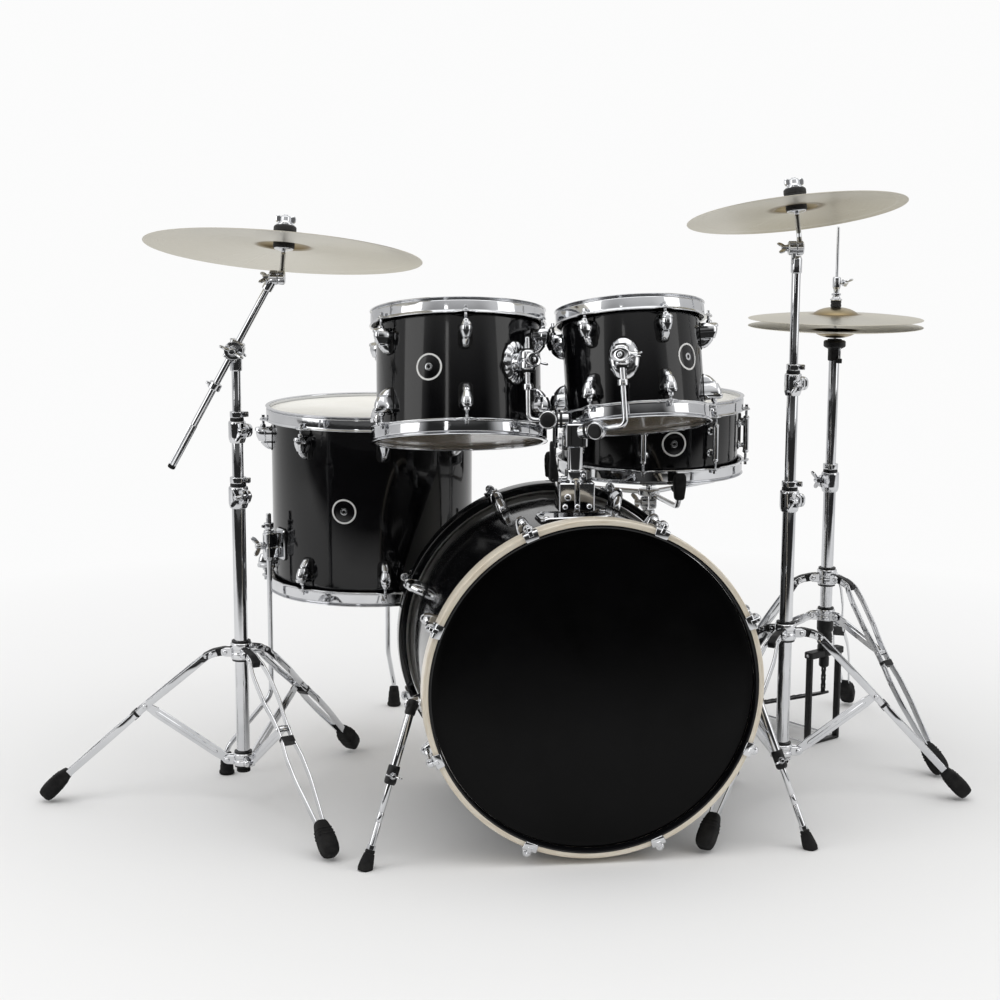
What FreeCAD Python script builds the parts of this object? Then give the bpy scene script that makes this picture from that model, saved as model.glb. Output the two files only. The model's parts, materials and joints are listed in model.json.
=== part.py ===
"""Five-piece acoustic drum kit with its cymbal stands, hi-hat stand and snare stand.

Row frame: millimetres, +Z up, the floor at Z = 0, +X to the right of someone who faces the front of the
kit, and +Y towards the player. The origin is on the floor under the middle of the whole kit.
Each drum is first built upright with the middle of its top rim at the origin, and then put in its place.
"""
import FreeCAD, Part
import math
import os

from FreeCAD import Placement, Rotation, Vector

# Shells: outer diameter and depth are the nominal sizes, in inches
INCH = 25.4
SHELL_WALL = 7.0
RIM_ABOVE_HEAD = 9.0
BASS_SHELL_RADIUS = 22 * INCH / 2
BASS_SHELL_DEPTH = 18 * INCH
TOM12_SHELL_RADIUS = 12 * INCH / 2
TOM12_SHELL_DEPTH = 9 * INCH
TOM10_SHELL_RADIUS = 10 * INCH / 2
TOM10_SHELL_DEPTH = 8 * INCH
FLOOR_TOM_SHELL_RADIUS = 16 * INCH / 2
FLOOR_TOM_SHELL_DEPTH = 14 * INCH
SNARE_SHELL_RADIUS = 14 * INCH / 2
SNARE_SHELL_DEPTH = 5.5 * INCH

# Places of the drums: the middle of the top rim, or of the bass drum's front rim
BASS_FRONT = Vector(149.5, -497.7, 310.0)
BASS_YAW = 8.2
TOM12_TOP = Vector(-97.0, -121.0, 936.0)
TOM10_TOP = Vector(220.0, -154.0, 946.0)
FLOOR_TOM_TOP = Vector(-278.0, 170.5, 726.0)
SNARE_TOP = Vector(288.0, 178.0, 749.0)
TOM12_LEAN = (-1.0, 13.6)
TOM10_LEAN = (-3.6, 14.8)

# Heads, rims and tension hardware
HEAD_THICKNESS = 1.0
FLESH_HOOP_WIDTH = 5.0
FLESH_HOOP_HEIGHT = 9.0
FILM_OVERHANG = 2.5
BASS_HEAD_GAP = 0.6
RIM_WALL = 2.3
RIM_EAR_DROP = 20.0
RIM_FLANGE = 12.0
RIM_EAR_RADIUS = 7.5
RIM_LIP = 4.0
ROD_RADIUS = 3.0
ROD_OFFSET = 16.5
ROD_HEAD_RADIUS = 5.5
ROD_HEAD_HEIGHT = 9.0
LUG_RADIUS = 11.0
LUG_LENGTH = 30.0
LUG_FOOT_RADIUS = 12.0
LUG_INSET = 60.0
LUG_WAIST = 0.7
TOM10_LUG_INSET = 54.0
FLOOR_TOM_LUG_INSET = 58.0
RACK_TOM_LUGS = 6
LARGE_DRUM_LUGS = 8
TOM12_FIRST_LUG = -84.0
TOM10_FIRST_LUG = -68.0
FLOOR_TOM_FIRST_LUG = -80.0
SNARE_FIRST_LUG = -98.0

# Bass drum hoops, claws and lugs; the claw's lengths run back from the hoop's face
BASS_HOOP_INNER = 285.0
BASS_HOOP_OUTER = 300.0
BASS_HOOP_WIDTH = 40.0
BASS_HOOP_OVERHANG = 16.5
BASS_LUGS = 8
BASS_FIRST_LUG = 22.5
BASS_ROD_RADIAL = 309.0
BASS_LUG_INSET = 88.0
BASS_LUG_LENGTH = 42.0
CLAW_WIDTH = 26.0
CLAW_THICKNESS = 3.0
CLAW_LIP = 9.0
CLAW_ROOF = 26.0
CLAW_BOSS_START = 4.0
CLAW_BOSS_END = 20.0
CLAW_BOSS_RADIUS = 8.0
CLAW_SHELF_WIDTH = 12.0

# Bass drum spurs
SPUR_PIVOT_RADIAL = 312.0
SPUR_PIVOT_DROP = 0.115
SPUR_PIVOT_BACK = 85.0
SPUR_FOOT_LATERAL = 399.5
SPUR_FOOT_BACK = 19.0
SPUR_UPPER_LENGTH = 130.0
SPUR_RUBBER_LENGTH = 24.0
SPUR_EYE_HALF = 9.0
SPUR_EYE_RADIUS = 8.5
SPUR_TUBE_RADIUS = 7.5
SPUR_COLLAR_RADIUS = 10.5
SPUR_COLLAR_BACK = 16.0
SPUR_COLLAR_AHEAD = 8.0
SPUR_TIP_RADIUS = 5.5
SPUR_TIP_INSERT = 18.0
SPUR_RUBBER_RADIUS = 11.0
SPUR_RUBBER_PAST = 14.0
SPUR_SOCKET_GAP = 13.5
SPUR_SOCKET_RADIUS = 13.0
SPUR_PLATE_THICKNESS = 6.0
SPUR_PLATE_RADIUS = 24.0

# Fits: curved faces of different pieces that slide or turn on each other
SLIDE_CLEARANCE = 0.4
PIN_CLEARANCE = 0.15

# Depth that a joined solid sinks into its neighbour, and sizes of cutting solids
SINK = 1.0
THROUGH = 400.0
CUT_DEPTH = 20.0

# Tom mount on the bass drum
TOM_POST_AXIS = Vector(117.0, -309.0, 0)
TOM_POST_RADIUS = 14.0
TOM_POST_BOTTOM = 606.0
TOM_POST_TOP = 744.0
TOM_BLOCK_HEIGHT = 42.0
TOM_BASE_BOTTOM = 592.0
TOM_BASE_TOP = 656.0
TOM_BASE_RADIUS = 24.0
TOM_BLOCK_RADIUS = 20.0
TOM_PLATE_LENGTH = 124.0
TOM_PLATE_WIDTH = 70.0
TOM_PLATE_DEPTH = 20.0
TOM_PLATE_RISE = 5.0
HANDLE_Z = 648.0
HANDLE_STEM_START = 24.5
HANDLE_STEM_RADIUS = 4.0
HANDLE_REACH = 36.0
HANDLE_LEAN = 4.0
HANDLE_LOW = 643.0
HANDLE_HIGH = 715.0
HANDLE_RADIUS = 7.0
ARM_RADIUS = 5.3
TOM12_ARM_RISE = 108.0
TOM10_ARM_RISE = 124.0
ARM_BEND = 12.0
ARM_CLAMP_RADIUS = 15.0
BRACKET_ROD_OFFSET = 33.0
ARM_CORNER_Z = 755.0
ARM_HEIGHT = 150.0
ARM_CLAMP_NEAR = 8.0
ARM_CLAMP_FAR = 58.0
ARM_END = 26.0
ESCUTCHEON_RADIUS = 30.0
ESCUTCHEON_THICKNESS = 6.0
BRACKET_NECK_RADIUS = 13.0
BRACKET_GRIP_RADIUS = 14.0
BRACKET_GRIP_HEIGHT = 34.0
BRACKET_WING_START = 6.0
BRACKET_WING_END = 24.0
BRACKET_WING_RADIUS = 4.0
TOM12_BRACKET = -47.0
TOM10_BRACKET = -101.0
ARMS = (
    ("tom_arm_left", TOM12_TOP, TOM12_LEAN, TOM12_SHELL_RADIUS, TOM12_BRACKET),
    ("tom_arm_right", TOM10_TOP, TOM10_LEAN, TOM10_SHELL_RADIUS, TOM10_BRACKET),
)

# Snare drum: one long lug serves both rims; heights are measured from the middle of the shell
SNARE_LUG_LENGTH = 76.0
STRAINER_AZIMUTH = 14.5
STRAINER_DEPTH = 16.0
STRAINER_WIDTH = 26.0
STRAINER_HALF_HEIGHT = 34.0
STRAINER_EAR_LENGTH = 8.0
STRAINER_EAR_WIDTH = 6.0
STRAINER_EAR_LOW = 8.0
STRAINER_EAR_HIGH = 24.0
BUTT_DEPTH = 12.0
BUTT_WIDTH = 30.0
BUTT_LOW = -30.0
BUTT_HIGH = 2.0
LEVER_OUT = 26.0
LEVER_THICKNESS = 6.0
LEVER_WIDTH = 16.0
LEVER_LOW = -46.0
LEVER_HIGH = 19.5
LEVER_HINGE_OUT = 29.5
LEVER_HINGE_RISE = 16.0
LEVER_PIN_RADIUS = 4.5

# Floor tom legs
LEG_AZIMUTHS = (211.0, 86.0, 340.0)
LEG_ROD_RADIUS = 5.2
LEG_ROD_RADIAL = 232.0
LEG_TOP = 520.0
LEG_KNEE_Z = 150.0
LEG_ANKLE_Z = 52.0
LEG_FOOT_RADIAL = 332.0
LEG_BRACKET_Z = 457.0
LEG_BRACKET_HEIGHT = 58.0
LEG_BRACKET_WIDTH = 34.0
LEG_BRACKET_DEPTH = 45.0
LEG_BRACKET_SINK = 4.0
LEG_END_Z = 12.0
LEG_RUBBER_LOW_RADIUS = 15.0
LEG_RUBBER_HIGH_RADIUS = 11.0
LEG_RUBBER_HEIGHT = 44.0

# Stand tubes
BASE_TUBE_RADIUS = 12.7
MID_TUBE_RADIUS = 10.6
TOP_TUBE_RADIUS = 8.4
TUBE_WALL = 1.6
CLAMP_RADIUS = 19.0
CLAMP_HEIGHT = 46.0
WING_LENGTH = 22.0
WING_WIDTH = 10.0
WING_THICKNESS = 5.0
WING_BACK = 23.0
CLAMP_FLOOR = 4.0
CLAMP_LOBE_LENGTH = 16.0
CLAMP_LOBE_WIDTH = 14.0
CLAMP_LOBE_INSET = 8.0
CLAMP_SINK = 3.0
CLAMP_BOLT_OUT = 6.0
CLAMP_BOLT_BACK = 20.0
CLAMP_BOLT_AHEAD = 16.0
CLAMP_BOLT_RADIUS = 4.0
MID_TUBE_INSERT = 260.0

# Tripods
LEG_BAR_HEIGHT = 12.0
LEG_HALF_WIDTH = 12.0
LEG_SLOT_HALF_WIDTH = 9.0
LEG_TONGUE_HALF_WIDTH = 7.0
BRACE_HALF_WIDTH = 4.0
BRACE_HEIGHT = 14.0
BRACE_ROOT_BACK = 6.0
BRACE_KNOB_RADIUS = 7.0
BRACE_KNOB_GAP = 0.6
EAR_THICKNESS = 3.5
PIVOT_RADIAL = 30.0
PIVOT_PIN_RADIUS = 3.0
RUBBER_FOOT_RADIUS = 19.0
EAR_REACH = 8.0
EAR_SINK = 3.0
EAR_HEIGHT = 16.0
UPPER_HUB_RADIUS = 20.5
UPPER_HUB_DOWN = 14.0
UPPER_HUB_UP = 18.0
LOWER_HUB_RADIUS = 19.5
LOWER_HUB_DOWN = 10.0
LOWER_HUB_UP = 12.0
LEG_ROOT_BACK = 6.0
LEG_ROOT_AHEAD = 12.0
LEG_SHOULDER_OUT = 34.0
LEG_SHOULDER_DROP = 8.0
LEG_TOE_BACK = 14.0
LEG_TOE_Z = 32.0
SLOT_START = 72.0
SLOT_END_BACK = 62.0
TONGUE_END = 48.0
TONGUE_CUT_HALF = 40.0
RUBBER_BACK = 44.0
RUBBER_HIGH = 62.0
RUBBER_AHEAD = 6.0
RUBBER_LOW = 9.0

# Cymbals: rises are the heights of the bow and of the bell, shares are parts of a radius or of a rise
CYMBAL_HOLE = 6.0
CYMBAL_THICKNESS = 1.6
BELL_SHARE = 0.2
HAT_BELL_SHARE = 0.26
BOW_MIDDLE_SHARE = 0.62
BELL_BEND_SHARE = 0.62
BELL_BEND_RISE_SHARE = 0.68
RIDE_RADIUS = 20 * INCH / 2
RIDE_LEAN = (3.7, 11.2)
RIDE_HUB_AT = 72.0
RIDE_RISE = (13.0, 13.0)
CRASH_RADIUS = 16 * INCH / 2
CRASH_LEAN = (-5.6, 11.3)
CRASH_HUB_AT = 88.0
CRASH_RISE = (11.0, 12.0)
HIHAT_RADIUS = 14 * INCH / 2
HAT_RISE = (9.0, 14.0)

# Cymbal tilters: distances along X from the pivot, and along the cymbal's rod from the top of its bell
TILTER_RADIUS = 13.0
TILTER_LOWER_START = -17.0
TILTER_LOWER_END = -1.0
TILTER_UPPER_START = -0.6
TILTER_UPPER_END = 12.0
TILTER_ROD_OUT = 6.0
CYMBAL_ROD_RADIUS = 4.0
CYMBAL_ROD_PAST = 44.0
SEAT_RADIUS = 13.0
SEAT_START = -18.0
SEAT_END = -14.0
LOWER_FELT_GAP = 2.4
UPPER_FELT_RADIUS = 15.0
UPPER_FELT_END = 18.0
NUT_RADIUS = 10.0
NUT_END = 32.0

# Boom cymbal stand
BOOM_AXIS = Vector(-505.5, -170.3, 0)
BOOM_AZIMUTHS = (181.0, 301.0, 61.0)
BOOM_HUB_Z = 296.0
BOOM_JOINT = (183.0, 190.0)
BOOM_FOOT_RADIAL = 375.0
BOOM_CLAMP_Z = 616.0
BOOM_MID_CLAMP_Z = 739.0
BOOM_PIVOT_Z = 868.0
BOOM_ARM_RADIUS = 6.4
BOOM_ARM_LOW = 250.0
BOOM_ARM_HIGH = 152.0
BOOM_ARM_LEAN = 29.0
BOOM_ARM_OFFSET = -21.0
BOOM_TOP_INSERT = 200.0
BOOM_TUBE_GAP = 15.0
BOOM_PLUG_DROP = 38.0
BOOM_PLUG_HEIGHT = 34.0
BOOM_PLUG_STEP = 0.8
BOOM_RATCHET_RADIUS = 17.0
BOOM_RATCHET_BACK = 12.0
BOOM_RATCHET_FRONT = -9.0
BOOM_CAP_BACK = -9.6
BOOM_CAP_FRONT = -32.0
BOOM_TILTER_OUT = 9.5
BOOM_CLAMP_TURN = -50.0
BOOM_MID_CLAMP_TURN = 130.0

# Straight cymbal stand
STRAIGHT_AXIS = Vector(528.3, -139.1, 0)
STRAIGHT_AZIMUTHS = (359.5, 119.5, 239.5)
STRAIGHT_HUB_Z = 330.0
STRAIGHT_FOOT_RADIAL = 352.0
STRAIGHT_CLAMP_Z = 608.0
STRAIGHT_MID_CLAMP_Z = 828.0
STRAIGHT_TILTER_Z = 1056.0
STRAIGHT_LOWER_Z = 96.0
STRAIGHT_JOINT = (175.0, 206.0)
STRAIGHT_TOP_INSERT = 240.0
STRAIGHT_TUBE_GAP = 20.0
STRAIGHT_PLUG_DROP = 38.0
STRAIGHT_PLUG_HEIGHT = 22.0
STRAIGHT_WEB = Vector(8.0, 16.0, 24.0)
STRAIGHT_WEB_AT = Vector(-9.0, -8.0, -28.0)
STRAIGHT_CLAMP_TURN = -130.0
STRAIGHT_MID_CLAMP_TURN = -50.0

# Hi-hat stand
HIHAT_AXIS = Vector(668.8, 236.6, 0)
HIHAT_AZIMUTHS = (309.7, 69.7, 180.0)
HIHAT_HUB_Z = 357.0
HIHAT_FOOT_RADIAL = 311.0
HIHAT_TUBE_BOTTOM = 262.0
HIHAT_CLAMP_Z = 584.0
HIHAT_SEAT_Z = 838.0
HIHAT_BOTTOM_RIM_Z = 882.0
HIHAT_TOP_RIM_Z = 898.0
HIHAT_ROD_TOP = 1085.0
HIHAT_JOINT = (150.0, 224.0)
HIHAT_CHAIN_TOP = 186.0
HIHAT_TOE_Z = 112.0
ROD_SLEEVE = 6.0
PEDAL_AZIMUTH = 129.7
PEDAL_HALF_WIDTH = 45.0
PEDAL_LENGTH = 250.0
PEDAL_HEEL_Z = 20.0
HIHAT_CLAMP_TURN = -50.0
HIHAT_LOWER_RISE = 14.0
HIHAT_UPPER_INSERT = 220.0
CUP_RADIUS = 17.0
CUP_HEIGHT = 12.0
CUP_FELT_RADIUS = 15.0
CUP_FELT_GAP = 2.0
PULL_ROD_RADIUS = 3.0
CHAIN_THICKNESS = 5.0
CHAIN_WIDTH = 9.0
CHAIN_START = 4.0
YOKE_DROP = 60.0
YOKE_HEIGHT = 14.0
YOKE_DEPTH = 22.0
YOKE_OVERHANG = 7.0
HOUSING_RADIUS = 15.0
SIDE_ROD_DEPTH = 14.0
SIDE_ROD_WIDTH = 8.0
SIDE_ROD_END = 6.0
FLOOR_BAR = 5.0
FLOOR_BAR_Z = 2.0
FLOOR_BAR_PAST = 10.0
PLATE_THICKNESS = 6.0
HEEL_PLATE_LENGTH = 54.0
HEEL_PLATE_START = 8.0
HEEL_PLATE_OVERHANG = 2.5
HEEL_CHEEK_LENGTH = 12.0
HEEL_CHEEK_WIDTH = 5.0
HEEL_CHEEK_HEIGHT = 24.0
HEEL_CHEEK_AT = 40.0
HEEL_PIN_RADIUS = 3.0
HEEL_PIN_HALF = 42.0
TREAD_THICKNESS = 6.0
TREAD_HALF_WIDTH = 36.0
TREAD_HEEL_OUT = 8.0
TREAD_HEEL_DROP = 2.5
TREAD_TOE_OUT = -8.0
TREAD_TOE_DROP = 3.0
TREAD_BARREL_RADIUS = 6.0

# Hi-hat clutch: heights above the crown of the top cymbal
CLUTCH_RADIUS = 8.0
CLUTCH_LOW = 14.0
CLUTCH_HIGH = 62.0
CLUTCH_SCREW_Z = 50.0
CLUTCH_SCREW_START = 7.0
CLUTCH_SCREW_END = 30.0
CLUTCH_SLEEVE_RADIUS = 5.0
CLUTCH_SLEEVE_HALF = 16.0
CLUTCH_NUT_RADIUS = 9.0
CLUTCH_NUT_DROP = 17.0
CLUTCH_NUT_HEIGHT = 6.0
CLUTCH_FELT_RADIUS = 14.0
CLUTCH_FELTS = ((0.4, 7.0), (7.2, 13.8))

# Snare stand
SNARE_STAND_AZIMUTHS = (305.0, 65.0, 185.0)
SNARE_HUB_Z = 220.0
SNARE_JOINT = (130.0, 146.0)
SNARE_LOWER_Z = 92.0
SNARE_FOOT_RADIAL = 270.0
SNARE_CLAMP_Z = 400.0
BASKET_HUB_Z = 540.0
BASKET_ARM_AZIMUTHS = (-78.5, 41.5, 161.5)
BASKET_TIP_RADIAL = 214.0
BASKET_TIP_RADIUS = 7.0
BASKET_RUBBER_TOP = 612.0
BASKET_FINGER_Z = 584.0
BASKET_FINGER_RADIAL = 182.0
BASKET_FINGER_RADIUS = 5.0
BASKET_ARM_RADIUS = 4.5
BASKET_ARM_START = 10.0
BASKET_ARM_RISES = (6.0, 10.0, 28.0)
BASKET_BEND = 14.0
BASKET_HUB_RADIUS = 22.0
BASKET_HUB_HEIGHT = 12.0
BASKET_SLEEVE_START = 6.0
BASKET_SLEEVE_PAST = 2.0
BASKET_YOKE_RADIUS = 12.0
BASKET_YOKE_DROP = 16.0
BASKET_YOKE_START = -17.0
BASKET_YOKE_END = -1.0
BASKET_KNUCKLE_START = -0.6
BASKET_KNUCKLE_END = 16.0
BASKET_NECK = Vector(12.0, 14.0, 18.0)
BASKET_NECK_AT = Vector(2.0, -7.0, -16.0)
POST_INSERT = 200.0
POST_GAP = 36.0
POST_PLUG_STEP = 2.0
POST_PLUG_HEIGHT = 12.0
POST_PLUG_DROP = 42.0
POST_WEB = Vector(11.0, 16.0, 26.0)
POST_WEB_AT = Vector(-12.0, -8.0, -42.0)
SNARE_CLAMP_TURN = 20.0

UP = Vector(0, 0, 1)
ACROSS = Vector(1, 0, 0)
FLOOR_SIZE = 4000.0


# ---------------------------------------------------------------- general helpers

def save(name, solids):
    """Write one node; its pieces stay separate solids."""
    shape = solids[0] if len(solids) == 1 else Part.makeCompound(solids)
    shape.exportStep("parts/" + name + ".step")


def fused(shapes):
    """One solid from shapes that run into each other."""
    return shapes[0].multiFuse(shapes[1:]).removeSplitter().Solids[0]


def polar(radius, azimuth, z=0.0):
    angle = math.radians(azimuth)
    return Vector(radius * math.cos(angle), radius * math.sin(angle), z)


def rod(start, end, radius):
    """Round bar between two points."""
    return Part.makeCylinder(radius, (end - start).Length, start, end - start)


def tube(start, end, outer, inner):
    return rod(start, end, outer).cut(rod(start, end, inner))


def turned(profile):
    """Solid of revolution about Z from (radius, z) corners."""
    corners = [Vector(radius, 0, z) for radius, z in profile]
    face = Part.Face(Part.makePolygon(corners + [corners[0]]))
    return face.revolve(Vector(0, 0, 0), UP, 360)


def ring(inner, outer, low, high):
    return turned([(inner, low), (outer, low), (outer, high), (inner, high)])


def block(length, width, low, high, near=0.0):
    """Box from x = near to near + length, centred in y."""
    return Part.makeBox(length, width, high - low, Vector(near, -width / 2, low))


def through_bore(radius, x, z):
    """Upright cylinder, long enough to cut right through a piece at that height."""
    return Part.makeCylinder(radius, THROUGH, Vector(x, 0, z - THROUGH / 2))


def turned_to(azimuth, at=Vector(0, 0, 0)):
    """Placement that turns +X to the azimuth and moves the origin to a point."""
    return Placement(at, Rotation(UP, azimuth))


def placed(shape, placement):
    moved = shape.copy()
    moved.Placement = placement.multiply(moved.Placement)
    return moved


def placed_all(shapes, placement):
    return [placed(shape, placement) for shape in shapes]


def lean_normal(lean):
    """Upward unit vector that leans by (towards +X, towards +Y) degrees."""
    normal = Vector(math.tan(math.radians(lean[0])), math.tan(math.radians(lean[1])), 1)
    return normal.normalize()


def leaning(at, normal):
    """Placement that tips +Z to a direction by the shortest turn."""
    return Placement(at, Rotation(UP, normal))


def strip(points, height, low, high):
    """Flat bar in the radial plane: follows (radius, z) points, from y = low to y = high."""
    upper = []
    lower = []
    for index, point in enumerate(points):
        before = points[max(index - 1, 0)]
        after = points[min(index + 1, len(points) - 1)]
        along_in = Vector(point[0] - before[0], 0, point[1] - before[1])
        along_out = Vector(after[0] - point[0], 0, after[1] - point[1])
        if index == 0:
            along_in = along_out
        if index == len(points) - 1:
            along_out = along_in
        along = (along_in.normalize() + along_out.normalize()).normalize()
        side = Vector(-along.z, 0, along.x)
        reach = height / 2 / abs(side.dot(Vector(-along_in.z, 0, along_in.x)))
        here = Vector(point[0], 0, point[1])
        upper.append(here + side * reach)
        lower.append(here - side * reach)
    outline = upper + lower[::-1]
    face = Part.Face(Part.makePolygon(outline + [outline[0]]))
    face.translate(Vector(0, low, 0))
    return face.extrude(Vector(0, high - low, 0))


def cross_pin(radial, z, radius, half_length):
    """Pin across the radial plane."""
    return rod(Vector(radial, -half_length, z), Vector(radial, half_length, z), radius)


def above_floor(shape):
    floor = Part.makeBox(FLOOR_SIZE, FLOOR_SIZE, FLOOR_SIZE,
                         Vector(-FLOOR_SIZE / 2, -FLOOR_SIZE / 2, -FLOOR_SIZE))
    return shape.cut(floor).Solids[0]


# ---------------------------------------------------------------- drums

def shell(radius, depth, top):
    return ring(radius - SHELL_WALL, radius, top - depth, top)


def head(radius, edge, side):
    """Drum skin on a bearing edge with its flesh hoop; side is +1 at the top and -1 underneath."""
    film = radius + FILM_OVERHANG
    hoop = film + FLESH_HOOP_WIDTH
    outer_face = edge + side * HEAD_THICKNESS
    skirt = edge - side * FLESH_HOOP_HEIGHT
    points = [(0, edge), (film, edge), (film, skirt), (hoop, skirt), (hoop, outer_face), (0, outer_face)]
    return turned(points)


def rim(radius, edge, side, ear_azimuths):
    """Triple-flanged steel rim: rolled lip, wall over the flesh hoop, and an ear flange with rod holes."""
    inner = radius + FILM_OVERHANG + FLESH_HOOP_WIDTH + SLIDE_CLEARANCE
    lip = edge + side * RIM_ABOVE_HEAD
    shelf = edge + side * (HEAD_THICKNESS + SLIDE_CLEARANCE)
    ear = edge - side * RIM_EAR_DROP
    body = turned([
        (inner - FLESH_HOOP_WIDTH, shelf),
        (inner - FLESH_HOOP_WIDTH, lip - side * RIM_WALL),
        (inner - FLESH_HOOP_WIDTH, lip),
        (inner + RIM_LIP, lip),
        (inner + RIM_LIP, lip - side * RIM_WALL),
        (inner - FLESH_HOOP_WIDTH + RIM_WALL, lip - side * RIM_WALL),
        (inner - FLESH_HOOP_WIDTH + RIM_WALL, shelf + side * RIM_WALL),
        (inner + RIM_WALL, shelf + side * RIM_WALL),
        (inner + RIM_WALL, ear + side * RIM_WALL),
        (radius + RIM_FLANGE, ear + side * RIM_WALL),
        (radius + RIM_FLANGE, ear),
        (inner, ear),
        (inner, shelf),
    ])
    ears = []
    holes = []
    for azimuth in ear_azimuths:
        foot = polar(radius + ROD_OFFSET, azimuth, ear)
        ears.append(rod(foot, foot + UP * side * RIM_WALL, RIM_EAR_RADIUS))
        start = foot - UP * side * RIM_WALL
        holes.append(rod(start, start + UP * side * RIM_WALL * 3, ROD_RADIUS + SLIDE_CLEARANCE))
    return fused([body] + ears).cut(Part.makeCompound(holes)).Solids[0]


def lug(radius, z, azimuth, length):
    """Rounded lug that stands off the shell on a round foot."""
    foot = Part.makeCylinder(LUG_FOOT_RADIUS, ROD_OFFSET, Vector(radius + SLIDE_CLEARANCE, 0, z), ACROSS)
    body = Part.makeCylinder(LUG_RADIUS * LUG_WAIST, length, Vector(radius + ROD_OFFSET, 0, z - length / 2))
    return placed(fused([foot, body]), turned_to(azimuth))


def tension_rod(radius, edge, side, azimuth, lug_z, lug_length):
    """Rod from the lug through the rim's ear, with its round head outside."""
    start = polar(radius + ROD_OFFSET, azimuth, lug_z + side * lug_length / 2)
    seat = polar(radius + ROD_OFFSET, azimuth, edge - side * (RIM_EAR_DROP - RIM_WALL - SLIDE_CLEARANCE))
    top = seat + UP * side * ROD_HEAD_HEIGHT
    return fused([rod(start, top, ROD_RADIUS), rod(seat, top, ROD_HEAD_RADIUS)])


def drum(radius, depth, azimuths, lug_inset=LUG_INSET, lug_length=LUG_LENGTH):
    """Pieces of one upright drum; two lugs that would sit at the same height are one."""
    top = -RIM_ABOVE_HEAD
    bottom = top - depth
    pieces = {
        "shell": [shell(radius, depth, top)],
        "heads": [head(radius, top, 1), head(radius, bottom, -1)],
        "hoops": [rim(radius, top, 1, azimuths), rim(radius, bottom, -1, azimuths)],
        "lugs": [],
    }
    lug_heights = {round(top - lug_inset, 3), round(bottom + lug_inset, 3)}
    for azimuth in azimuths:
        pieces["lugs"] += [lug(radius, height, azimuth, lug_length) for height in sorted(lug_heights)]
        for edge, side in ((top, 1), (bottom, -1)):
            lug_z = edge - side * lug_inset
            pieces["lugs"].append(tension_rod(radius, edge, side, azimuth, lug_z, lug_length))
    return pieces


def even_azimuths(count, first):
    return [first + index * 360 / count for index in range(count)]


def tom_bracket(radius, azimuth, z):
    """Round escutcheon and clamp that grips the vertical leg of a tom arm."""
    reach = radius + BRACKET_ROD_OFFSET
    plate = Part.makeCylinder(ESCUTCHEON_RADIUS, ESCUTCHEON_THICKNESS, Vector(radius - SINK, 0, z), ACROSS)
    plate = plate.cut(through_bore(radius + SLIDE_CLEARANCE, 0, z))
    neck = Part.makeCylinder(BRACKET_NECK_RADIUS, BRACKET_ROD_OFFSET, Vector(radius + 2 * SINK, 0, z),
                             ACROSS)
    grip = Part.makeCylinder(BRACKET_GRIP_RADIUS, BRACKET_GRIP_HEIGHT,
                             Vector(reach, 0, z - BRACKET_GRIP_HEIGHT / 2))
    wing = rod(Vector(reach + BRACKET_WING_START, 0, z), Vector(reach + BRACKET_WING_END, 0, z),
               BRACKET_WING_RADIUS)
    bore = through_bore(ARM_RADIUS + PIN_CLEARANCE, reach, z)
    body = fused([plate, neck, grip, wing]).cut(bore)
    return placed(body.Solids[0], turned_to(azimuth))


# ---------------------------------------------------------------- bass drum

def bass_placement():
    """The bass drum's +Z points out of its front; its batter hoop stands on the floor."""
    length = BASS_SHELL_DEPTH + 2 * BASS_HOOP_OVERHANG
    tilt = math.asin((BASS_FRONT.z - BASS_HOOP_OUTER) / length)
    yaw = math.radians(BASS_YAW)
    front = Vector(math.sin(yaw) * math.cos(tilt), -math.cos(yaw) * math.cos(tilt), math.sin(tilt))
    across = Vector(math.cos(yaw), math.sin(yaw), 0)
    return Placement(BASS_FRONT, Rotation(across, front.cross(across), front, "ZXY"))


def claw(azimuth, front, side):
    """Hook over the hoop's outer edge, with the boss that the tension rod pulls on."""
    face = front + side * SLIDE_CLEARANCE
    roof_radius = BASS_HOOP_OUTER + SLIDE_CLEARANCE
    low, high = sorted((face + side * CLAW_THICKNESS, front - side * CLAW_ROOF))
    roof = block(CLAW_THICKNESS, CLAW_WIDTH, low, high, roof_radius)
    low, high = sorted((face + side * CLAW_THICKNESS, face))
    lip = block(CLAW_LIP + CLAW_THICKNESS, CLAW_WIDTH, low, high, roof_radius - CLAW_LIP)
    low, high = sorted((front - side * CLAW_BOSS_START, front - side * CLAW_BOSS_END))
    boss = Part.makeCylinder(CLAW_BOSS_RADIUS, high - low, Vector(BASS_ROD_RADIAL, 0, low))
    shelf = block(BASS_ROD_RADIAL - roof_radius, CLAW_SHELF_WIDTH, low, high, roof_radius)
    return placed(fused([roof, lip, shelf, boss]), turned_to(azimuth))


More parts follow.
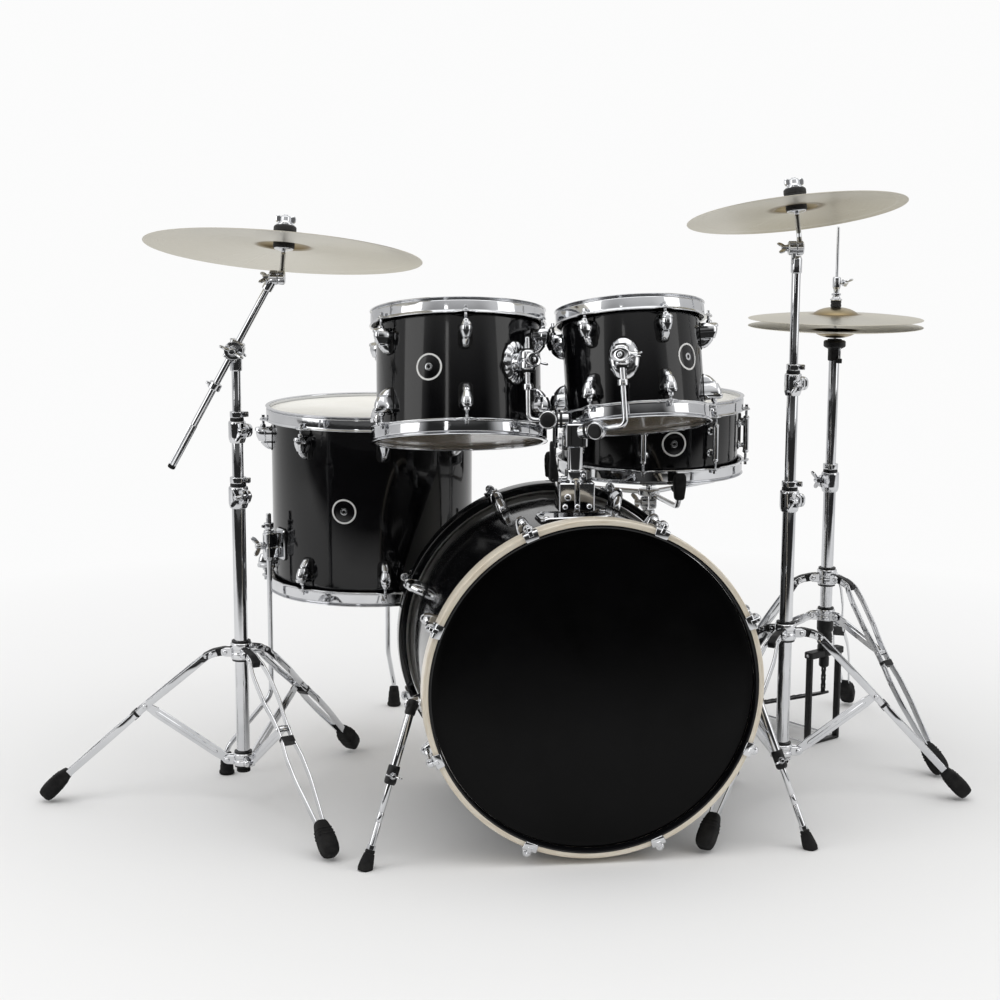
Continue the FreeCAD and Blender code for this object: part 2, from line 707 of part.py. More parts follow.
def build_bass():
    put = bass_placement()
    length = BASS_SHELL_DEPTH + 2 * BASS_HOOP_OVERHANG
    front_edge = -BASS_HOOP_OVERHANG
    back_edge = front_edge - BASS_SHELL_DEPTH
    lugs = []
    claws = []
    for azimuth in even_azimuths(BASS_LUGS, BASS_FIRST_LUG):
        for front, edge, side in ((0.0, front_edge, 1), (-length, back_edge, -1)):
            lug_z = edge - side * BASS_LUG_INSET
            foot = Part.makeCylinder(LUG_FOOT_RADIUS, BASS_ROD_RADIAL - BASS_SHELL_RADIUS,
                                     Vector(BASS_SHELL_RADIUS + SLIDE_CLEARANCE, 0, lug_z), ACROSS)
            body = Part.makeCylinder(LUG_RADIUS, BASS_LUG_LENGTH,
                                     Vector(BASS_ROD_RADIAL, 0, lug_z - BASS_LUG_LENGTH / 2))
            lugs.append(placed(fused([foot, body]), turned_to(azimuth)))
            claws.append(claw(azimuth, front, side))
            start = polar(BASS_ROD_RADIAL, azimuth, lug_z + side * BASS_LUG_LENGTH / 2)
            end = polar(BASS_ROD_RADIAL, azimuth, front - side * CLAW_BOSS_END)
            claws.append(rod(start, end, ROD_RADIUS))
    save("bass_shell", placed_all([shell(BASS_SHELL_RADIUS, BASS_SHELL_DEPTH, front_edge)], put))
    hoops = (
        ("bass_hoop_front", -BASS_HOOP_WIDTH, 0.0),
        ("bass_hoop_batter", -length, BASS_HOOP_WIDTH - length),
    )
    for name, low, high in hoops:
        save(name, placed_all([ring(BASS_HOOP_INNER, BASS_HOOP_OUTER, low, high)], put))
    save("bass_head_front", placed_all([bass_head(front_edge, 1)], put))
    save("bass_head_batter", placed_all([bass_head(back_edge, -1)], put))
    save("bass_lugs", placed_all(lugs, put))
    save("bass_claws", placed_all(claws, put))


def bass_head(edge, side):
    film = BASS_SHELL_RADIUS + BASS_HEAD_GAP
    hoop = BASS_HOOP_INNER - BASS_HEAD_GAP
    return turned([(0, edge), (film, edge), (film, edge - side * FLESH_HOOP_HEIGHT),
                   (hoop, edge - side * FLESH_HOOP_HEIGHT), (hoop, edge + side * HEAD_THICKNESS),
                   (0, edge + side * HEAD_THICKNESS)])


def spur_points(side):
    """Pivot and foot of one spur, in the row frame; side is +1 on the right."""
    put = bass_placement()
    pivot = put.multVec(Vector(side * SPUR_PIVOT_RADIAL * math.cos(SPUR_PIVOT_DROP),
                               -SPUR_PIVOT_RADIAL * math.sin(SPUR_PIVOT_DROP), -SPUR_PIVOT_BACK))
    foot = put.multVec(Vector(side * SPUR_FOOT_LATERAL, 0, -SPUR_FOOT_BACK))
    foot.z = 0.0
    return pivot, foot


def build_spurs():
    back = bass_placement().Rotation.multVec(-UP)
    for name, side in (("spur_left", -1), ("spur_right", 1)):
        pivot, foot = spur_points(side)
        along = (foot - pivot).normalize()
        hinge = along.cross(back).normalize()
        knee = pivot + along * SPUR_UPPER_LENGTH
        ankle = foot - along * SPUR_RUBBER_LENGTH
        eye = rod(pivot - hinge * SPUR_EYE_HALF, pivot + hinge * SPUR_EYE_HALF, SPUR_EYE_RADIUS)
        upper = rod(pivot, knee, SPUR_TUBE_RADIUS)
        collar = rod(knee - along * SPUR_COLLAR_BACK, knee + along * SPUR_COLLAR_AHEAD, SPUR_COLLAR_RADIUS)
        lower = rod(knee, ankle + along * SPUR_TIP_INSERT, SPUR_TIP_RADIUS)
        metal = fused([eye, upper, collar, lower])
        tip = rod(ankle, foot + along * SPUR_RUBBER_PAST, SPUR_RUBBER_RADIUS)
        rubber = above_floor(tip).cut(metal)
        save(name, [metal, rubber])


def spur_bracket(side):
    """Cast bracket between the shell and one spur's pivot."""
    pivot, foot = spur_points(side)
    along = (foot - pivot).normalize()
    put = bass_placement()
    near = BASS_SHELL_RADIUS + 2 * SINK
    inner = put.multVec(Vector(side * near * math.cos(SPUR_PIVOT_DROP),
                               -near * math.sin(SPUR_PIVOT_DROP), -SPUR_PIVOT_BACK))
    outward = (pivot - inner).normalize()
    socket = rod(inner, pivot - outward * SPUR_SOCKET_GAP, SPUR_SOCKET_RADIUS)
    plate = rod(inner, inner + outward * SPUR_PLATE_THICKNESS, SPUR_PLATE_RADIUS)
    hollow = placed(shell_core(), put)
    return fused([socket, plate]).cut(hollow).Solids[0]


def shell_core():
    """Everything inside the bass drum's outer surface, with clearance."""
    return Part.makeCylinder(BASS_SHELL_RADIUS + SLIDE_CLEARANCE, BASS_SHELL_DEPTH + THROUGH,
                             Vector(0, 0, -BASS_SHELL_DEPTH - THROUGH / 2))


# ---------------------------------------------------------------- tom mount

def arm_points(top, lean, radius, azimuth):
    """Corner of a tom arm's L, and the unit directions of its upright and of its leg towards the post."""
    normal = lean_normal(lean)
    out = leaning(top, normal).Rotation.multVec(polar(radius + BRACKET_ROD_OFFSET, azimuth))
    upright = top + out
    corner = upright - normal * ((upright.z - ARM_CORNER_Z) / normal.z)
    level = Vector(TOM_POST_AXIS.x - corner.x, TOM_POST_AXIS.y - corner.y, 0).normalize()
    inward = (level - normal * level.dot(normal)).normalize()
    return corner, normal, inward


def tom_arm(corner, normal, inward, reach):
    """L-shaped rod: a bend joins the upright to the leg in the clamp."""
    leg_start = corner + inward * ARM_BEND
    upright_start = corner + normal * ARM_BEND
    middle = corner + (inward + normal) * ARM_BEND * (1 - math.sqrt(0.5))
    bend = Part.Arc(leg_start, middle, upright_start).toShape()
    leg = Part.LineSegment(corner + inward * reach, leg_start).toShape()
    upright = Part.LineSegment(upright_start, corner + normal * ARM_HEIGHT).toShape()
    path = Part.Wire([leg, bend, upright])
    section = Part.Wire(Part.makeCircle(ARM_RADIUS, corner + inward * reach, inward))
    return path.makePipeShell([section], True, False)


def build_tom_mount():
    post = rod(TOM_POST_AXIS + UP * TOM_POST_BOTTOM, TOM_POST_AXIS + UP * TOM_POST_TOP, TOM_POST_RADIUS)
    head = rod(TOM_POST_AXIS + UP * (TOM_POST_TOP - TOM_BLOCK_HEIGHT), TOM_POST_AXIS + UP * TOM_POST_TOP,
               TOM_BLOCK_RADIUS)
    parts = [post, head]
    bores = []
    for name, top, lean, radius, azimuth in ARMS:
        corner, normal, inward = arm_points(top, lean, radius, azimuth)
        distance = Vector(TOM_POST_AXIS.x - corner.x, TOM_POST_AXIS.y - corner.y, 0).Length
        far = corner + inward * (distance - ARM_CLAMP_FAR)
        near = corner + inward * (distance - ARM_CLAMP_NEAR)
        parts.append(rod(far, near, ARM_CLAMP_RADIUS))
        reach = distance - ARM_END
        bores.append(rod(corner, corner + inward * (reach + SLIDE_CLEARANCE), ARM_RADIUS + PIN_CLEARANCE))
        save(name, [tom_arm(corner, normal, inward, reach)])
    save("tom_post", [fused(parts).cut(Part.makeCompound(bores)).Solids[0]])


def build_bass_brackets():
    base = rod(TOM_POST_AXIS + UP * TOM_BASE_BOTTOM, TOM_POST_AXIS + UP * TOM_BASE_TOP, TOM_BASE_RADIUS)
    plate = block(TOM_PLATE_LENGTH, TOM_PLATE_WIDTH, TOM_BASE_BOTTOM - TOM_PLATE_DEPTH,
                  TOM_BASE_BOTTOM + TOM_PLATE_RISE, -TOM_PLATE_LENGTH / 2)
    plate = placed(plate, turned_to(BASS_YAW, TOM_POST_AXIS))
    bore = rod(TOM_POST_AXIS + UP * (TOM_POST_BOTTOM - SINK), TOM_POST_AXIS + UP * TOM_POST_TOP,
               TOM_POST_RADIUS + SLIDE_CLEARANCE)
    core = placed(shell_core(), bass_placement())
    mount = fused([base, plate]).cut(bore).cut(core).Solids[0]
    stem = rod(TOM_POST_AXIS + Vector(-HANDLE_STEM_START, 0, HANDLE_Z),
               TOM_POST_AXIS + Vector(-HANDLE_REACH, 0, HANDLE_Z), HANDLE_STEM_RADIUS)
    grip = rod(TOM_POST_AXIS + Vector(-HANDLE_REACH, 0, HANDLE_LOW),
               TOM_POST_AXIS + Vector(HANDLE_LEAN - HANDLE_REACH, 0, HANDLE_HIGH), HANDLE_RADIUS)
    save("bass_brackets", [mount, fused([stem, grip]), spur_bracket(-1), spur_bracket(1)])


# ---------------------------------------------------------------- toms and snare drum

def build_rack_tom(name, radius, depth, top, lean, first_lug, lug_inset, bracket_azimuth, arm_rise):
    pieces = drum(radius, depth, even_azimuths(RACK_TOM_LUGS, first_lug), lug_inset)
    normal = lean_normal(lean)
    corner = arm_points(top, lean, radius, bracket_azimuth)[0]
    bracket_z = (corner - top).dot(normal) + arm_rise
    pieces["lugs"].append(tom_bracket(radius, bracket_azimuth, bracket_z))
    put = leaning(top, normal)
    for part, solids in pieces.items():
        save(name + "_" + part, placed_all(solids, put))


def floor_leg_bracket(azimuth):
    low = LEG_BRACKET_Z - FLOOR_TOM_TOP.z - LEG_BRACKET_HEIGHT / 2
    body = block(LEG_BRACKET_DEPTH, LEG_BRACKET_WIDTH, low, low + LEG_BRACKET_HEIGHT,
                 FLOOR_TOM_SHELL_RADIUS - LEG_BRACKET_SINK)
    inside = through_bore(FLOOR_TOM_SHELL_RADIUS + SLIDE_CLEARANCE, 0, low)
    bore = through_bore(LEG_ROD_RADIUS + PIN_CLEARANCE, LEG_ROD_RADIAL, low)
    return placed(body.cut(inside).cut(bore).Solids[0], turned_to(azimuth))


def build_floor_tom():
    azimuths = even_azimuths(LARGE_DRUM_LUGS, FLOOR_TOM_FIRST_LUG)
    pieces = drum(FLOOR_TOM_SHELL_RADIUS, FLOOR_TOM_SHELL_DEPTH, azimuths, FLOOR_TOM_LUG_INSET)
    pieces["lugs"] += [floor_leg_bracket(azimuth) for azimuth in LEG_AZIMUTHS]
    put = Placement(FLOOR_TOM_TOP, Rotation())
    for part, solids in pieces.items():
        save("floor_tom_" + part, placed_all(solids, put))
    knee = (LEG_ROD_RADIAL, LEG_KNEE_Z)
    ankle = (LEG_FOOT_RADIAL, LEG_ANKLE_Z)
    for index, azimuth in enumerate(LEG_AZIMUTHS, 1):
        points = [(LEG_ROD_RADIAL, LEG_TOP), knee, ankle, (LEG_FOOT_RADIAL, LEG_END_Z)]
        corners = [Vector(radial, 0, z) for radial, z in points]
        bars = [rod(start, end, LEG_ROD_RADIUS) for start, end in zip(corners, corners[1:])]
        knuckles = [Part.makeSphere(LEG_ROD_RADIUS, corner) for corner in corners[1:-1]]
        metal = fused(bars + knuckles)
        cone = Part.makeCone(LEG_RUBBER_LOW_RADIUS, LEG_RUBBER_HIGH_RADIUS, LEG_RUBBER_HEIGHT,
                             Vector(LEG_FOOT_RADIAL, 0, 0))
        rubber = cone.cut(metal).Solids[0]
        at = Vector(FLOOR_TOM_TOP.x, FLOOR_TOM_TOP.y, 0)
        save("floor_tom_leg_" + str(index), placed_all([metal, rubber], turned_to(azimuth, at)))


def build_snare():
    middle = -RIM_ABOVE_HEAD - SNARE_SHELL_DEPTH / 2
    azimuths = even_azimuths(LARGE_DRUM_LUGS, SNARE_FIRST_LUG)
    pieces = drum(SNARE_SHELL_RADIUS, SNARE_SHELL_DEPTH, azimuths, SNARE_SHELL_DEPTH / 2, SNARE_LUG_LENGTH)
    near = SNARE_SHELL_RADIUS + SLIDE_CLEARANCE
    strainer = block(STRAINER_DEPTH, STRAINER_WIDTH, middle - STRAINER_HALF_HEIGHT,
                     middle + STRAINER_HALF_HEIGHT, near)
    ear = block(STRAINER_EAR_LENGTH, STRAINER_EAR_WIDTH, middle + STRAINER_EAR_LOW,
                middle + STRAINER_EAR_HIGH, SNARE_SHELL_RADIUS + STRAINER_DEPTH)
    butt = block(BUTT_DEPTH, BUTT_WIDTH, middle + BUTT_LOW, middle + BUTT_HIGH, near)
    pieces["lugs"].append(placed(fused([strainer, ear]), turned_to(STRAINER_AZIMUTH)))
    pieces["lugs"].append(placed(butt, turned_to(STRAINER_AZIMUTH + 180)))
    put = Placement(SNARE_TOP, Rotation())
    for part, solids in pieces.items():
        save("snare_" + part, placed_all(solids, put))
    blade = block(LEVER_THICKNESS, LEVER_WIDTH, middle + LEVER_LOW, middle + LEVER_HIGH,
                  SNARE_SHELL_RADIUS + LEVER_OUT)
    hinge = cross_pin(SNARE_SHELL_RADIUS + LEVER_HINGE_OUT, middle + LEVER_HINGE_RISE, LEVER_PIN_RADIUS,
                      LEVER_WIDTH / 2)
    lever = fused([blade, hinge])
    save("snare_strainer_lever", placed_all([lever], put.multiply(turned_to(STRAINER_AZIMUTH))))


# ---------------------------------------------------------------- stands

def clamp(top, inner, azimuth):
    """Height clamp at the top of a tube: collar, split lug, bolt and wing nut."""
    collar = ring(inner, CLAMP_RADIUS, top - CLAMP_HEIGHT, top)
    middle = top - CLAMP_HEIGHT / 2
    lobe = block(CLAMP_LOBE_LENGTH, CLAMP_LOBE_WIDTH, top - CLAMP_HEIGHT + CLAMP_LOBE_INSET,
                 top - CLAMP_LOBE_INSET, CLAMP_RADIUS - CLAMP_SINK)
    bolt_x = CLAMP_RADIUS + CLAMP_BOLT_OUT
    bolt = rod(Vector(bolt_x, -CLAMP_BOLT_BACK, middle), Vector(bolt_x, CLAMP_BOLT_AHEAD, middle),
               CLAMP_BOLT_RADIUS)
    wing = Part.makeBox(WING_WIDTH, WING_THICKNESS, WING_LENGTH * 2,
                        Vector(bolt_x - WING_WIDTH / 2, -WING_BACK, middle - WING_LENGTH))
    return placed(fused([collar, lobe, bolt, wing]), turned_to(azimuth))


def clamped_tube(outer, inner_tube, bottom, top, azimuth):
    """Stand tube whose clamp grips the next thinner tube."""
    body = ring(outer - TUBE_WALL, outer, bottom, top - SINK)
    grip = clamp(top, inner_tube + SLIDE_CLEARANCE, azimuth)
    bore = Part.makeCylinder(outer - TUBE_WALL, top - CLAMP_FLOOR - bottom, Vector(0, 0, bottom))
    return fused([body, grip.cut(bore).Solids[0]])


def eared_hub(outer, low, high, tube_radius, pivot_z, tongue_half_width, azimuths):
    """Hub round a tube, with two ears and a pin for each leg or brace."""
    shapes = [ring(tube_radius + SLIDE_CLEARANCE, outer, low, high)]
    for azimuth in azimuths:
        face = tongue_half_width + SLIDE_CLEARANCE
        for ear_y in (face, -face - EAR_THICKNESS):
            ear = Part.makeBox(PIVOT_RADIAL + EAR_REACH - outer + EAR_SINK, EAR_THICKNESS, EAR_HEIGHT,
                               Vector(outer - EAR_SINK, ear_y, pivot_z - EAR_HEIGHT / 2))
            shapes.append(placed(ear, turned_to(azimuth)))
        pin = cross_pin(PIVOT_RADIAL, pivot_z, PIVOT_PIN_RADIUS, tongue_half_width + EAR_THICKNESS)
        shapes.append(placed(pin, turned_to(azimuth)))
    return fused(shapes)


def upper_hub(hub_z, tube_radius, azimuths):
    """Hub that carries the tops of the legs."""
    return eared_hub(UPPER_HUB_RADIUS, hub_z - UPPER_HUB_DOWN, hub_z + UPPER_HUB_UP, tube_radius, hub_z,
                     LEG_TONGUE_HALF_WIDTH, azimuths)


def lower_hub(lower_z, tube_radius, azimuths):
    """Hub that carries the roots of the braces, fixed on its tube."""
    return eared_hub(LOWER_HUB_RADIUS, lower_z - LOWER_HUB_DOWN, lower_z + LOWER_HUB_UP,
                     tube_radius - SLIDE_CLEARANCE, lower_z, BRACE_HALF_WIDTH, azimuths)


def tripod_leg(hub_z, joint, foot_radial):
    """Double-strand leg and its rubber foot, at azimuth 0."""
    root = (PIVOT_RADIAL - LEG_ROOT_BACK, hub_z)
    neck = (PIVOT_RADIAL + LEG_ROOT_AHEAD, hub_z)
    shoulder = (PIVOT_RADIAL + LEG_SHOULDER_OUT, hub_z - LEG_SHOULDER_DROP)
    points = [root, neck, shoulder, joint, (foot_radial - LEG_TOE_BACK, LEG_TOE_Z)]
    metal = strip(points, LEG_BAR_HEIGHT, -LEG_HALF_WIDTH, LEG_HALF_WIDTH)
    slot = Part.makeBox(foot_radial - SLOT_END_BACK - SLOT_START, LEG_SLOT_HALF_WIDTH * 2, THROUGH,
                        Vector(SLOT_START, -LEG_SLOT_HALF_WIDTH, 0))
    metal = metal.cut(slot)
    for face in (LEG_TONGUE_HALF_WIDTH, -LEG_TONGUE_HALF_WIDTH - CUT_DEPTH):
        metal = metal.cut(Part.makeBox(TONGUE_END, CUT_DEPTH, 2 * TONGUE_CUT_HALF,
                                       Vector(0, face, hub_z - TONGUE_CUT_HALF)))
    metal = metal.cut(cross_pin(PIVOT_RADIAL, hub_z, PIVOT_PIN_RADIUS + PIN_CLEARANCE, CUT_DEPTH)).Solids[0]
    start = Vector(foot_radial - RUBBER_BACK, 0, RUBBER_HIGH)
    toe = Vector(foot_radial + RUBBER_AHEAD, 0, RUBBER_LOW)
    rubber = above_floor(rod(start, toe, RUBBER_FOOT_RADIUS)).cut(metal).Solids[0]
    return [metal, rubber]


def tripod_brace(lower_z, joint):
    """Flat bar from the lower hub to the slot of a leg, at azimuth 0."""
    root = Vector(PIVOT_RADIAL, 0, lower_z)
    tip = Vector(joint[0], 0, joint[1])
    along = (tip - root).normalize()
    start = root - along * BRACE_ROOT_BACK
    bar = strip([(start.x, start.z), (tip.x, tip.z)], BRACE_HEIGHT, -BRACE_HALF_WIDTH, BRACE_HALF_WIDTH)
    knob = cross_pin(tip.x, tip.z, BRACE_KNOB_RADIUS, LEG_SLOT_HALF_WIDTH - BRACE_KNOB_GAP)
    hole = cross_pin(root.x, root.z, PIVOT_PIN_RADIUS + PIN_CLEARANCE, CUT_DEPTH)
    return fused([bar, knob]).cut(hole).Solids[0]


def fixed_tripod(hub_z, lower_z, joint, foot_radial, azimuths):
    """Legs, braces, feet and both hubs of a stand that keeps its spread."""
    pieces = [
        upper_hub(hub_z, BASE_TUBE_RADIUS - SLIDE_CLEARANCE, azimuths),
        lower_hub(lower_z, BASE_TUBE_RADIUS, azimuths),
    ]
    for azimuth in azimuths:
        spoke = tripod_leg(hub_z, joint, foot_radial) + [tripod_brace(lower_z, joint)]
        pieces += placed_all(spoke, turned_to(azimuth))
    return pieces


def cymbal(radius, bow_rise, bell_radius, bell_rise):
    """Bowed disc with a bell, the middle of its rim at the origin."""
    def curve(drop):
        rim_point = Vector(radius, 0, -drop)
        shoulder = Vector(bell_radius, 0, bow_rise - drop)
        middle = Vector((radius + bell_radius) / 2, 0, bow_rise * BOW_MIDDLE_SHARE - drop)
        crown = Vector(CYMBAL_HOLE, 0, bow_rise + bell_rise - drop)
        bend = Vector(bell_radius * BELL_BEND_SHARE, 0, bow_rise + bell_rise * BELL_BEND_RISE_SHARE - drop)
        return rim_point, crown, [Part.Arc(rim_point, middle, shoulder), Part.Arc(shoulder, bend, crown)]
    top_rim, top_crown, top_arcs = curve(0.0)
    low_rim, low_crown, low_arcs = curve(CYMBAL_THICKNESS)
    edges = top_arcs + [Part.LineSegment(top_crown, low_crown)] + low_arcs[::-1]
    edges.append(Part.LineSegment(low_rim, top_rim))
    wire = Part.Wire(Part.__sortEdges__([edge.toShape() for edge in edges]))
    return Part.Face(wire).revolve(Vector(0, 0, 0), UP, 360).Solids[0]


def tilter_lower(pivot):
    """Fixed half of the ratchet, on the -X side of the pivot."""
    return rod(pivot + ACROSS * TILTER_LOWER_START, pivot + ACROSS * TILTER_LOWER_END, TILTER_RADIUS)


def tilter_upper(pivot, normal, hub_at):
    """Moving half of the ratchet with the cymbal rod, felts, sleeve and wing nut."""
    base = pivot + ACROSS * TILTER_ROD_OUT
    hub = base + normal * hub_at
    disc = rod(pivot + ACROSS * TILTER_UPPER_START, pivot + ACROSS * TILTER_UPPER_END, TILTER_RADIUS)
    seat = rod(hub + normal * SEAT_START, hub + normal * SEAT_END, SEAT_RADIUS)
    metal = fused([disc, rod(base, hub + normal * CYMBAL_ROD_PAST, CYMBAL_ROD_RADIUS), seat])
    lower_felt = tube(hub + normal * SEAT_END, hub - normal * (CYMBAL_THICKNESS + LOWER_FELT_GAP),
                      SEAT_RADIUS, CYMBAL_ROD_RADIUS)
    upper_felt = tube(hub + normal * SLIDE_CLEARANCE, hub + normal * UPPER_FELT_END, UPPER_FELT_RADIUS,
                      CYMBAL_ROD_RADIUS)
    nut = tube(hub + normal * UPPER_FELT_END, hub + normal * NUT_END, NUT_RADIUS, CYMBAL_ROD_RADIUS)
    return [metal, lower_felt, upper_felt, nut]


def build_cymbal(name, radius, pivot, normal, hub_at, rise):
    """Cymbal on a tilter's rod; rise is the height of its bow and of its bell."""
    centre = pivot + ACROSS * TILTER_ROD_OUT + normal * (hub_at - sum(rise))
    save(name, placed_all([cymbal(radius, rise[0], radius * BELL_SHARE, rise[1])], leaning(centre, normal)))


def build_boom_stand():
    put = Placement(BOOM_AXIS, Rotation())
    lower_z = 2 * BOOM_JOINT[1] - BOOM_HUB_Z
    hub = lower_hub(lower_z, BASE_TUBE_RADIUS, BOOM_AZIMUTHS)
    base = clamped_tube(BASE_TUBE_RADIUS, MID_TUBE_RADIUS, lower_z - LOWER_HUB_DOWN, BOOM_CLAMP_Z,
                        BOOM_CLAMP_TURN)
    save("boom_base_tube", placed_all([fused([hub, base])], put))
    save("boom_collar", placed_all([upper_hub(BOOM_HUB_Z, BASE_TUBE_RADIUS, BOOM_AZIMUTHS)], put))
    for index, azimuth in enumerate(BOOM_AZIMUTHS, 1):
        spoke = turned_to(azimuth, BOOM_AXIS)
        leg = tripod_leg(BOOM_HUB_Z, BOOM_JOINT, BOOM_FOOT_RADIAL)
        save("boom_leg_" + str(index), placed_all(leg, spoke))
        save("boom_brace_" + str(index), placed_all([tripod_brace(lower_z, BOOM_JOINT)], spoke))
    mid = clamped_tube(MID_TUBE_RADIUS, TOP_TUBE_RADIUS, BOOM_CLAMP_Z - MID_TUBE_INSERT, BOOM_MID_CLAMP_Z,
                       BOOM_MID_CLAMP_TURN)
    save("boom_mid_tube", placed_all([mid], put))
    top = ring(TOP_TUBE_RADIUS - TUBE_WALL, TOP_TUBE_RADIUS, BOOM_MID_CLAMP_Z - BOOM_TOP_INSERT,
               BOOM_PIVOT_Z - BOOM_TUBE_GAP)
    plug = Part.makeCylinder(TOP_TUBE_RADIUS + BOOM_PLUG_STEP, BOOM_PLUG_HEIGHT,
                             Vector(0, 0, BOOM_PIVOT_Z - BOOM_PLUG_DROP))
    ratchet = rod(Vector(0, BOOM_RATCHET_BACK, BOOM_PIVOT_Z), Vector(0, BOOM_RATCHET_FRONT, BOOM_PIVOT_Z),
                  BOOM_RATCHET_RADIUS)
    save("boom_top_tube", placed_all([fused([top, plug, ratchet])], put))
    low, high, pivot = boom_arm_points()
    cap = rod(BOOM_AXIS + Vector(0, BOOM_CAP_BACK, BOOM_PIVOT_Z),
              BOOM_AXIS + Vector(0, BOOM_CAP_FRONT, BOOM_PIVOT_Z), BOOM_RATCHET_RADIUS)
    save("boom_arm", [fused([rod(low, high, BOOM_ARM_RADIUS), cap, tilter_lower(pivot)])])
    normal = lean_normal(RIDE_LEAN)
    save("boom_tilter", tilter_upper(pivot, normal, RIDE_HUB_AT))
    build_cymbal("ride_cymbal", RIDE_RADIUS, pivot, normal, RIDE_HUB_AT, RIDE_RISE)


def boom_arm_points():
    """Low end and upper end of the boom arm, and the pivot of its tilter."""
    middle = BOOM_AXIS + Vector(0, BOOM_ARM_OFFSET, BOOM_PIVOT_Z)
    lean = math.radians(BOOM_ARM_LEAN)
    along = Vector(math.sin(lean), 0, math.cos(lean))
    high = middle + along * BOOM_ARM_HIGH
    return middle - along * BOOM_ARM_LOW, high, high + ACROSS * BOOM_TILTER_OUT


def build_straight_stand():
    put = Placement(STRAIGHT_AXIS, Rotation())
    lower_z = STRAIGHT_LOWER_Z
    base = clamped_tube(BASE_TUBE_RADIUS, MID_TUBE_RADIUS, lower_z - LOWER_HUB_DOWN, STRAIGHT_CLAMP_Z,
                        STRAIGHT_CLAMP_TURN)
    tripod = fixed_tripod(STRAIGHT_HUB_Z, lower_z, STRAIGHT_JOINT, STRAIGHT_FOOT_RADIAL, STRAIGHT_AZIMUTHS)
    body = fused([base] + tripod[:2])
    save("straight_stand_base", placed_all([body] + tripod[2:], put))
    mid = clamped_tube(MID_TUBE_RADIUS, TOP_TUBE_RADIUS, STRAIGHT_CLAMP_Z - MID_TUBE_INSERT,
                       STRAIGHT_MID_CLAMP_Z, STRAIGHT_MID_CLAMP_TURN)
    save("straight_mid_tube", placed_all([mid], put))
    pivot = STRAIGHT_AXIS + UP * STRAIGHT_TILTER_Z
    top = ring(TOP_TUBE_RADIUS - TUBE_WALL, TOP_TUBE_RADIUS, STRAIGHT_MID_CLAMP_Z - STRAIGHT_TOP_INSERT,
               STRAIGHT_TILTER_Z - STRAIGHT_TUBE_GAP)
    plug = Part.makeCylinder(TOP_TUBE_RADIUS, STRAIGHT_PLUG_HEIGHT,
                             Vector(0, 0, STRAIGHT_TILTER_Z - STRAIGHT_PLUG_DROP))
    web = Part.makeBox(*STRAIGHT_WEB, STRAIGHT_WEB_AT + UP * STRAIGHT_TILTER_Z)
    fixed = fused([placed(fused([top, plug, web]), put), tilter_lower(pivot)])
    save("straight_top_tube", [fixed])
    normal = lean_normal(CRASH_LEAN)
    save("straight_tilter", tilter_upper(pivot, normal, CRASH_HUB_AT))
    build_cymbal("crash_cymbal", CRASH_RADIUS, pivot, normal, CRASH_HUB_AT, CRASH_RISE)


def basket_arm():
    """Bent wire arm of the snare basket and its rubber grip with a finger under the drum, at azimuth 0."""
    start_rise, bend_rise, tip_rise = BASKET_ARM_RISES
    points = [
        Vector(BASKET_ARM_START, 0, BASKET_HUB_Z + start_rise),
        Vector(BASKET_TIP_RADIAL - BASKET_BEND, 0, BASKET_HUB_Z + bend_rise),
        Vector(BASKET_TIP_RADIAL, 0, BASKET_HUB_Z + tip_rise),
        Vector(BASKET_TIP_RADIAL, 0, BASKET_RUBBER_TOP),
    ]
    bars = [rod(start, end, BASKET_ARM_RADIUS) for start, end in zip(points, points[1:])]
    knuckles = [Part.makeSphere(BASKET_ARM_RADIUS, point) for point in points[1:-1]]
    sleeve = rod(points[2] + UP * BASKET_SLEEVE_START, points[3] + UP * BASKET_SLEEVE_PAST,
                 BASKET_TIP_RADIUS)
    finger = rod(Vector(BASKET_TIP_RADIAL, 0, BASKET_FINGER_Z),
                 Vector(BASKET_FINGER_RADIAL, 0, BASKET_FINGER_Z), BASKET_FINGER_RADIUS)
    rubber = fused([sleeve, finger]).cut(rod(points[2], points[3], BASKET_ARM_RADIUS)).Solids[0]
    return fused(bars + knuckles), rubber


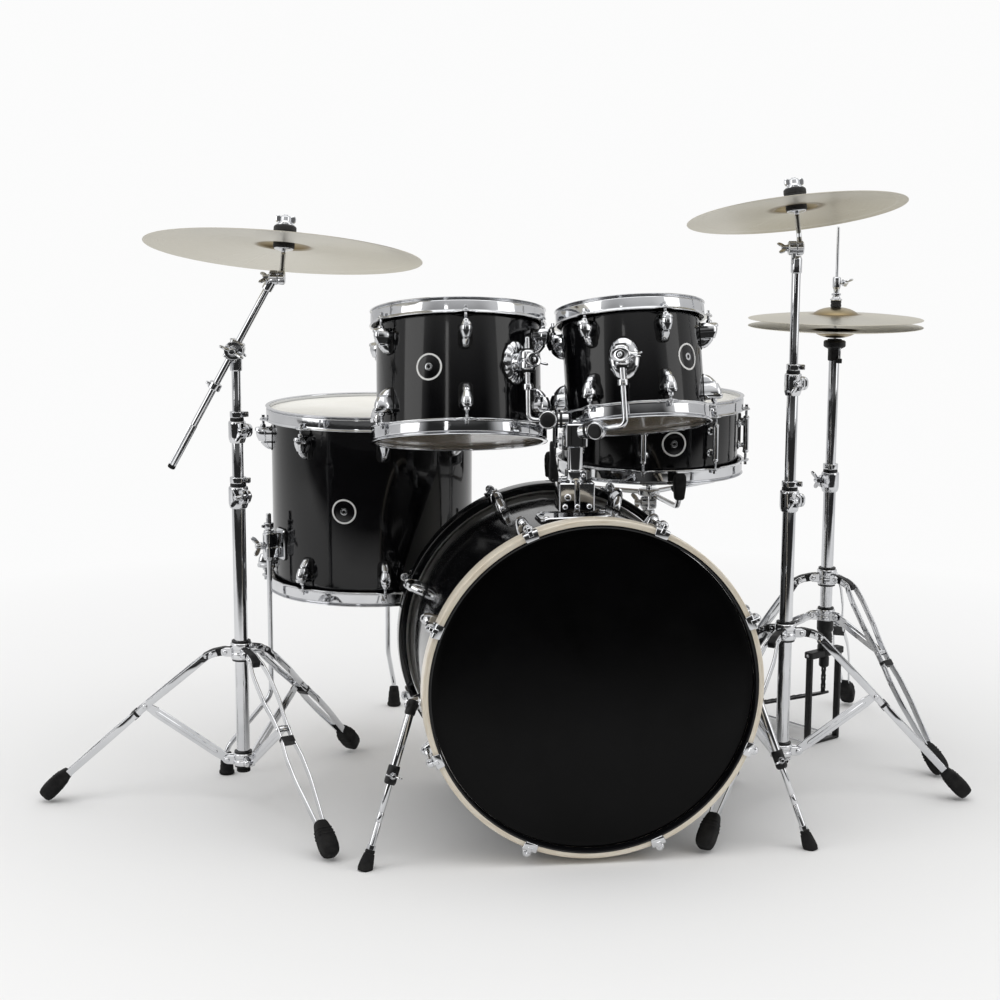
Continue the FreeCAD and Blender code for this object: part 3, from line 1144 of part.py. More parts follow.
def build_snare_stand():
    at = Vector(SNARE_TOP.x, SNARE_TOP.y, 0)
    put = Placement(at, Rotation())
    lower_z = SNARE_LOWER_Z
    base = clamped_tube(BASE_TUBE_RADIUS, MID_TUBE_RADIUS, lower_z - LOWER_HUB_DOWN, SNARE_CLAMP_Z,
                        SNARE_CLAMP_TURN)
    tripod = fixed_tripod(SNARE_HUB_Z, lower_z, SNARE_JOINT, SNARE_FOOT_RADIAL, SNARE_STAND_AZIMUTHS)
    save("snare_stand_base", placed_all([fused([base] + tripod[:2])] + tripod[2:], put))
    hub_at = UP * BASKET_HUB_Z
    joint = hub_at - UP * BASKET_YOKE_DROP
    post = ring(MID_TUBE_RADIUS - TUBE_WALL, MID_TUBE_RADIUS, SNARE_CLAMP_Z - POST_INSERT,
                BASKET_HUB_Z - POST_GAP)
    plug = Part.makeCylinder(MID_TUBE_RADIUS + POST_PLUG_STEP, POST_PLUG_HEIGHT,
                             hub_at - UP * POST_PLUG_DROP)
    web = Part.makeBox(*POST_WEB, POST_WEB_AT + hub_at)
    yoke = rod(joint + ACROSS * BASKET_YOKE_START, joint + ACROSS * BASKET_YOKE_END, BASKET_YOKE_RADIUS)
    save("snare_stand_post", placed_all([fused([post, plug, web, yoke])], put))
    knuckle = rod(joint + ACROSS * BASKET_KNUCKLE_START, joint + ACROSS * BASKET_KNUCKLE_END,
                  BASKET_YOKE_RADIUS)
    neck = Part.makeBox(*BASKET_NECK, BASKET_NECK_AT + hub_at)
    shapes = [knuckle, neck, Part.makeCylinder(BASKET_HUB_RADIUS, BASKET_HUB_HEIGHT, hub_at)]
    tips = []
    for azimuth in BASKET_ARM_AZIMUTHS:
        arm, tip = basket_arm()
        shapes.append(placed(arm, turned_to(azimuth)))
        tips.append(placed(tip, turned_to(azimuth)))
    save("snare_basket", placed_all([fused(shapes)] + tips, put))


def hihat_clutch(crown):
    """Clutch, its screw, sleeve and lower nut, and its two felts, above and through the top cymbal."""
    clutch = ring(PULL_ROD_RADIUS, CLUTCH_RADIUS, crown + CLUTCH_LOW, crown + CLUTCH_HIGH)
    screw_z = crown + CLUTCH_SCREW_Z
    screw = rod(Vector(CLUTCH_SCREW_START, 0, screw_z), Vector(CLUTCH_SCREW_END, 0, screw_z),
                PULL_ROD_RADIUS)
    sleeve = Part.makeCylinder(CLUTCH_SLEEVE_RADIUS, 2 * CLUTCH_SLEEVE_HALF,
                               Vector(0, 0, crown - CLUTCH_SLEEVE_HALF))
    nut = Part.makeCylinder(CLUTCH_NUT_RADIUS, CLUTCH_NUT_HEIGHT, Vector(0, 0, crown - CLUTCH_NUT_DROP))
    felts = [ring(CLUTCH_SLEEVE_RADIUS, CLUTCH_FELT_RADIUS, crown + low, crown + high)
             for low, high in CLUTCH_FELTS]
    return [clutch, screw, sleeve, nut], felts


def build_hihat_stand():
    put = Placement(HIHAT_AXIS, Rotation())
    base = clamped_tube(BASE_TUBE_RADIUS, MID_TUBE_RADIUS, HIHAT_TUBE_BOTTOM, HIHAT_CLAMP_Z,
                        HIHAT_CLAMP_TURN)
    tripod = fixed_tripod(HIHAT_HUB_Z, HIHAT_TUBE_BOTTOM + HIHAT_LOWER_RISE, HIHAT_JOINT, HIHAT_FOOT_RADIAL,
                          HIHAT_AZIMUTHS)
    save("hihat_stand_base", placed_all([fused([base] + tripod[:2])] + tripod[2:] + pedal_frame(), put))
    upper = ring(MID_TUBE_RADIUS - TUBE_WALL, MID_TUBE_RADIUS, HIHAT_CLAMP_Z - HIHAT_UPPER_INSERT,
                 HIHAT_SEAT_Z)
    cup_top = HIHAT_SEAT_Z + CUP_HEIGHT
    cup = ring(ROD_SLEEVE, CUP_RADIUS, HIHAT_SEAT_Z, cup_top)
    felt = ring(ROD_SLEEVE, CUP_FELT_RADIUS, cup_top, HIHAT_BOTTOM_RIM_Z - sum(HAT_RISE) - CUP_FELT_GAP)
    save("hihat_upper_tube", placed_all([fused([upper, cup]), felt], put))
    hat = cymbal(HIHAT_RADIUS, HAT_RISE[0], HIHAT_RADIUS * HAT_BELL_SHARE, HAT_RISE[1])
    flipped = Placement(Vector(0, 0, HIHAT_BOTTOM_RIM_Z), Rotation(ACROSS, 180))
    save("hihat_bottom_cymbal", placed_all([placed(hat, flipped)], put))
    top = placed(hat, Placement(Vector(0, 0, HIHAT_TOP_RIM_Z), Rotation()))
    save("hihat_top_cymbal", placed_all([top], put))
    pull = Part.makeCylinder(PULL_ROD_RADIUS, HIHAT_ROD_TOP - HIHAT_CHAIN_TOP, Vector(0, 0, HIHAT_CHAIN_TOP))
    metal, felts = hihat_clutch(HIHAT_TOP_RIM_Z + sum(HAT_RISE))
    chain = block(CHAIN_THICKNESS, CHAIN_WIDTH, HIHAT_TOE_Z + CHAIN_START, HIHAT_CHAIN_TOP,
                  -CHAIN_THICKNESS / 2)
    turned_chain = placed(chain, turned_to(PEDAL_AZIMUTH))
    save("hihat_pull_rod", placed_all([fused([pull, turned_chain] + metal)] + felts, put))
    save("hihat_footboard", placed_all([placed(footboard(), turned_to(PEDAL_AZIMUTH))], put))


def pedal_frame():
    """Spring housing, yoke, side rods and heel plate, with the pedal along its azimuth."""
    yoke_top = HIHAT_TUBE_BOTTOM - YOKE_DROP
    yoke_bottom = yoke_top - YOKE_HEIGHT
    housing = ring(ROD_SLEEVE, HOUSING_RADIUS, yoke_bottom, HIHAT_TUBE_BOTTOM - SLIDE_CLEARANCE)
    yoke = block(YOKE_DEPTH, 2 * (PEDAL_HALF_WIDTH + YOKE_OVERHANG), yoke_bottom, yoke_top, -YOKE_DEPTH / 2)
    shapes = [housing, yoke.cut(through_bore(ROD_SLEEVE, 0, yoke_top))]
    for side in (-1, 1):
        y = side * PEDAL_HALF_WIDTH
        shapes.append(Part.makeBox(SIDE_ROD_DEPTH, SIDE_ROD_WIDTH, yoke_top - SIDE_ROD_END,
                                   Vector(-SIDE_ROD_DEPTH / 2, y - SIDE_ROD_WIDTH / 2, 0)))
        shapes.append(Part.makeBox(PEDAL_LENGTH + FLOOR_BAR_PAST, FLOOR_BAR, FLOOR_BAR,
                                   Vector(-FLOOR_BAR, y - FLOOR_BAR / 2, FLOOR_BAR_Z)))
        cheek_y = side * HEEL_CHEEK_AT - HEEL_CHEEK_WIDTH / 2
        shapes.append(Part.makeBox(HEEL_CHEEK_LENGTH, HEEL_CHEEK_WIDTH, HEEL_CHEEK_HEIGHT,
                                   Vector(PEDAL_LENGTH - HEEL_CHEEK_LENGTH / 2, cheek_y, 0)))
    shapes.append(block(SIDE_ROD_DEPTH, 2 * PEDAL_HALF_WIDTH, 0, PLATE_THICKNESS, -SIDE_ROD_DEPTH / 2))
    shapes.append(block(HEEL_PLATE_LENGTH, 2 * (PEDAL_HALF_WIDTH + HEEL_PLATE_OVERHANG), 0, PLATE_THICKNESS,
                        PEDAL_LENGTH - HEEL_PLATE_START))
    shapes.append(cross_pin(PEDAL_LENGTH, PEDAL_HEEL_Z, HEEL_PIN_RADIUS, HEEL_PIN_HALF))
    return placed_all([fused(shapes)], turned_to(PEDAL_AZIMUTH))


def footboard():
    """Sloping tread from the heel pin up to the toe under the chain."""
    heel = (PEDAL_LENGTH + TREAD_HEEL_OUT, PEDAL_HEEL_Z - TREAD_HEEL_DROP)
    toe = (TREAD_TOE_OUT, HIHAT_TOE_Z - TREAD_TOE_DROP)
    tread = strip([heel, toe], TREAD_THICKNESS, -TREAD_HALF_WIDTH, TREAD_HALF_WIDTH)
    hole = cross_pin(PEDAL_LENGTH, PEDAL_HEEL_Z, HEEL_PIN_RADIUS + PIN_CLEARANCE, HEEL_PIN_HALF)
    barrel = cross_pin(PEDAL_LENGTH, PEDAL_HEEL_Z, TREAD_BARREL_RADIUS, TREAD_HALF_WIDTH)
    return fused([tread, barrel]).cut(hole).Solids[0]


os.makedirs("parts", exist_ok=True)
build_bass()
build_bass_brackets()
build_spurs()
build_tom_mount()
build_rack_tom("tom12", TOM12_SHELL_RADIUS, TOM12_SHELL_DEPTH, TOM12_TOP, TOM12_LEAN, TOM12_FIRST_LUG,
               LUG_INSET, TOM12_BRACKET, TOM12_ARM_RISE)
build_rack_tom("tom10", TOM10_SHELL_RADIUS, TOM10_SHELL_DEPTH, TOM10_TOP, TOM10_LEAN, TOM10_FIRST_LUG,
               TOM10_LUG_INSET, TOM10_BRACKET, TOM10_ARM_RISE)
build_floor_tom()
build_snare()
build_boom_stand()
build_straight_stand()
build_snare_stand()
build_hihat_stand()
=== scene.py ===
"""Looks of a five-piece acoustic drum kit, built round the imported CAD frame.

Shapes are made in millimetres and written to the scene in metres. Each drum and each cymbal is made
upright, with its axis along Z, and then put where the frame says.
"""
import json
import math
import bmesh
import bpy
from mathutils import Matrix, Vector


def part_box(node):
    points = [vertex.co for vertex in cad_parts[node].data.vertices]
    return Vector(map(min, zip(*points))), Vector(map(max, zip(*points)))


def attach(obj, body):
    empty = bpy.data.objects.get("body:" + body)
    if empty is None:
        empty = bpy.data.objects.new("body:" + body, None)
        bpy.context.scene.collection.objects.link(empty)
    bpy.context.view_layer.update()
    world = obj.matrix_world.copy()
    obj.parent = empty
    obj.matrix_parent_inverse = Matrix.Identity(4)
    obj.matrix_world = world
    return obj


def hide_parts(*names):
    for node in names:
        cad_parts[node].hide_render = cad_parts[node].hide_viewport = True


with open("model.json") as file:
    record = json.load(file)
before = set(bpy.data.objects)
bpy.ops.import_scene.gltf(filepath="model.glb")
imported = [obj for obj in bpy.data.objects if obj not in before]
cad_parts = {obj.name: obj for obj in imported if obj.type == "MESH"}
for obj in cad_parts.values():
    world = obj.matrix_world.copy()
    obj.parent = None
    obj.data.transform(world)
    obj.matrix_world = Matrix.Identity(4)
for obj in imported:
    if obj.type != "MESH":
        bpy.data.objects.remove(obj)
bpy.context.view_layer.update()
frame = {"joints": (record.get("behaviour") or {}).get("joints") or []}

MM = 0.001
X, Y, Z = Vector((1, 0, 0)), Vector((0, 1, 0)), Vector((0, 0, 1))
HERE = Matrix.Identity(4)

# Quarter turns, named for where they send Z, and the half turn that sends it down
TO_FRONT = Matrix.Rotation(math.pi / 2, 4, "X")
TO_BACK = Matrix.Rotation(-math.pi / 2, 4, "X")
TO_RIGHT = Matrix.Rotation(math.pi / 2, 4, "Y")
TO_LEFT = Matrix.Rotation(-math.pi / 2, 4, "Y")
OVER = Matrix.Rotation(math.pi, 4, "X")
JOINTS = {joint["name"]: joint for joint in frame["joints"]}

# Sizes shared with the CAD source, in millimetres
TOM12 = {"radius": 152.4, "depth": 228.6}
TOM10 = {"radius": 127.0, "depth": 203.2}
FLOOR = {"radius": 203.2, "depth": 355.6}
SNARE = {"radius": 177.8, "depth": 139.7}
BASS = {"radius": 279.4, "depth": 457.2}
RIM_ABOVE = 9.0
EAR_DROP = 20.0
ROD_AT = 16.5


# ---------------------------------------------------------------- places

def joint_at(name):
    return Vector(JOINTS[name]["pos_m"]) / MM


def joint_axis(name):
    return Vector(JOINTS[name]["axis"]).normalized()


def middle(node):
    low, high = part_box(node)
    return (low + high) / 2 / MM


def node_high(node):
    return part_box(node)[1] / MM


def offset(x, y, z):
    return Matrix.Translation((x, y, z))


def raised(z):
    return Matrix.Translation((0, 0, z))


def seat(at, up=Z):
    """Frame at a point whose Z leans to a direction by the shortest turn."""
    lean = Z.rotation_difference(Vector(up)).to_matrix().to_4x4()
    return Matrix.Translation(Vector(at)) @ lean


def facing(at, out, up=Z):
    """Frame at a point whose X faces a direction and whose Z is as near up as it can be."""
    out = Vector(out).normalized()
    side = Vector(up).cross(out).normalized()
    rise = out.cross(side)
    turn = Matrix((out, side, rise)).transposed().to_4x4()
    return Matrix.Translation(Vector(at)) @ turn


def polar(radius, azimuth, z=0.0):
    angle = math.radians(azimuth)
    return Vector((radius * math.cos(angle), radius * math.sin(angle), z))


def spun(azimuth):
    return Matrix.Rotation(math.radians(azimuth), 4, "Z")


# ---------------------------------------------------------------- outlines

def soften(points, radius=0.6, steps=3, closed=True):
    """The same outline with a small arc at each corner; corners on the axis stay."""
    points = [Vector(point) for point in points]
    count = len(points)
    out = []
    for index, here in enumerate(points):
        if not closed and index in (0, count - 1):
            out.append(here)
            continue
        back = points[index - 1] - here
        ahead = points[(index + 1) % count] - here
        if abs(here[0]) < 1e-6 and len(here) == 2:
            out.append(here)
            continue
        cut = min(radius, 0.45 * back.length, 0.45 * ahead.length)
        if cut < 1e-4:
            out.append(here)
            continue
        start = here + back.normalized() * cut
        end = here + ahead.normalized() * cut
        for step in range(steps + 1):
            t = step / steps
            out.append(start * (1 - t) ** 2 + here * 2 * t * (1 - t) + end * t * t)
    return out


def even(half):
    """The half outline followed by its mirror image in the first axis."""
    return list(half) + [(first, -second) for first, second in reversed(half)]


def circle(radius, steps=20):
    return [Vector((radius * math.cos(a), radius * math.sin(a)))
            for a in (2 * math.pi * i / steps for i in range(steps))]


def oblong(width, height, corner=2.0, steps=3, at=(0.0, 0.0)):
    """Rounded rectangle round a middle point."""
    w, h = width / 2, height / 2
    cx, cy = at
    return soften([(cx - w, cy - h), (cx + w, cy - h), (cx + w, cy + h), (cx - w, cy + h)], corner,
                  steps)


def inset(outline, amount):
    """Closed outline moved inwards by an amount."""
    count = len(outline)
    area = sum(outline[i - 1].x * outline[i].y - outline[i].x * outline[i - 1].y for i in range(count))
    sign = 1.0 if area > 0 else -1.0
    out = []
    for index, here in enumerate(outline):
        along = (outline[(index + 1) % count] - outline[index - 1])
        if along.length < 1e-9:
            out.append(here.copy())
            continue
        along.normalize()
        out.append(here + Vector((-along.y, along.x)) * amount * sign)
    return out


# ---------------------------------------------------------------- forms

class Form:
    """Vertices and faces gathered in millimetres."""

    def __init__(self):
        self.verts = []
        self.faces = []

    def add(self, verts, faces, at=HERE):
        base = len(self.verts)
        self.verts += [at @ Vector(vert) for vert in verts]
        self.faces += [[base + index for index in face] for face in faces]
        return self

    def join(self, other, at=HERE):
        return self.add(other.verts, other.faces, at)

    def loft(self, rings, at=HERE, round_again=False, caps=True):
        """Skin through closed rings that all have the same number of points."""
        size = len(rings[0])
        verts = [point for ring in rings for point in ring]
        faces = []
        pairs = list(zip(range(len(rings)), range(1, len(rings))))
        if round_again:
            pairs.append((len(rings) - 1, 0))
        for first, second in pairs:
            for i in range(size):
                j = (i + 1) % size
                faces.append((first * size + i, first * size + j, second * size + j, second * size + i))
        if caps and not round_again:
            faces.append(tuple(range(size))[::-1])
            faces.append(tuple(range((len(rings) - 1) * size, len(rings) * size)))
        return self.add(verts, faces, at)

    def turn(self, profile, at=HERE, steps=32, warp=None):
        """Revolves a closed (radius, z) profile about Z; warp may change a radius with the angle."""
        rings = []
        for step in range(steps):
            angle = 2 * math.pi * step / steps
            c, s = math.cos(angle), math.sin(angle)
            ring = []
            for point in profile:
                r, z = (point[0], point[1]) if warp is None else warp(point[0], point[1], angle)
                ring.append(Vector((r * c, r * s, z)))
            rings.append(ring)
        return self.loft(rings, at, round_again=True)

    def lathe(self, profile, at=HERE, steps=32, soft=0.5, warp=None):
        return self.turn(soften(profile, soft), at, steps, warp)

    def cylinder(self, radius, low, high, at=HERE, steps=32, soft=0.5, warp=None):
        return self.lathe([(0, low), (radius, low), (radius, high), (0, high)], at, steps, soft, warp)

    def sleeve(self, inner, outer, low, high, at=HERE, steps=32, soft=0.5):
        return self.lathe([(inner, low), (outer, low), (outer, high), (inner, high)], at, steps, soft)

    def bar(self, start, end, radius, steps=20, edge=0.5, top_radius=None):
        """Round bar between two points, with eased rims."""
        start, end = Vector(start), Vector(end)
        length = (end - start).length
        top = radius if top_radius is None else top_radius
        return self.lathe([(0, 0), (radius, 0), (top, length), (0, length)], seat(start, end - start),
                          steps, edge)

    def pipe(self, start, end, outer, inner, steps=32, edge=0.4):
        start, end = Vector(start), Vector(end)
        length = (end - start).length
        return self.sleeve(inner, outer, 0, length, seat(start, end - start), steps, edge)

    def sweep(self, path, outline, side=None, scales=None, at=HERE):
        """Carries an outline of (side, up) points along a path; side fixes the outline's first axis."""
        path = [Vector(point) for point in path]
        rings = []
        last = len(path) - 1
        reference = None
        for index, here in enumerate(path):
            along = (path[min(index + 1, last)] - path[max(index - 1, 0)]).normalized()
            if side is not None:
                across = Vector(side)
            else:
                if reference is None:
                    reference = Z.cross(along) if abs(along.z) < 0.9 else X.cross(along)
                across = reference
            across = (across - along * across.dot(along)).normalized()
            reference = across
            rise = along.cross(across)
            sx, sy = (1, 1) if scales is None else scales[index]
            rings.append([here + across * p[0] * sx + rise * p[1] * sy for p in outline])
        return self.loft(rings, at)

    def rod(self, points, radius, bend=8.0, steps=16, at=HERE):
        """Round rod along points, with bends of a radius at the inner ones."""
        return self.sweep(soften(points, bend, 6, closed=False), circle(radius, steps), at=at)

    def slab(self, outline, low, high, edge=0.6, at=HERE):
        """Outline in XY pushed along Z, with eased rims."""
        inner = inset(outline, edge)
        levels = ((inner, low), (outline, low + edge), (outline, high - edge), (inner, high))
        return self.loft([[Vector((p.x, p.y, z)) for p in ring] for ring, z in levels], at)

    def plate(self, width, depth, low, high, at=HERE, corner=1.5, edge=0.6):
        """Rounded block, centred in X and Y."""
        return self.slab(oblong(width, depth, corner), low, high, edge, at)

    def knurl(self, radius, low, high, teeth=24, depth=0.5, at=HERE):
        """Grip with teeth round it."""
        def warp(r, z, angle):
            wave = 0.5 + 0.5 * math.cos(angle * teeth)
            return (r - depth * wave if r > radius * 0.9 else r), z
        return self.cylinder(radius, low, high, at, teeth * 4, 0.5, warp)

    def wrapped(self, radius, azimuth=0.0):
        """The same form bent round a drum: x is height off the shell and y runs round it."""
        out = Form()
        start = math.radians(azimuth)
        for vert in self.verts:
            angle = start + vert.y / radius
            r = radius + vert.x
            out.verts.append(Vector((r * math.cos(angle), r * math.sin(angle), vert.z)))
        out.faces = list(self.faces)
        return out


def bent_plate(form, rings, z, radius, azimuth):
    """Adds a plate bent to a shell from (outline, height off the shell) pairs."""
    plate = Form().loft([[Vector((x, p.x, p.y)) for p in ring] for ring, x in rings])
    form.join(moved(plate, z).wrapped(radius, azimuth))


def moved(form, z):
    out = Form()
    out.faces = form.faces
    out.verts = [vert + Vector((0, 0, z)) for vert in form.verts]
    return out


def shown(name, form, look, body, nodes=(), at=HERE, angle=34.0):
    """Turns a form into a piece that rides on a body and stands for CAD nodes."""
    mesh = bpy.data.meshes.new(name)
    mesh.from_pydata([vert * MM for vert in form.verts], [], form.faces)
    work = bmesh.new()
    work.from_mesh(mesh)
    bmesh.ops.remove_doubles(work, verts=work.verts, dist=2e-6)
    bmesh.ops.dissolve_degenerate(work, edges=work.edges, dist=1e-6)
    bmesh.ops.recalc_face_normals(work, faces=work.faces)
    work.to_mesh(mesh)
    work.free()
    mesh.shade_smooth()
    mesh.set_sharp_from_angle(angle=math.radians(angle))
    piece = bpy.data.objects.new(name, mesh)
    bpy.context.scene.collection.objects.link(piece)
    place = at.copy()
    place.translation = at.translation * MM
    piece.matrix_world = place
    mesh.materials.append(LOOKS[look])
    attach(piece, body)
    if nodes:
        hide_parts(*nodes)
    return piece


# ---------------------------------------------------------------- materials

LOOKS = {}


class Nodes:
    """Short ways to add nodes to a tree."""

    def __init__(self, tree):
        self.tree = tree

    def node(self, kind, values=(), **settings):
        made = self.tree.nodes.new("ShaderNode" + kind)
        for label, value in settings.items():
            setattr(made, label, value)
        for label, value in dict(values).items():
            if isinstance(value, bpy.types.NodeSocket):
                self.tree.links.new(value, made.inputs[label])
            else:
                made.inputs[label].default_value = value
        return made

    def ramp(self, fac, *stops):
        made = self.node("ValToRGB", {"Fac": fac})
        ramp = made.color_ramp
        while len(ramp.elements) < len(stops):
            ramp.elements.new(0.5)
        for element, (at, value) in zip(ramp.elements, stops):
            element.position = at
            element.color = (*value, 1) if isinstance(value, tuple) else (value, value, value, 1)
        return made.outputs["Color"]


class Look(Nodes):
    """A node material round one Principled shader, kept in LOOKS under its name."""

    def __init__(self, name, colour, roughness, **sockets):
        self.material = LOOKS[name] = bpy.data.materials.new(name)
        self.material.use_nodes = True
        super().__init__(self.material.node_tree)
        self.shader = self.tree.nodes["Principled BSDF"]
        self.shader.inputs["Base Color"].default_value = (*colour, 1)
        self.shader.inputs["Roughness"].default_value = roughness
        for label, value in sockets.items():
            self.shader.inputs[label.replace("_", " ")].default_value = value
        self.place = self.tree.nodes.new("ShaderNodeTexCoord").outputs["Object"]

    def noise(self, scale, detail):
        made = self.node("TexNoise", {"Vector": self.place, "Scale": scale, "Detail": detail,
                                      "Roughness": 0.6})
        return made.outputs["Fac"]

    def math(self, kind, first, second=0.0):
        made = self.node("Math", {0: first, 1: second}, operation=kind)
        return made.outputs["Value"]

    def colour(self, value):
        self.tree.links.new(value, self.shader.inputs["Base Color"])
        return self

    def rough(self, value):
        self.tree.links.new(value, self.shader.inputs["Roughness"])
        return self

    def bump(self, height, distance, strength=1.0):
        made = self.node("Bump", {"Height": height, "Distance": distance, "Strength": strength})
        target = self.shader.inputs["Normal"]
        if target.is_linked:
            self.tree.links.new(target.links[0].from_socket, made.inputs["Normal"])
        self.tree.links.new(made.outputs["Normal"], target)
        return self

    def cylinder(self):
        """Sockets for the angle in radians, the distance from the axis, and the height."""
        parts = self.node("SeparateXYZ", {"Vector": self.place}).outputs
        angle = self.math("ARCTAN2", parts["Y"], parts["X"])
        flat = self.node("CombineXYZ", {"X": parts["X"], "Y": parts["Y"]}).outputs["Vector"]
        distance = self.node("VectorMath", {0: flat}, operation="LENGTH").outputs["Value"]
        return angle, distance, parts["Z"]

    def round_noise(self, scales, scale, detail, roughness):
        """Noise laid round the axis, scaled by angle, distance from the axis and height."""
        values = {"Vector": self.round_place(*scales), "Scale": scale, "Detail": detail,
                  "Roughness": roughness}
        return self.node("TexNoise", values).outputs["Fac"]

    def round_place(self, angle_scale, distance_scale, height_scale):
        angle, distance, height = self.cylinder()
        across = self.math("MULTIPLY", self.math("COSINE", angle), angle_scale)
        along = self.math("MULTIPLY", self.math("SINE", angle), angle_scale)
        rest = self.math("ADD", self.math("MULTIPLY", distance, distance_scale),
                         self.math("MULTIPLY", height, height_scale))
        return self.node("CombineXYZ", {"X": across, "Y": along, "Z": rest}).outputs["Vector"]


def noise_look(name, colour, roughness, rough, paint, bumps, **sockets):
    """Look whose roughness, colour and relief follow noise: scale, detail, then ramp or bump."""
    look = Look(name, colour, roughness, **sockets)
    look.rough(look.ramp(look.noise(*rough[:2]), *rough[2:]))
    look.colour(look.ramp(look.noise(*paint[:2]), *paint[2:]))
    for scale, detail, distance, strength in bumps:
        look.bump(look.noise(scale, detail), distance, strength)


def make_looks():
    noise_look("chrome", (0.64, 0.65, 0.67), 0.06,
               (38.0, 6.0, (0.30, 0.035), (0.62, 0.075), (0.80, 0.16)),
               (9.0, 3.0, (0.3, (0.58, 0.59, 0.61)), (0.7, (0.70, 0.705, 0.72))),
               ((70.0, 2.0, 0.00012, 0.35),), Metallic=1.0)

    noise_look("lacquer_black", (0.003, 0.003, 0.0035), 0.10, (26.0, 7.0, (0.35, 0.07), (0.7, 0.17)),
               (900.0, 2.0, (0.45, (0.0015, 0.0015, 0.002)), (0.75, (0.007, 0.007, 0.008))),
               ((260.0, 2.0, 0.00005, 0.35),), Coat_Weight=0.32, Coat_Roughness=0.02,
               Specular_IOR_Level=0.25)

    noise_look("head_black", (0.002, 0.002, 0.002), 0.16, (14.0, 6.0, (0.3, 0.10), (0.7, 0.22)),
               (5.0, 5.0, (0.3, (0.001, 0.001, 0.001)), (0.8, (0.003, 0.003, 0.0033))),
               ((420.0, 2.0, 0.00004, 0.3),), Specular_IOR_Level=0.10)

    noise_look("head_coated", (0.80, 0.79, 0.74), 0.62, (60.0, 3.0, (0.3, 0.55), (0.7, 0.75)),
               (7.0, 5.0, (0.25, (0.76, 0.745, 0.69)), (0.75, (0.86, 0.85, 0.81))),
               ((1500.0, 2.0, 0.00008, 0.6),), Sheen_Weight=0.05)

    noise_look("head_clear", (0.62, 0.56, 0.46), 0.14, (30.0, 3.0, (0.3, 0.10), (0.7, 0.22)),
               (6.0, 4.0, (0.3, (0.46, 0.40, 0.31)), (0.75, (0.62, 0.55, 0.45))),
               (), Alpha=0.55, Coat_Weight=0.5, Coat_Roughness=0.05)

    look = Look("hoop_natural", (0.72, 0.64, 0.52), 0.32, Coat_Weight=0.5, Coat_Roughness=0.12)
    grain = look.round_noise((2.2, 90.0, 60.0), 3.0, 8.0, 0.65)
    look.colour(look.ramp(grain, (0.30, (0.58, 0.49, 0.37)), (0.5, (0.74, 0.67, 0.55)),
                          (0.72, (0.82, 0.77, 0.67))))
    look.rough(look.ramp(grain, (0.3, 0.42), (0.7, 0.26)))
    look.bump(grain, 0.00025, 0.5)

    look = Look("shell_wood", (0.50, 0.36, 0.22), 0.5)
    grain = look.round_noise((1.4, 8.0, 70.0), 2.2, 9.0, 0.7)
    look.colour(look.ramp(grain, (0.28, (0.34, 0.21, 0.11)), (0.52, (0.52, 0.37, 0.22)),
                          (0.78, (0.64, 0.50, 0.34))))
    look.rough(look.ramp(grain, (0.3, 0.62), (0.7, 0.45)))
    look.bump(grain, 0.0003, 0.6)

    noise_look("black_metal", (0.008, 0.008, 0.009), 0.38, (45.0, 4.0, (0.3, 0.33), (0.7, 0.55)),
               (120.0, 4.0, (0.35, (0.004, 0.004, 0.0045)), (0.75, (0.013, 0.013, 0.014))),
               ((1400.0, 2.0, 0.00012, 0.6),), Specular_IOR_Level=0.3)

    noise_look("rubber", (0.008, 0.008, 0.009), 0.72, (80.0, 4.0, (0.3, 0.66), (0.7, 0.9)),
               (55.0, 6.0, (0.35, (0.005, 0.005, 0.0055)), (0.75, (0.016, 0.0155, 0.015))),
               ((900.0, 4.0, 0.0002, 0.7),), Specular_IOR_Level=0.22)

    look = Look("felt", (0.02, 0.02, 0.022), 0.95, Sheen_Weight=0.15, Sheen_Roughness=0.6,
                Specular_IOR_Level=0.2)
    fibres = look.noise(1100.0, 8.0)
    look.colour(look.ramp(fibres, (0.3, (0.010, 0.010, 0.011)), (0.7, (0.040, 0.040, 0.042))))
    look.bump(fibres, 0.0007, 0.9)
    look.bump(look.noise(240.0, 4.0), 0.0008, 0.5)

    noise_look("badge_white", (0.82, 0.82, 0.81), 0.25, (70.0, 3.0, (0.3, 0.2), (0.7, 0.34)),
               (160.0, 4.0, (0.3, (0.74, 0.74, 0.72)), (0.7, (0.86, 0.86, 0.85))),
               ((600.0, 2.0, 0.00005, 0.4),), Coat_Weight=0.6, Coat_Roughness=0.08)

    noise_look("wires", (0.62, 0.62, 0.61), 0.25, (90.0, 4.0, (0.3, 0.18), (0.7, 0.36)),
               (40.0, 3.0, (0.3, (0.52, 0.52, 0.51)), (0.7, (0.70, 0.70, 0.69))),
               (), Metallic=1.0)

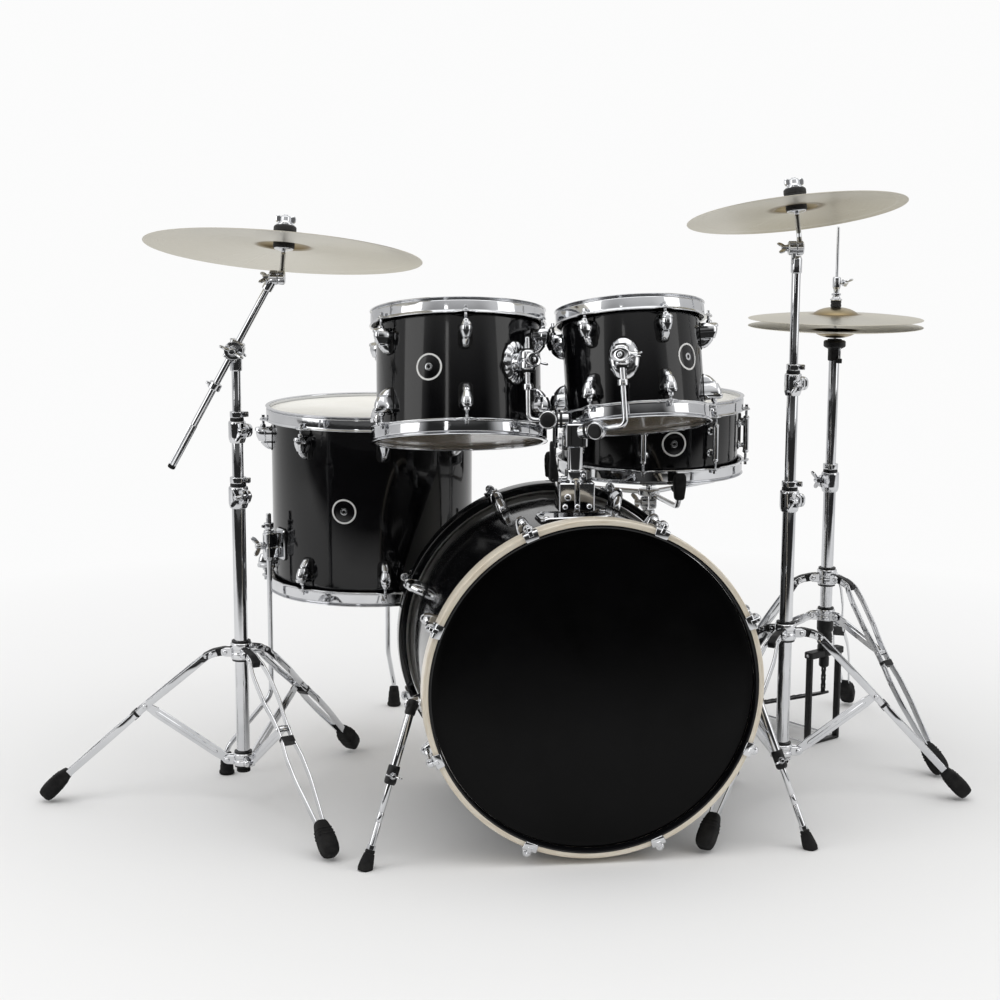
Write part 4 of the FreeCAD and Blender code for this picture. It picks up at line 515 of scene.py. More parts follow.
    look = Look("bronze", (0.62, 0.58, 0.48), 0.26, Metallic=1.0, Anisotropic=0.6)
    distance = look.cylinder()[1]
    rings = look.round_noise((0.35, 1500.0, 0.0), 1.0, 3.0, 0.7)
    bands = look.round_noise((0.9, 120.0, 0.0), 1.0, 4.0, 0.6)
    streaks = look.round_noise((11.0, 2.2, 0.0), 1.0, 5.0, 0.65)
    mixed = look.math("ADD", look.math("MULTIPLY", bands, 0.4), look.math("MULTIPLY", streaks, 0.6))
    satin = look.ramp(mixed, (0.30, (0.575, 0.54, 0.45)), (0.50, (0.60, 0.57, 0.48)),
                      (0.70, (0.63, 0.60, 0.515)))
    bell = look.ramp(distance, (0.0, (0.66, 0.58, 0.44)), (0.034, (0.62, 0.54, 0.40)),
                     (0.047, (0.36, 0.28, 0.17)), (0.056, (1.0, 1.0, 1.0)))
    look.colour(look.node("MixRGB", {"Fac": 1.0, "Color1": satin, "Color2": bell},
                          blend_type="MULTIPLY").outputs["Color"])
    look.rough(look.ramp(look.math("ADD", look.math("MULTIPLY", rings, 0.5),
                                   look.math("MULTIPLY", streaks, 0.5)),
                         (0.3, 0.26), (0.7, 0.34)))
    look.bump(rings, 0.00022, 0.3)
    look.bump(look.noise(34.0, 2.0), 0.0005, 0.3)


make_looks()


# ---------------------------------------------------------------- drums

def lug_casting(form, at, tall=46.0, wide=13.2, deep=33.0, rod_at=ROD_AT):
    """Half-acorn lug, x off the shell, +z the rod's end: bulb with a flat lid, stepped tail."""
    sections = (
        (0.50, 0.30, 0.50), (0.49, 0.62, 0.86), (0.465, 0.80, 0.97), (0.40, 0.92, 1.0),
        (0.34, 0.99, 1.0), (0.315, 0.95, 0.93), (0.22, 1.0, 0.94), (0.08, 0.90, 0.90),
        (-0.06, 0.74, 0.82), (-0.12, 0.68, 0.78), (-0.135, 0.58, 0.66), (-0.19, 0.58, 0.63),
        (-0.205, 0.66, 0.66), (-0.34, 0.60, 0.50), (-0.44, 0.52, 0.34), (-0.49, 0.40, 0.20),
        (-0.50, 0.20, 0.08),
    )
    rings = []
    for height, width, depth in sections:
        ring = []
        for step in range(15):
            angle = math.radians(-90 + 180 * step / 14)
            c, s = math.cos(angle), math.sin(angle)
            ring.append(Vector((depth * deep * c ** 0.75,
                                width * wide * math.copysign(abs(s) ** 0.8, s), height * tall)))
        rings.append(ring)
    form.loft(rings, at)
    form.lathe([(0, 0), (5.6, 0), (5.6, 4.5), (4.2, 6.5), (0, 6.5)],
               at @ offset(rod_at, 0, tall * 0.5 - 1.2), 20, 0.6)
    return form


def lug_gasket(pads, z, radius, azimuth):
    """Thin rubber pad between a lug and the shell."""
    wide, tall = 27.0, 50.0
    outline = oblong(wide, tall, wide * 0.48, 6)
    bent_plate(pads, ((outline, 0.1), (outline, 0.9), (inset(outline, 0.5), 1.3)), z, radius, azimuth)


def tension_rod(form, at, length, head=True, washer=True):
    """Threaded rod up +z from the lug, through a washer, to its square key head."""
    form.bar(at @ Vector((0, 0, 0)), at @ Vector((0, 0, length)), 2.6, 14, 0.3)
    threads = []
    z = 2.0
    while z < min(length * 0.55, 16.0):
        threads += [(2.55, z), (3.05, z + 0.45), (2.55, z + 0.9)]
        z += 0.9
    form.turn([(0, 2.0)] + threads + [(0, z)], at, 14)
    top = at @ raised(length)
    if washer:
        form.sleeve(2.7, 7.0, -0.2, 0.9, top, 24, 0.35)
    if head:
        form.lathe([(0, 0.9), (5.4, 0.9), (5.4, 2.6), (3.6, 3.4), (3.6, 4.0), (0, 4.0)], top, 24, 0.4)
        form.plate(5.9, 5.9, 3.6, 9.2, top, 0.7, 0.7)
    return form


def steel_rim(form, radius, edge, side, azimuths):
    """Triple-flanged rim whose flange swells into an ear at each rod."""
    inner = radius + 2.9
    wall = radius + 7.9
    profile = [
        (inner, edge + side * 1.4), (inner, edge + side * 7.4), (inner + 0.3, edge + side * 8.6),
        (inner + 1.4, edge + side * 9.0), (wall + 3.2, edge + side * 9.0),
        (wall + 4.0, edge + side * 8.1), (wall + 3.2, edge + side * 7.0),
        (inner + 3.6, edge + side * 6.7), (inner + 2.5, edge + side * 5.6),
        (inner + 2.6, edge + side * 4.4), (wall + 1.2, edge + side * 3.6),
        (wall + 2.3, edge + side * 2.0), (wall + 2.3, edge - side * 14.5),
        (wall + 2.9, edge - side * 16.6), (radius + 12.0, edge - side * 17.6),
        (radius + 12.6, edge - side * 18.8), (radius + 12.0, edge - side * 20.0),
        (wall + 1.0, edge - side * 19.4), (wall, edge - side * 17.8), (wall, edge + side * 1.4),
    ]
    spread = 21.0 / radius

    def warp(r, z, angle):
        best = 0.0
        for azimuth in azimuths:
            gap = abs((angle - math.radians(azimuth) + math.pi) % (2 * math.pi) - math.pi)
            if gap < spread:
                best = max(best, (0.5 + 0.5 * math.cos(math.pi * gap / spread)) ** 0.8)
        low = -side * (z - edge)
        if low > 16.0:
            share = min(1.0, max(0.0, (r - wall - 2.0) / (radius + 12.0 - wall - 2.0)))
            return r + best * share * 11.4, z - side * best * share * 0.2
        return r, z

    form.turn(soften(profile, 0.7, 2), steps=8 * max(36, int(radius / 4)), warp=warp)
    return form


def skin(form, radius, edge, side, dip=0.0):
    """Drum head: film, the turn over the bearing edge, and the flesh hoop under the rim."""
    film = radius + 2.5
    hoop = film + 4.6
    top = edge + side * 1.0
    points = [(0, top - side * dip), (radius * 0.6, top - side * dip), (radius - 7, top - side * dip),
              (radius - 3.5, top - side * 0.1), (radius + 0.5, top), (hoop - 0.8, top),
              (hoop, top - side * 0.8), (hoop, edge - side * 8.6), (film + 0.2, edge - side * 8.6),
              (film + 0.2, edge), (radius - 4, edge), (radius - 7.5, edge - side * dip - side * 0.05),
              (0, edge - side * dip - side * 0.05)]
    form.turn(points, steps=128)
    return form


def badge(name, radius, azimuth, z, at, body):
    """Plain ring badge with a vent eyelet, bent to the shell."""
    def disc(outer, inner, low, high):
        form = Form()
        form.sleeve(inner, outer, low, high, steps=64, soft=0.25)
        out = Form()
        out.faces = form.faces
        out.verts = [Vector((vert.z, vert.x, vert.y + z)) for vert in form.verts]
        return out.wrapped(radius, azimuth)
    shown(name + "_badge_ring", disc(24.5, 21.2, 0.1, 1.0), "badge_white", body, at=at)
    shown(name + "_badge_field", disc(21.2, 0.0, 0.1, 0.7), "lacquer_black", body, at=at)
    eyelet = Form()
    eyelet.join(disc(6.8, 3.4, 0.6, 1.6))
    shown(name + "_badge_eyelet", eyelet, "chrome", body, at=at)


def shell_pieces(name, radius, top, bottom, at, body):
    """Lacquered outside with its wrap seam, and the bare wood inside."""
    outside = Form()
    seam = math.radians(95.0)

    def warp(r, z, angle):
        gap = abs((angle - seam + math.pi) % (2 * math.pi) - math.pi) * radius
        return (r + (0.35 if gap < 9.0 and r > radius - 0.5 else 0.0)), z

    outside.turn(soften([(radius - 2.4, bottom), (radius, bottom + 1.2), (radius, top - 1.2),
                         (radius - 2.4, top)],
                        0.8, 3), steps=240, warp=warp)
    shown(name + "_shell_wrap", outside, "lacquer_black", body, [name + "_shell"], at)
    inside = Form()
    inside.turn(soften([(radius - 7.0, bottom + 5.0), (radius - 3.4, bottom), (radius - 2.35, bottom),
                        (radius - 2.35, top), (radius - 3.4, top), (radius - 7.0, top - 5.0)], 0.5, 2),
                        steps=160)
    for low in (bottom + 5.0, top - 27.0):
        inside.turn(soften([(radius - 10.0, low), (radius - 6.9, low), (radius - 6.9, low + 22),
                            (radius - 10.0, low + 22)],
                           0.8, 2), steps=160)
    shown(name + "_shell_plies", inside, "shell_wood", body, at=at)


def drum_body(name, size, at, body, azimuths, lug_inset, badge_azimuth, badge_z=None, tube_lugs=False):
    """All the pieces of one upright drum, with the middle of its top rim at the origin."""
    radius = size["radius"]
    top = -RIM_ABOVE
    bottom = top - size["depth"]
    shell_pieces(name, radius, top, bottom, at, body)
    shown(name + "_batter_head", skin(Form(), radius, top, 1), "head_coated", body, [name + "_heads"],
          at)
    shown(name + "_resonant_head", skin(Form(), radius, bottom, -1), "head_clear", body, at=at)
    rims = Form()
    steel_rim(rims, radius, top, 1, azimuths)
    steel_rim(rims, radius, bottom, -1, azimuths)
    shown(name + "_rims", rims, "chrome", body, [name + "_hoops"], at)
    castings = Form()
    rods = Form()
    pads = Form()
    for azimuth in azimuths:
        if tube_lugs:
            tube_lug(castings, pads, radius, (top + bottom) / 2, azimuth)
        for edge, side in ((top, 1), (bottom, -1)):
            flip = HERE if side == 1 else OVER
            lug_z = edge - side * lug_inset
            if not tube_lugs:
                place = spun(azimuth) @ offset(radius + 0.6, 0, lug_z) @ flip
                lug_casting(castings, place)
                lug_gasket(pads, lug_z, radius, azimuth)
            if tube_lugs:
                start = (top + bottom) / 2 + side * 38.0
            else:
                start = edge - side * (lug_inset - 24.0)
            seat_z = edge - side * (EAR_DROP - 2.6)
            place = spun(azimuth) @ offset(radius + ROD_AT, 0, start) @ flip
            tension_rod(rods, place, abs(seat_z - start))
    shown(name + "_lug_castings", castings, "chrome", body, [name + "_lugs"], at)
    shown(name + "_tension_rods", rods, "chrome", body, at=at)
    shown(name + "_lug_pads", pads, "rubber", body, at=at)
    badge(name, radius, badge_azimuth, (top + bottom) / 2 if badge_z is None else badge_z, at, body)


def tube_lug(form, pads, radius, z, azimuth):
    """Slim tube lug on two posts, with domed ends."""
    place = spun(azimuth) @ offset(radius + ROD_AT, 0, z)
    form.lathe(even([(0, -38), (4.2, -38), (6.2, -35.5), (6.2, -33), (5.6, -32)]), place, 24, 0.8)
    for height in (-22, 22):
        post = spun(azimuth) @ offset(radius, 0, z + height) @ TO_RIGHT
        form.lathe([(0, 0.4), (8.5, 0.4), (8.5, 2.2), (5.0, 4.5), (4.4, 8.0), (5.2, 13.0), (0, 13.0)],
                   post, 24, 0.8)
        pads.cylinder(9.4, 0.0, 0.6, post, 24, 0.2)
    return form


# ---------------------------------------------------------------- bass drum

def bass_frame():
    """Frame at the middle of the front hoop's face: Z out of the front, X across, Y up."""
    front, back = middle("bass_head_front"), middle("bass_head_batter")
    out = (front - back).normalized()
    across = Z.cross(out).normalized()
    turn = Matrix((across, out.cross(across), out)).transposed().to_4x4()
    return Matrix.Translation(front + out * 20.5) @ turn


BASS_AT = bass_frame()
# Along the bass drum from the front hoop's face: its length, the front bearing edge, the hoops' width
BASS_LENGTH = 490.2
BASS_EDGE = -16.5
BASS_HOOP_WIDE = 40.0
# Out from its axis: the hoops' two faces and the rods
BASS_HOOP_IN, BASS_HOOP_OUT = 285.2, 300.0
BASS_ROD = 309.0
BASS_LUG_INSET, BASS_LUG_DEEP, BASS_LUG_LIFT = 88.0, 38.0, 0.8
BASS_LUGS, BASS_FIRST_LUG = 8, 22.5


def wood_hoop(name, low, look):
    """Bent wooden hoop from a height along the drum."""
    high = low + BASS_HOOP_WIDE
    form = Form()
    profile = [(BASS_HOOP_IN, low), (BASS_HOOP_OUT, low), (BASS_HOOP_OUT, high), (BASS_HOOP_IN, high)]
    form.turn(soften(profile, 2.6, 4), steps=256)
    shown(name + "_ring", form, look, "kit", [name], BASS_AT)


def bass_skin(form, edge, side):
    """Bass head: film, the turn over the bearing edge, and the flesh hoop under the wooden hoop."""
    face = edge + side * 1.0
    points = [(0, face), (180, face), (BASS["radius"] - 9, face),
              (BASS["radius"] - 4, edge + side * 0.3), (BASS["radius"] + 1.2, face), (284.2, face),
              (284.2, edge - side * 8.8), (BASS["radius"] + 0.7, edge - side * 8.8),
              (BASS["radius"] + 0.7, edge), (BASS["radius"] - 9, edge), (180, edge), (0, edge)]
    form.turn(points, steps=224)
    return form


def claw_hook(form, pads, rods, azimuth, front, side):
    """Cast claw over the hoop, its boss, and the key rod that pulls it."""
    flip = HERE if side == 1 else OVER
    turn = azimuth if side == 1 else -azimuth
    at = raised(front) @ flip @ spun(turn)
    bend = [(289.5, 0, 1.6), (289.5, 0, 2.6), (302.4, 0, 2.8), (302.6, 0, -14.0), (302.4, 0, -27.0)]
    path = soften(bend, 3.2, 4, closed=False)
    count = len(path)
    scales = [(0.62 + 0.38 * min(1.0, 2.6 * i / count) - 0.34 * max(0.0, (i / count - 0.62) / 0.38),
               1.0)
              for i in range(count)]
    form.sweep(path, oblong(27.0, 3.4, 1.5, 3), side=Y, scales=scales, at=at)
    boss = at @ offset(BASS_ROD, 0, -20.5)
    form.lathe([(3.3, 0), (7.2, 0), (8.2, 2.0), (8.2, 13.0), (7.4, 15.6), (3.3, 15.6)], boss, 24, 0.8)
    form.slab(soften([(301, -5.5), (309, -7.6), (309, 7.6), (301, 5.5)], 1.0), -19.0, -6.5, 0.8, at)
    form.slab(soften([(296, -4.4), (306, -3.4), (306, 3.4), (296, 4.4)], 1.0), 2.4, 5.2, 0.8, at)
    pads.sweep([(300.8, 0, 1.0), (300.9, 0, -26.0)], oblong(21.0, 1.0, 0.4, 2), side=Y, at=at)
    pads.sweep([(288.6, 0, 0.7), (300.0, 0, 0.7)], oblong(16.0, 0.9, 0.4, 2), side=Y, at=at)
    head = at @ offset(BASS_ROD, 0, -5.0)
    rods.lathe([(0, 0), (6.4, 0), (6.4, 1.3), (4.0, 2.4), (0, 2.4)], head, 24, 0.4)
    rods.plate(6.2, 6.2, 2.0, 8.6, head, 0.8, 0.7)
    start, end = Vector((BASS_ROD, 0, -81.0)), Vector((BASS_ROD, 0, -5.0))
    rods.bar(at @ start, at @ end, 2.9, 16)
    profile = [(0, 0)]
    for step in range(26):
        profile += [(2.7, step * 1.0), (3.2, step * 1.0 + 0.5)]
    profile.append((0, 26.0))
    rods.turn(profile, at @ offset(BASS_ROD, 0, -81.0), 14)


def make_bass():
    back = BASS_EDGE - BASS["depth"]
    shell_pieces("bass", BASS["radius"], BASS_EDGE, back, BASS_AT, "kit")
    wood_hoop("bass_hoop_front", -BASS_HOOP_WIDE, "hoop_natural")
    inlay = Form().turn([(284.7, -15.5), (285.5, -15.5), (285.5, -0.3), (290.4, -0.3), (290.4, 0.3),
                         (286.8, 0.3), (285.3, -0.3), (284.7, -1.8)], steps=256)
    shown("bass_hoop_front_inlay", inlay, "lacquer_black", "kit", at=BASS_AT)
    wood_hoop("bass_hoop_batter", -BASS_LENGTH, "lacquer_black")
    for side, edge, look in (("front", BASS_EDGE, "head_black"), ("batter", back, "head_coated")):
        film = bass_skin(Form(), edge, 1 if side == "front" else -1)
        shown("bass_" + side + "_film", film, look, "kit", ["bass_head_" + side], BASS_AT)
    patch = Form().turn(soften([(0, back - 1.1), (48, back - 1.1), (48, back - 1.7), (0, back - 1.7)],
                               0.3, 2), steps=64)
    shown("bass_batter_patch", patch, "rubber", "kit", at=BASS_AT)
    castings, pads, claws, rods, claw_pads = Form(), Form(), Form(), Form(), Form()
    for index in range(BASS_LUGS):
        azimuth = BASS_FIRST_LUG + 360.0 / BASS_LUGS * index
        for front, edge, side in ((0.0, BASS_EDGE, 1), (-BASS_LENGTH, back, -1)):
            lug_z = edge - side * BASS_LUG_INSET
            flip = HERE if side == 1 else OVER
            place = spun(azimuth) @ offset(BASS["radius"] + BASS_LUG_LIFT, 0, lug_z) @ flip
            tall = Matrix.Diagonal((1.0, 1.0, 1.06, 1.0))
            rod_at = BASS_ROD - BASS["radius"] - BASS_LUG_LIFT
            lug_casting(castings, place @ tall, deep=BASS_LUG_DEEP, rod_at=rod_at)
            lug_gasket(pads, lug_z, BASS["radius"], azimuth)
            claw_hook(claws, claw_pads, rods, azimuth, front, side)
    shown("bass_lug_castings", castings, "chrome", "kit", ["bass_lugs"], BASS_AT)
    shown("bass_lug_pads", pads, "rubber", "kit", at=BASS_AT)
    shown("bass_claw_hooks", claws, "chrome", "kit", ["bass_claws"], BASS_AT)
    shown("bass_claw_rods", rods, "chrome", "kit", at=BASS_AT)
    shown("bass_claw_pads", claw_pads, "rubber", "kit", at=BASS_AT)


WING_LEAN = 3.6


def wing_nut(form, at, size=1.0):
    """Hub with two curved wings in the XZ plane; Z is the bolt's axis."""
    bigger = Matrix.Diagonal((size, size, size, 1))
    lean = Matrix.Rotation(math.radians(-WING_LEAN), 4, "Y")
    hub = [(0, 0), (7.4, 0), (6.4, 4.0), (5.6, 11.0), (4.6, 13.0), (0, 13.0)]
    form.lathe(hub, at @ bigger, 24, 1.0)
    form.cylinder(8.6, -1.2, 0.1, at @ bigger, 24, 0.4)
    outline = soften([(3.0, 1.0), (8.0, 2.2), (19.0, 8.0), (23.0, 14.5), (20.0, 19.5), (14.0, 17.5),
                      (3.0, 9.5)], 3.4, 4)
    for half in (0, 180):
        place = at @ spun(half) @ lean @ bigger @ TO_FRONT
        form.slab(outline, -2.1, 2.1, 1.3, place)
    return form


# Distance past the spur's foot and radius, along its rubber tip
SPUR_TIP = ((-36.0, 7.0), (-34.0, 8.6), (-31.0, 8.6), (-29.5, 8.0), (-28.0, 9.6), (-12.0, 12.6),
            (-3.0, 13.4), (3.0, 12.4), (6.0, 8.0))
# Middle of the front hoop to a spur's foot: across, and along the drum
SPUR_OUT, SPUR_ALONG = 399.5, -19.0


def make_spurs():
    for name, side in (("spur_left", -1), ("spur_right", 1)):
        pivot = joint_at(name + "_fold")
        foot = BASS_AT @ Vector((side * SPUR_OUT, 0, SPUR_ALONG))
        foot.z = 0.0
        along = (foot - pivot).normalized()
        length = (foot - pivot).length
        hinge = joint_axis(name + "_fold")
        put = facing(pivot, hinge, along)
        metal, black, rubber = Form(), Form(), Form()
        black.lathe([(0, -10.5), (7.0, -10.5), (9.6, -8.0), (9.6, 14.0), (8.6, 17.0), (0, 17.0)], put,
                    32, 1.4)
        eye = put @ TO_RIGHT
        black.cylinder(8.6, -9.4, 9.4, eye, 32, 1.2)
        metal.cylinder(7.6, 14.0, 124.0, put, 32, 0.5)
        metal.cylinder(5.0, -11.6, 11.6, eye, 6, 0.6)
        metal.cylinder(8.6, 108.0, 112.0, put, 32, 0.8)
        black.lathe([(5.7, 108.0), (9.6, 108.0), (10.6, 111.0), (10.6, 138.0), (8.6, 142.0),
                     (5.7, 142.0)], put, 32, 1.0)
        stem = put @ raised(126.0) @ TO_BACK
        metal.cylinder(3.2, 8.0, 17.0, stem, 20, 0.4)
        wing_nut(metal, stem @ raised(14.5), 0.72)
        lower = [(0, 137.0), (5.6, 137.0)]
        z = 190.0
        while z < length - 80.0:
            lower += [(5.6, z), (5.1, z + 0.8), (5.1, z + 2.0), (5.6, z + 2.8)]
            z += 18.0
        lower += [(5.6, length - 20.0), (0, length - 20.0)]
        metal.turn(lower, put, 24)
        metal.sleeve(5.2, 7.6, length - 44.0, length - 33.0, put, 6, 0.6)
        rings = [[put @ Vector((p.x, p.y, length + past)) for p in circle(radius, 28)]
                 for past, radius in SPUR_TIP]
        for ring in rings:
            for point in ring:
                point.z = max(point.z, 0.0)
        rubber.loft(rings)
        shown(name + "_tubes", metal, "chrome", name, [name])
        shown(name + "_knuckles", black, "black_metal", name)
        shown(name + "_tip", rubber, "rubber", name)


def spur_brackets(metal, pads):
    """Cast brackets on the shell with their hinge cheeks."""
    for name in ("spur_left", "spur_right"):
        pivot = joint_at(name + "_fold")
        local = BASS_AT.inverted() @ pivot
        azimuth = math.degrees(math.atan2(local.y, local.x))
        place = spun(azimuth) @ raised(local.z)
        outline, border = oblong(46.0, 66.0, 15.0, 8), oblong(49.0, 69.0, 16.0, 8)
        rings = ((outline, 1.4), (outline, 3.6), (inset(outline, 2.2), 6.0), (inset(outline, 9.0), 8.5))
        bent_plate(metal, rings, local.z, BASS["radius"], azimuth)
        bent_plate(pads, ((border, 0.1), (border, 1.5)), local.z, BASS["radius"], azimuth)
        reach = math.hypot(local.x, local.y)
        arm = place @ offset(BASS["radius"] + 4.0, 0, 0) @ TO_RIGHT
        far = reach - 13.0 - BASS["radius"] - 4.0
        metal.lathe([(0, 0), (15.0, 0), (13.0, far * 0.5), (13.4, far), (0, far)], arm, 36, 1.2)
        for z in (-23.0, 23.0):
            bolt = place @ offset(BASS["radius"] + 4.4, 0, z) @ TO_RIGHT
            metal.lathe([(0, 0), (6.0, 0), (6.0, 1.4), (4.6, 3.6), (0, 4.4)], bolt, 20, 0.6)


POST_AT = Vector((117.0, -309.0, 0))
POST_TOP = 744.0
BASE_LOW, BASE_HIGH = 592.0, 645.0
# Turns of the base clamp and of the block on top of the post, in degrees
BASE_TURN, BLOCK_TURN = 8.2, 8.0


def screw_head(form, at, radius=4.6):
    form.lathe([(0, 0), (radius, 0), (radius, 1.6), (radius * 0.62, 3.4), (0, 3.8)], at, 20, 0.7)


def over_bass(at, x, y, gap):
    """Point a gap off the bass shell, over or under a place on a level frame."""
    local = BASS_AT.inverted() @ (at @ Vector((x, y, 600.0)))
    drop = math.sqrt((BASS["radius"] + gap) ** 2 - local.x ** 2)
    return BASS_AT @ Vector((local.x, drop, local.z))


def make_base_clamp():
    """Split clamp on the bass drum that holds the tom post, its T-handle and the shell brackets."""
    metal, black, pads = Form(), Form(), Form()
    at = Matrix.Translation(POST_AT) @ spun(BASE_TURN)
    left = soften([(-32, -25), (-3.2, -27), (-3.2, -15.2), (-9.5, -11.4), (-14.9, 0), (-9.5, 11.4),
                   (-3.2, 15.2), (-3.2, 25), (-32, 25)], 3.0, 4)
    right = [Vector((-p.x, p.y)) for p in left][::-1]
    for outline in (left, right):
        metal.slab(outline, BASE_LOW + 3.0, BASE_HIGH + 2.0, 1.6, at)
    for x in (-22.0, 0.0, 22.0):
        bolt = at @ offset(x, -26.4, BASE_LOW + 13.0) @ TO_FRONT
        screw_head(metal, bolt, 5.0)
    screw_head(metal, at @ offset(-17.0, -24.6, BASE_LOW + 30.0) @ TO_FRONT, 6.4)
    for form, outline, height, edge, gap in ((metal, oblong(134.0, 76.0, 16.0, 6), 5.0, 1.6, 1.6),
                                             (pads, oblong(137.0, 79.0, 17.0, 6), 1.3, 0.3, 0.2)):
        saddle = Form().slab(outline, 0.0, height, edge)
        for point in saddle.verts:
            point.z = over_bass(at, point.x, point.y, gap).z + point.z
        form.join(saddle, at)
    for x, y in ((-56, -28), (56, -28), (-56, 28), (56, 28)):
        screw_head(metal, Matrix.Translation(over_bass(at, x, y, 6.0)), 5.6)
    stem = at @ offset(-15.0, -2.0, 652.0) @ TO_LEFT
    metal.lathe([(0, 0), (5.4, 0), (5.4, 9.0), (4.0, 11.0), (4.0, 24.0), (0, 24.0)], stem, 24, 0.6)
    screw_head(metal, stem @ raised(26.0), 6.0)
    handle = at @ offset(-38.0, -2.0, 647.0) @ Matrix.Rotation(math.radians(-4), 4, "Y")
    rings = []
    for z, wide, deep in ((0.0, 9.0, 8.0), (2.0, 15.0, 11.0), (10.0, 17.0, 13.0), (30.0, 14.0, 12.0),
                          (50.0, 10.0, 10.0), (66.0, 8.0, 8.5), (71.0, 6.5, 7.0), (73.0, 3.6, 4.0)):
        rings.append([Vector((p.x, p.y, z)) for p in oblong(wide, deep, 3.2, 4)])
    black.loft(rings, handle)
    shell_metal, shell_pads = Form(), Form()
    spur_brackets(shell_metal, shell_pads)
    shown("post_clamp", metal, "chrome", "kit", ["bass_brackets"])
    shown("post_clamp_handle", black, "black_metal", "kit")
    shown("post_clamp_pad", pads, "rubber", "kit")
    shown("spur_brackets", shell_metal, "chrome", "kit", at=BASS_AT)
    shown("spur_bracket_pads", shell_pads, "rubber", "kit", at=BASS_AT)


def make_tom_post():
    """Post with its memory collar, its split top block and the two arm clamps."""
    metal, black = Form(), Form()
    at = Matrix.Translation(POST_AT)
    metal.cylinder(13.8, 607.0, POST_TOP, at, 48, 0.8)
    metal.sleeve(13.6, 18.4, 650.0, 669.0, at, 48, 1.4)
    ear = soften([(12.0, -8.0), (27.0, -7.0), (27.0, 7.0), (12.0, 8.0)], 2.4, 4)
    metal.slab(ear, 651.5, 667.5, 1.6, at @ spun(-30.0))
    screw_head(metal, at @ spun(-30.0) @ offset(21.0, -7.0, 659.5) @ TO_FRONT, 4.2)
    black.slab(oblong(1.6, 9.0, 0.4, 2, at=(27.2, 0)), 652.5, 666.5, 0.3, at @ spun(-30.0))
    block_low = POST_TOP - 34.0
    block_top = POST_TOP + 8.0
    block = at @ spun(BLOCK_TURN)
    metal.slab(oblong(40.0, 38.0, 8.0, 5), block_low, block_top, 1.8, block)
    for x in (-10.5, 9.5):
        line = oblong(3.0, 1.2, 0.5, 2, at=(x, -19.6))
        black.slab(line, block_low + 4.0, block_top - 4.0, 0.3, block)
    metal.lathe([(0, 0), (9.0, 0), (9.0, 3.0), (6.0, 5.4), (0, 6.0)], at @ raised(block_top), 32, 0.8)
    for arm in ("tom_arm_left_tilt", "tom_arm_right_tilt"):
        corner, inward = joint_at(arm), joint_axis(arm)
        distance = (POST_AT - corner).to_2d().length
        grip = facing(corner, inward)
        near, far = distance - 58.0, distance - 12.0
        tube_at = grip @ TO_RIGHT
        metal.lathe([(5.6, near), (11.0, near), (15.2, near + 3.0), (15.2, near + 15.0),
                     (13.4, near + 16.5), (13.4, far), (5.6, far)], tube_at, 40, 0.9)
        for shift in (22.0, 30.0):
            black.pipe(grip @ Vector((near + shift, 0, 0)), grip @ Vector((near + shift + 5.0, 0, 0)),
                       14.3, 13.0, 40)
        disc = grip @ offset(near + 9.0, 0, 0)
        out = Vector((0, -1, 0)) if inward.x < 0 else Vector((0, -1, 0.15))
        local = disc.inverted().to_3x3() @ out
        local.x = 0
        face = disc @ facing((0, 0, 0), local, X).to_3x3().to_4x4() @ TO_RIGHT
        metal.lathe([(0, 8.0), (15.6, 8.0), (16.6, 10.0), (16.6, 15.0), (14.6, 17.0), (13.4, 16.4),
                     (13.4, 14.0), (0, 14.0)], face, 48, 0.7)
        black.lathe([(0, 13.5), (13.0, 13.5), (13.0, 16.6), (10.4, 18.0), (0, 18.6)], face, 48, 0.8)
        wing = disc @ facing((0, 0, 0), -local, X).to_3x3().to_4x4() @ TO_RIGHT
        metal.cylinder(4.0, 8.0, 20.0, wing, 20, 0.4)
        wing_nut(metal, wing @ raised(18.0), 0.95)
    shown("tom_post_metal", metal, "chrome", "tom_post", ["tom_post"])
    shown("tom_post_inserts", black, "black_metal", "tom_post")


# Height of each tom's clamp over its arm's corner, the arm's end, and the lock under the clamp
ARM_RISES = {"tom_arm_left": 108.0, "tom_arm_right": 124.0}
ARM_ENDS = {"tom_arm_left": 149.0, "tom_arm_right": 143.0}
ARM_LOCK_DROP = 53.5
ARM_RADIUS, ARM_BEND = 5.2, 15.0


def make_tom_arms():
    for side, drum in (("left", "tom12"), ("right", "tom10")):
        arm = "tom_arm_" + side
        corner, inward = joint_at(arm + "_tilt"), joint_axis(arm + "_tilt")
        up = joint_axis(drum + "_height")
        distance = (POST_AT - corner).to_2d().length
        form = Form()
        points = [corner + inward * (distance - 27.0), corner, corner + up * ARM_ENDS[arm]]
        path = soften(points, ARM_BEND, 10, closed=False)
        form.sweep(path, circle(ARM_RADIUS, 28))
        end = seat(corner + up * ARM_ENDS[arm], up)
        form.lathe([(0, -0.6), (4.8, -0.6), (3.8, 1.2), (0, 1.6)], end, 28, 0.5)
        lock = seat(corner + up * (ARM_RISES[arm] - ARM_LOCK_DROP), up)
        form.sleeve(5.3, 9.4, 0, 11.0, lock, 32, 1.0)
        bolt = lock @ spun(-90) @ offset(9.0, 0, 5.5) @ TO_RIGHT
        form.plate(5.4, 5.4, 0.0, 6.5, bolt, 0.7, 0.7)
        shown(arm + "_rod", form, "chrome", arm, [arm])


